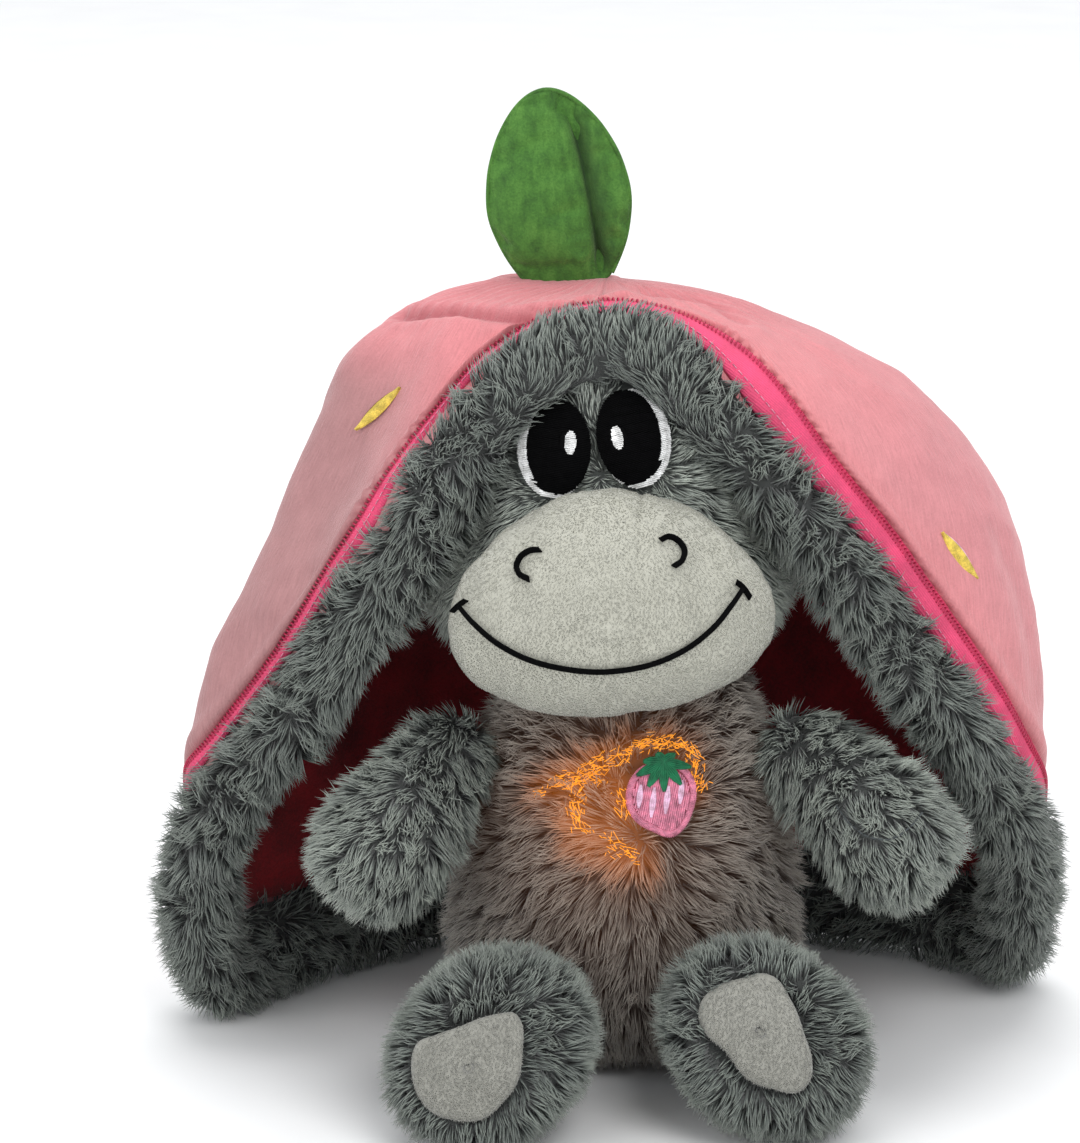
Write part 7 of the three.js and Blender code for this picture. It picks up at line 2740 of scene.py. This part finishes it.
@dataclass
class HoodHalf(SubAssembly):
    """Half of the hood: velour, lining, fur roll, zip tape and seeds."""

    shop: Workshop
    view: Viewpoint
    shape: HoodShape
    side: int
    thickness: float = 3.0
    lining_gap: float = 0.35
    lining_thickness: float = 1.6
    roll_inset: float = 5.0
    tape_front_limit: float = 46.0
    tape_reach: float = 4.2
    tape_inner: float = -3.6
    tape_thickness: float = 1.2
    tape_rises: tuple = ((-0.18, 1.0), (0.0, 2.6), (0.22, 3.7), (0.5, 4.1), (0.8, 3.9), (1.1, 2.6))
    coil_pitch: float = 1.5
    coil_thread: float = 0.3
    stitch_thread: float = 0.2
    stitch_pitch: float = 2.6
    stitch_length: float = 1.8
    seed_length: float = 19.0
    seed_thread: float = 0.33
    seed_spacing: float = 0.37
    seed_edge_thread: float = 0.4
    shell_rows: int = 110
    lining_rows: int = 60
    seed_rows: int = 70
    roll_sides: int = 40
    seeds: tuple = ()
    seed_pixels: tuple = ()
    cut: tuple = (0.45, 0.22)
    cut_area: float = 0.050

    def build(self) -> list[bpy.types.Object]:
        """Makes the half's pieces.

        Returns:
            The pieces, handed over to the frame.
        """
        self.name = "left" if self.side < 0 else "right"
        self.stretch = LEFT_LIFT if self.side < 0 else RIGHT_LIFT
        self.around = np.linspace(0, 0.5, 150) + (0 if self.side < 0 else 0.5)
        self.tape_top = self.shape.down_to(self.around, self.tape_reach)
        self.tape_low = self.shape.down_to(self.around, self.tape_inner)
        self.hem = self.shape.down_to(self.around, -6.0)
        trims = [*self._tape(), *self._seed_threads()]
        shell, lining, roll = self._shell(), self._lining(), self._roll()
        return [shell, lining, roll, *trims]

    def _nodes(self, *kinds: str) -> tuple[str, ...]:
        """The frame's nodes that a piece of this half stands for."""
        return tuple(kind.replace("side", self.name) for kind in kinds)

    def _grid(self, rows: int, hem: np.ndarray) -> tuple[np.ndarray, np.ndarray]:
        """Shares round and down for a grid of the cloth."""
        share = np.linspace(0, 1, rows) ** 0.9
        return np.tile(self.around, rows), (share[:, None] * hem[None]).ravel()

    def _cloth(self, around: np.ndarray, points: np.ndarray, rows: int) -> np.ndarray:
        """Each point's flat place: its way round, and its way down the cloth.

        Args:
            around: the ways round.
            points: the cloth's corners, row by row.
            rows: how many rows.

        Returns:
            Two flat coordinates for each corner.
        """
        grid = points.reshape(rows, -1, 3)
        steps = np.linalg.norm(np.diff(grid, axis=0), axis=2)
        down = np.vstack([np.zeros(grid.shape[1]), np.cumsum(steps, axis=0)])
        return np.stack([around.reshape(rows, -1) * self.shape.roll.lengths[-1], down], axis=2)

    def _shell(self) -> bpy.types.Object:
        """The velour, with its folds and its brushed nap.

        Returns:
            The piece, handed over to the frame.
        """
        rows = self.shell_rows
        around, down = self._grid(rows, self.hem)
        base, normal = self.shape.at(around, down), self.shape.outward(around, down)
        surface = base + normal * self.thickness
        grid_faces_all = grid_faces(rows, len(self.around), False)
        cover = Cover(surface, grid_faces_all)
        lift = 1.0 * ripple(surface, 62, 3) + 0.45 * ripple(surface, 23, 5) + 0.16 * ripple(surface, 9, 6)
        # Painted shade along each fold's crease.
        fold_shade = np.zeros(len(surface))
        for fold in FOLDS:
            path = self.view.on(cover, pixel_run(fold.pixels, count=40))
            path = path[path[:, 1] < 10]
            if not len(path):
                continue
            away = near_path(surface, path)
            near = np.exp(-((away / fold.width) ** 2))
            lift -= near * fold.depth
            lift += 0.35 * abs(fold.depth) * np.exp(-(((away - fold.width * 1.9) / fold.width) ** 2))
            fold_shade = np.maximum(fold_shade, near * fold.fold_shade)
        to_tape = self._to_tape(around, down)
        zipped = smoothly(self.tape_front_limit - base[:, 1], -6, 6)
        lift += 1.5 * np.exp(-(((to_tape - 4.2) / 2.8) ** 2)) * zipped
        lift -= 2.4 * (1 - smoothly(to_tape, -0.6, 1.6)) * zipped
        lift *= smoothly(down, 0.0, 0.12)
        gathers = (
            np.sin(around * 2 * math.pi * 46) * np.exp(-((down / 0.22) ** 2)) * smoothly(down, 0.02, 0.1)
        )
        lift += 0.55 * gathers
        outer = surface + normal * np.clip(lift, -2.6, 3.8)[:, None]
        inner = base + normal * 0.05
        shape = (rows, len(self.around), 3)
        cloth = self._cloth(around, base, rows)
        obj = closed_cloth(f"{self.name}_velour", outer.reshape(shape), inner.reshape(shape), cloth)
        front = smoothly(-surface[:, 1], -30, 20)
        # Painted highlight: warmer, brighter pink towards the top and along the zip, only on the front.
        warmth = np.clip(
            0.75 * smoothly(surface[:, 2], 190, 246) + 0.6 * np.exp(-((to_tape / 16) ** 2)) * zipped, 0, 1
        )
        # Painted shade: darker on the left side and at the lower right.
        dust = 0.95 * smoothly(-surface[:, 0], 40, 92) * smoothly(-surface[:, 2], -243, -216)
        dust += 0.25 * smoothly(surface[:, 0], 90, 140) * smoothly(-surface[:, 2], -160, -90)
        # Painted shade in the folds and in the gap beside the zip tape.
        crease = fold_shade + 0.85 * np.exp(-((to_tape / 1.1) ** 2)) * zipped
        for key, values in (("warmth", warmth * front), ("dust", dust), ("crease", np.clip(crease, 0, 1))):
            set_values(obj, key, np.concatenate([values, values * 0]))
        obj.data.materials.append(self.shop.finishes.pink)
        weld(obj)
        self.shell_cover = cover
        return hand_over(obj, "pink_velour", self.stretch, self._nodes("side_hood_panel", "hood_rear_panel"))

    def _to_tape(self, around: np.ndarray, down: np.ndarray) -> np.ndarray:
        """How far places lie above the zip tape, in millimetres down the cloth."""
        top = np.interp(around, self.around, self.tape_top)
        return (top - down) * 215

    def _lining(self) -> bpy.types.Object:
        """The dark red lining, in soft folds.

        Returns:
            The piece, handed over to the frame.
        """
        rows = self.lining_rows
        around, down = self._grid(rows, self.shape.down_to(self.around, -2.0))
        base, normal = self.shape.at(around, down), self.shape.outward(around, down)
        lift = (0.9 + 0.9 * ripple(base, 34, 15) + 0.35 * ripple(base, 12, 16)) * smoothly(down, 0.05, 0.25)
        outer = base - normal * self.lining_gap
        inner = outer - normal * (self.lining_thickness + np.clip(lift, 0, 2.6))[:, None]
        shape = (rows, len(self.around), 3)
        obj = closed_cloth(
            f"{self.name}_lining", outer.reshape(shape), inner.reshape(shape), self._cloth(around, base, rows)
        )
        obj.data.materials.append(self.shop.finishes.lining)
        weld(obj)
        return hand_over(obj, "lining", self.stretch, self._nodes("side_hood_lining", "hood_rear_lining"))

    def _roll(self) -> bpy.types.Object:
        """The fur roll along the hood's edge.

        Returns:
            The piece, handed over to the frame.
        """
        sides = self.roll_sides
        angles = np.linspace(0, 2 * math.pi, sides, endpoint=False)
        angle = np.tile(angles, len(self.around))
        middle, along, out, up, half = self.shape.section(self.around)
        spread = np.repeat(np.arange(len(self.around)), sides)
        thick_half = self.shape.pattern.roll_half_thickness - self.roll_inset
        reach = out[spread] * (np.cos(angle) * thick_half)[:, None]
        rise = up[spread] * (np.sin(angle) * (half[spread] - self.roll_inset))[:, None]
        points = middle[spread] + reach + rise
        normal = unit(reach / thick_half**2 + rise / ((half[spread] - self.roll_inset) ** 2)[:, None])
        points += normal * (0.8 * ripple(points, 34, 9) + 0.4 * ripple(points, 13, 10))[:, None]
        count = len(points)
        faces = grid_faces(len(self.around), sides, True)
        faces += [(count, (j + 1) % sides, j) for j in range(sides)]
        faces += [(count + 1, count - sides + j, count - sides + (j + 1) % sides) for j in range(sides)]
        ends = np.array([middle[0], middle[-1]])
        skin = mesh_object(f"{self.name}_roll", np.vstack([points, ends]), faces)
        face_outwards(skin)
        tape = self.shape.at(self.around, self.tape_low) + self.shape.outward(self.around, self.tape_low)
        beside_tape = near_path(points, tape)
        zipped = smoothly(self.tape_front_limit - points[:, 1], -6, 6)
        bare = np.exp(-((beside_tape / 2.6) ** 2)) * zipped
        hidden = smoothly(np.sin(angle), 0.35, 0.8) * smoothly(-np.cos(angle), -0.6, 0.1)
        thick = (1 - 0.6 * hidden) * (1 - 0.5 * bare) * smoothly(points[:, 2], 1, 7)
        thick *= 0.62 + 0.38 * smoothly(-points[:, 1], -70, -20)
        low = smoothly(-points[:, 2], -120, -30)[:, None]
        brow = (
            np.exp(-(((points[:, 0] + 4) / 48) ** 2))
            * smoothly(-points[:, 1], -10, 20)
            * smoothly(points[:, 2], 190, 215)
        )[:, None]
        fall = -UP * 0.32 + along[spread] * (0.3 * ripple(points, 30, 12))[:, None]
        fall = fall + UP * 0.2 * low + (UP * 1.15 + vec(0, 0.3, 0)) * brow
        long = (1 - 0.35 * bare) * (1 - 0.35 * brow[:, 0]) + 0.14 * ripple(points, 24, 14)
        for key, values in (("thick", thick), ("long", long), ("fall", fall)):
            tail = np.zeros((2, 3)) if values.ndim == 2 else np.zeros(2)
            set_values(skin, key, np.concatenate([values, tail]))
        fur = Fur(self.shop.finishes.fur, strands=0.92, length=8.0, width=0.56, seed=61 + self.side)
        self.shop.planted(skin, fur)
        nodes = self._nodes("side_fur_roll", "brow_roll", "rear_hem_roll")
        return hand_over(skin, "fur", self.stretch, nodes)

    def _tape(self) -> list[bpy.types.Object]:
        """The zip tape, its coil and its stitches.

        Returns:
            The pieces, handed over to the frame.
        """
        keep = self.shape.at(self.around, self.tape_top)[:, 1] < self.tape_front_limit
        around = self.around[keep]
        top, low = self.tape_top[keep], self.tape_low[keep]
        columns = []
        for share, lift in self.tape_rises:
            down = top + (low - top) * share
            columns.append(self.shape.at(around, down) + self.shape.outward(around, down) * lift)
        outer = np.stack(columns)
        middle_down = (top + low) / 2
        normal = self.shape.outward(around, middle_down)
        inner = outer - normal[None] * self.tape_thickness
        cloth = np.zeros((len(columns), len(around), 2))
        tape = closed_cloth(f"{self.name}_zip_tape_cloth", outer, inner, cloth)
        tape.data.materials.append(self.shop.finishes.tape)
        weld(tape)
        hand_over(tape, "zip_tape", self.stretch, self._nodes("side_zip_tape", "brow_zip_tape"))
        coil = self._coil(outer[2] + normal * 0.25, normal)
        stitches = []
        run = SplineRun(outer[4] + normal * 0.1)
        for at in np.arange(1, run.lengths[-1] - 2.2, self.stitch_pitch):
            stitches.append(run.even((at + np.linspace(0, self.stitch_length, 4)) / run.lengths[-1]))
        sewn = self.shop.threads(
            f"{self.name}_zip_stitches",
            stitches,
            radius=self.stitch_thread,
            finish=self.shop.finishes.rose,
            sides=4,
        )
        hand_over(sewn, "zip_tape", self.stretch)
        return [tape, coil, sewn]

    def _coil(self, line: np.ndarray, out: np.ndarray) -> bpy.types.Object:
        """The zip's coil: a small loop again and again along the tape's edge.

        Args:
            line: the tape's edge.
            out: the outward direction along it.

        Returns:
            The piece, handed over to the frame.
        """
        angles = np.linspace(0, 2 * math.pi, 10, endpoint=False)
        loop = np.column_stack([np.zeros(10), np.cos(angles) * 0.85, np.sin(angles) * 0.6])
        loop[:, 0] = np.linspace(0, self.coil_pitch * 0.55, 10)
        bead = self.shop.threads(
            "coil_loop", [loop], radius=self.coil_thread, finish=self.shop.finishes.coil, sides=4
        )
        path = line_object(f"{self.name}_zip_coil", [line])
        set_values(path, "out", out)
        self.shop.beading.run(
            path, Bead=bead, Pitch=self.coil_pitch * MM, Size=1.0, Finish=self.shop.finishes.coil
        )
        bpy.data.objects.remove(bead)
        return hand_over(path, "zip_tape", self.stretch)

    def _seed_threads(self) -> list[bpy.types.Object]:
        """Seeds in satin thread, with a paler or darker edge.

        Returns:
            The pieces, handed over to the frame.
        """
        around, down = self._grid(self.seed_rows, self.hem)
        surface = self.shape.at(around, down) + self.shape.outward(around, down) * (self.thickness + 0.4)
        cover = Cover(surface, grid_faces(self.seed_rows, len(self.around), False))
        spots = []
        for start, end in self.seed_pixels:
            a, b = self.view.on(cover, (start, end))
            spots.append((a, b))
        for way, fall, lean in self.seeds:
            a = self.shape.at(np.array([way]), np.array([fall]))[0]
            b = self.shape.at(np.array([way + lean]), np.array([fall + 0.09]))[0]
            spots.append((a, a + unit(b - a) * self.seed_length))
        gold, edges = [], []
        share = np.linspace(0, 1, 12)
        for a, b in spots:
            middle = (a + b) / 2
            _, found, _, _ = cover.tree.find_nearest(Vector(middle))
            outward = np.array(found)
            outward *= 1 if outward @ (middle - vec(-3, 12, 100)) > 0 else -1
            aside = unit(np.cross(outward, b - a))
            aside *= 1 if aside[2] > 0 else -1
            for k in range(-5, 6):
                bow = np.sin(share * math.pi) ** 0.9 * k * self.seed_spacing
                flat = a + np.outer(share, b - a) + np.outer(bow, aside)
                line = cover.nearest(flat, 1.05 - 0.03 * k * k, outward)
                (edges if k == 5 else gold).append(line)
        rim = self.shop.finishes.brown if self.side < 0 else self.shop.finishes.blush
        fill = self.shop.threads(
            f"{self.name}_seeds", gold, radius=self.seed_thread, finish=self.shop.finishes.gold
        )
        edge = self.shop.threads(f"{self.name}_seed_edges", edges, radius=self.seed_edge_thread, finish=rim)
        return [hand_over(piece, "white_thread", self.stretch) for piece in (fill, edge)]


# Leaf


@dataclass
class Leaf(SubAssembly):
    """The stuffed leaf: inflated between its rim and a deep crease."""

    shop: Workshop
    view: Viewpoint
    root: tuple = (-15.5, 8.0, 255.9)
    lean: float = -8.0
    height: float = 57.0
    width: float = 46.5
    thickness: float = 12.0
    crease_foot: float = 9.2
    crease_bow: tuple = (1.2, 5.5)
    crease_depth: float = 4.6
    seam_thread: float = 0.7
    pressure: float = 300.0
    slack: float = 0.06
    bulge_limit: float = 3.0

    def build(self) -> list[bpy.types.Object]:
        """Makes the leaf.

        Returns:
            The pieces, handed over to the frame.
        """
        axis = turned(UP, vec(0, 1, 0), self.lean)
        across = turned(vec(1, 0, 0), vec(0, 1, 0), self.lean)
        shares = (
            (-0.13, 0.58, 0.5), (0, 0.76, 0.7), (0.16, 0.92, 0.95), (0.32, 1, 1), (0.5, 0.95, 0.9),
            (0.68, 0.81, 0.74), (0.86, 0.54, 0.52), (0.96, 0.28, 0.3), (1, 0.1, 0.12),
        )  # fmt: skip
        form = StuffedForm(
            base=self.root,
            axis=tuple(axis),
            across=tuple(across),
            length=self.height,
            width=self.width,
            height=self.thickness,
            shares=shares,
        )
        obj = form.object("leaf_cloth", grow=-0.9, rows=40, sides=48)
        points = corners_of(obj) / MM
        off = points - vec(*self.root)
        share, side = off @ axis / self.height, off @ across
        front = points[:, 1] < self.root[1]
        beside = side - self._crease_at(share)
        depth = (
            self.crease_depth
            * np.exp(-((beside / 3.0) ** 2))
            * smoothly(share, -0.16, 0.0)
            * smoothly(-share, -0.99, -0.85)
        )
        points[:, 1] += np.where(front, depth, -0.3 * depth)
        set_corners(obj, points * MM)
        self._inflate(obj, (np.abs(beside) < 1.6) | (np.abs(off[:, 1]) < 0.7) | (share < 0.0))
        seam = self._rim_seam(corners_of(obj) / MM, axis, across)
        obj = self._fold_over(obj, axis, across)
        obj.data.materials.append(self.shop.finishes.leaf)
        hand_over(obj, "leaf_plush", "leaf", ("leaf",))
        return [obj, hand_over(seam, "leaf_plush", "leaf", ("leaf",))]

    def _crease_at(self, share: np.ndarray) -> np.ndarray:
        """How far across the leaf its crease lies, at shares of its height."""
        return self.crease_foot + self.crease_bow[0] * share - self.crease_bow[1] * share**2

    def _fold_over(self, obj: bpy.types.Object, axis: np.ndarray, across: np.ndarray) -> bpy.types.Object:
        """Divides the leaf's skin finely and folds its near lobe over the far one.

        Args:
            obj: the leaf.
            axis: its direction from root to tip.
            across: the direction across it.

        Returns:
            The leaf.
        """
        obj.modifiers.new("fine", "SUBSURF").levels = 2
        fine = bpy.data.meshes.new_from_object(obj.evaluated_get(bpy.context.evaluated_depsgraph_get()))
        obj.modifiers.clear()
        obj.data = fine
        points = corners_of(obj) / MM
        off = points - vec(*self.root)
        share, side = off @ axis / self.height, off @ across
        front = normals_of(obj)[:, 1] < -0.05
        beside = side - self._crease_at(share)
        fades = smoothly(-share, -0.93, -0.7) * smoothly(share, -0.14, 0.0)
        lobe = 1.9 * smoothly(beside, -9.0, -1.2) * (1 - smoothly(beside, -0.9, 0.5))
        valley = 1.6 * np.exp(-(((beside - 0.9) / 1.5) ** 2))
        points[:, 1] += np.where(front, (valley - lobe) * fades, 0)
        set_corners(obj, points * MM)
        # Painted shade: a dark line in the crease and a soft shadow beside it, cast by the folded lobe.
        line = 0.95 * np.exp(-(((beside - 0.5) / 0.8) ** 2))
        shaded = 0.62 * smoothly(beside, -0.1, 0.9) * (1 - smoothly(beside, 1.6, 9.0))
        set_values(obj, "crease", np.where(front, np.maximum(line, shaded) * fades, 0))
        return obj

    def _inflate(self, obj: bpy.types.Object, held: np.ndarray) -> None:
        """Fills the leaf with air as cloth, with its rim and crease held.

        Args:
            obj: the leaf.
            held: true or above zero for each corner that stays in place.
        """
        before = corners_of(obj)
        group = obj.vertex_groups.new(name="held")
        group.add([int(i) for i in np.flatnonzero(held)], 1.0, "REPLACE")
        cloth = obj.modifiers.new("cloth", "CLOTH").settings
        cloth.vertex_group_mass = "held"
        cloth.use_pressure = True
        cloth.uniform_pressure_force = self.pressure
        cloth.effector_weights.gravity = 0
        cloth.mass = 0.05
        cloth.shrink_min = -self.slack
        scene = bpy.context.scene
        for number in range(1, 21):
            scene.frame_set(number)
        graph = bpy.context.evaluated_depsgraph_get()
        made = np.array([v.co for v in obj.evaluated_get(graph).data.vertices])
        obj.modifiers.clear()
        obj.vertex_groups.clear()
        scene.frame_set(1)
        move = made - before
        far = np.linalg.norm(move, axis=1, keepdims=True)
        limit = self.bulge_limit * MM
        set_corners(obj, before + move * np.minimum(1, limit / np.maximum(far, 1e-9)))
        LOG.info("leaf cloth moved up to %.2f mm", far.max() / MM)

    def _rim_seam(self, points: np.ndarray, axis: np.ndarray, across: np.ndarray) -> bpy.types.Object:
        """The turned seam round the inflated leaf's rim.

        Args:
            points: the inflated leaf's rim.
            axis: the leaf's direction from root to tip.
            across: the direction across it.

        Returns:
            The seam.
        """
        off = points - vec(*self.root)
        share, side = off @ axis / self.height, off @ across
        rim = {1: [], -1: []}
        for level in np.linspace(share.min() + 0.03, share.max() - 0.012, 34):
            near = np.flatnonzero(np.abs(share - level) < 0.026)
            for way, line in rim.items():
                line.append(points[near[np.argmax(side[near] * way)]])
        tip = points[np.argmax(share)]
        line = SplineRun(np.vstack([rim[1], tip[None], rim[-1][::-1]])).even(np.linspace(0, 1, 160))
        for _ in range(24):
            line[1:-1] = (line[:-2] + 2 * line[1:-1] + line[2:]) / 4
        return self.shop.threads(
            "leaf_rim_seam", [line], radius=self.seam_thread, finish=self.shop.finishes.leaf, sides=6
        )


# Breathing module


@dataclass
class Module(SubAssembly):
    """The hard pieces: they stay as the frame has them, and get their finishes."""

    shop: Workshop
    view: Viewpoint

    def build(self) -> list[bpy.types.Object]:
        """Dresses the pieces.

        Returns:
            The frame's pieces that were dressed.
        """
        done = self.shop.finishes
        plan = {
            done.case: (
                "case_front",
                "case_rear",
                "battery_door",
                "cell_tray",
                "gear_deck",
                "breathing_plate",
            ),
            done.gear: ("cam_gear", "idler_gear", "motor_pinion"),
            done.button: ("power_button", "volume_button"),
            done.steel: ("motor", "speaker", "screw_1", "screw_2", "screw_3", "screw_4"),
            done.sleeve: ("cell_1", "cell_2", "cell_3"),
            done.board: ("circuit_board",),
            done.lens: ("left_lamp", "right_lamp"),
            done.metal: ("zip_slider", "zip_pull"),
            done.hooks: ("back_closure",),
        }
        dressed = []
        for finish, names in plan.items():
            for name in names:
                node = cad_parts[name]
                node.data.materials.clear()
                node.data.materials.append(finish)
                dressed.append(node)
        LOG.info("dressed %d pieces of the frame", len(dressed))
        return dressed


# Studio


@dataclass(frozen=True)
class Lamp:
    """A softbox."""

    name: str
    place: tuple
    aim: tuple
    size: float
    power: float


class Studio:
    """The floor, the white surround and the softboxes."""

    lamps = (
        Lamp("key", place=(0.9, -2.0, 2.0), aim=(0, 0, 0.12), size=1.6, power=36.0),
        Lamp("fill", place=(-1.6, -1.8, 1.2), aim=(0, 0, 0.12), size=1.8, power=20.0),
        Lamp("top", place=(0.0, 0.9, 3.4), aim=(0, 0.6, 0.0), size=3.6, power=85.0),
    )

    def __init__(self, view: Viewpoint) -> None:
        """Sets up the studio.

        Args:
            view: where the photograph was taken from.
        """
        view.camera()
        bpy.context.scene.view_settings.view_transform = "Standard"
        self._world()
        self._floor()
        for lamp in self.lamps:
            self._light(lamp)

    def _world(self) -> None:
        """White where the camera looks past the toy, and a soft grey light elsewhere."""
        world = bpy.data.worlds.new("studio")
        world.use_nodes = True
        bpy.context.scene.world = world
        nodes = Nodes(world.node_tree)
        world.node_tree.nodes.clear()
        path = nodes.add("ShaderNodeLightPath").outputs
        seen = nodes.sum(
            "MAXIMUM",
            path["Is Camera Ray"],
            nodes.sum("MAXIMUM", path["Is Glossy Ray"], path["Is Transmission Ray"]),
        )
        white = nodes.add("ShaderNodeBackground", {"Color": (1, 1, 1, 1), "Strength": 1.0}).outputs[0]
        soft = nodes.add("ShaderNodeBackground", {"Color": (0.93, 0.96, 1.0, 1), "Strength": 0.55}).outputs[0]
        mixed = nodes.add("ShaderNodeMixShader", {0: seen, 1: soft, 2: white}).outputs[0]
        nodes.add("ShaderNodeOutputWorld", {"Surface": mixed})

    def _floor(self) -> None:
        """A plain pale floor."""
        reach, drop = 2500, 0.2
        points = [(x * reach, y * reach, -drop) for x, y in ((-1, -1), (1, -1), (1, 1), (-1, 1))]
        floor = mesh_object("floor", np.array(points), [(0, 1, 2, 3)], smooth=False)
        made, nodes, shader = finish_tree("pale_floor")
        grain = nodes.noise(nodes.place(), wave=60.0, detail=2.0)
        colour = nodes.ramp(grain, (0.3, (0.90, 0.90, 0.90, 1)), (0.7, (0.93, 0.93, 0.93, 1)))
        wire(nodes, shader, Base_Color=colour, Roughness=0.9)
        floor.data.materials.append(made)

    def _light(self, lamp: Lamp) -> None:
        """One softbox.

        Args:
            lamp: the softbox's size and place.
        """
        data = bpy.data.lights.new(lamp.name, "AREA")
        data.shape = "DISK"
        data.size = lamp.size
        data.energy = lamp.power
        made = bpy.data.objects.new(lamp.name, data)
        place = Vector(lamp.place)
        made.location = place
        made.rotation_euler = (place - Vector(lamp.aim)).to_track_quat("Z", "Y").to_euler()
        bpy.context.scene.collection.objects.link(made)


LEFT_SEEDS = (
    (0.30, 0.72, 0.01), (0.33, 0.42, 0.0), (0.37, 0.62, -0.01), (0.43, 0.46, 0.01), (0.465, 0.72, 0.0),
)  # fmt: skip
RIGHT_SEEDS = (
    (0.53, 0.55, 0.0), (0.565, 0.74, 0.01), (0.62, 0.46, -0.01), (0.65, 0.68, 0.0),
)  # fmt: skip


def assemblies(shop: Workshop, view: Viewpoint) -> list[SubAssembly]:
    """Every sub-assembly, in the order in which they are made.

    Args:
        shop: the finishes and the trees.
        view: where the photograph was taken from.

    Returns:
        The sub-assemblies.
    """
    shape = HoodShape(HoodPattern())
    left_pixels = (((357, 430), (401, 388)),)
    right_pixels = (((941, 532), (976, 578)),)
    return [
        Module(shop, view),
        Torso(shop, view),
        Head(shop, view),
        *[Limb(shop, view, plan) for plan in limb_plans()],
        HoodHalf(
            shop, view, shape, -1, tape_reach=1.6, tape_inner=-1.8, seeds=LEFT_SEEDS, seed_pixels=left_pixels
        ),
        HoodHalf(shop, view, shape, 1, seeds=RIGHT_SEEDS, seed_pixels=right_pixels),
        Leaf(shop, view),
    ]


def main() -> None:
    """Makes the whole toy, part by part, and hands it over."""
    logging.basicConfig(level=logging.INFO, format="%(name)s: %(message)s")
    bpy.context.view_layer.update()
    view = Viewpoint()
    shop = Workshop()
    Studio(view)
    for part in assemblies(shop, view):
        made = part.build()
        LOG.info("%s: %d pieces", type(part).__name__, len(made))
    shop.tidy()


if __name__ == "__main__":
    main()
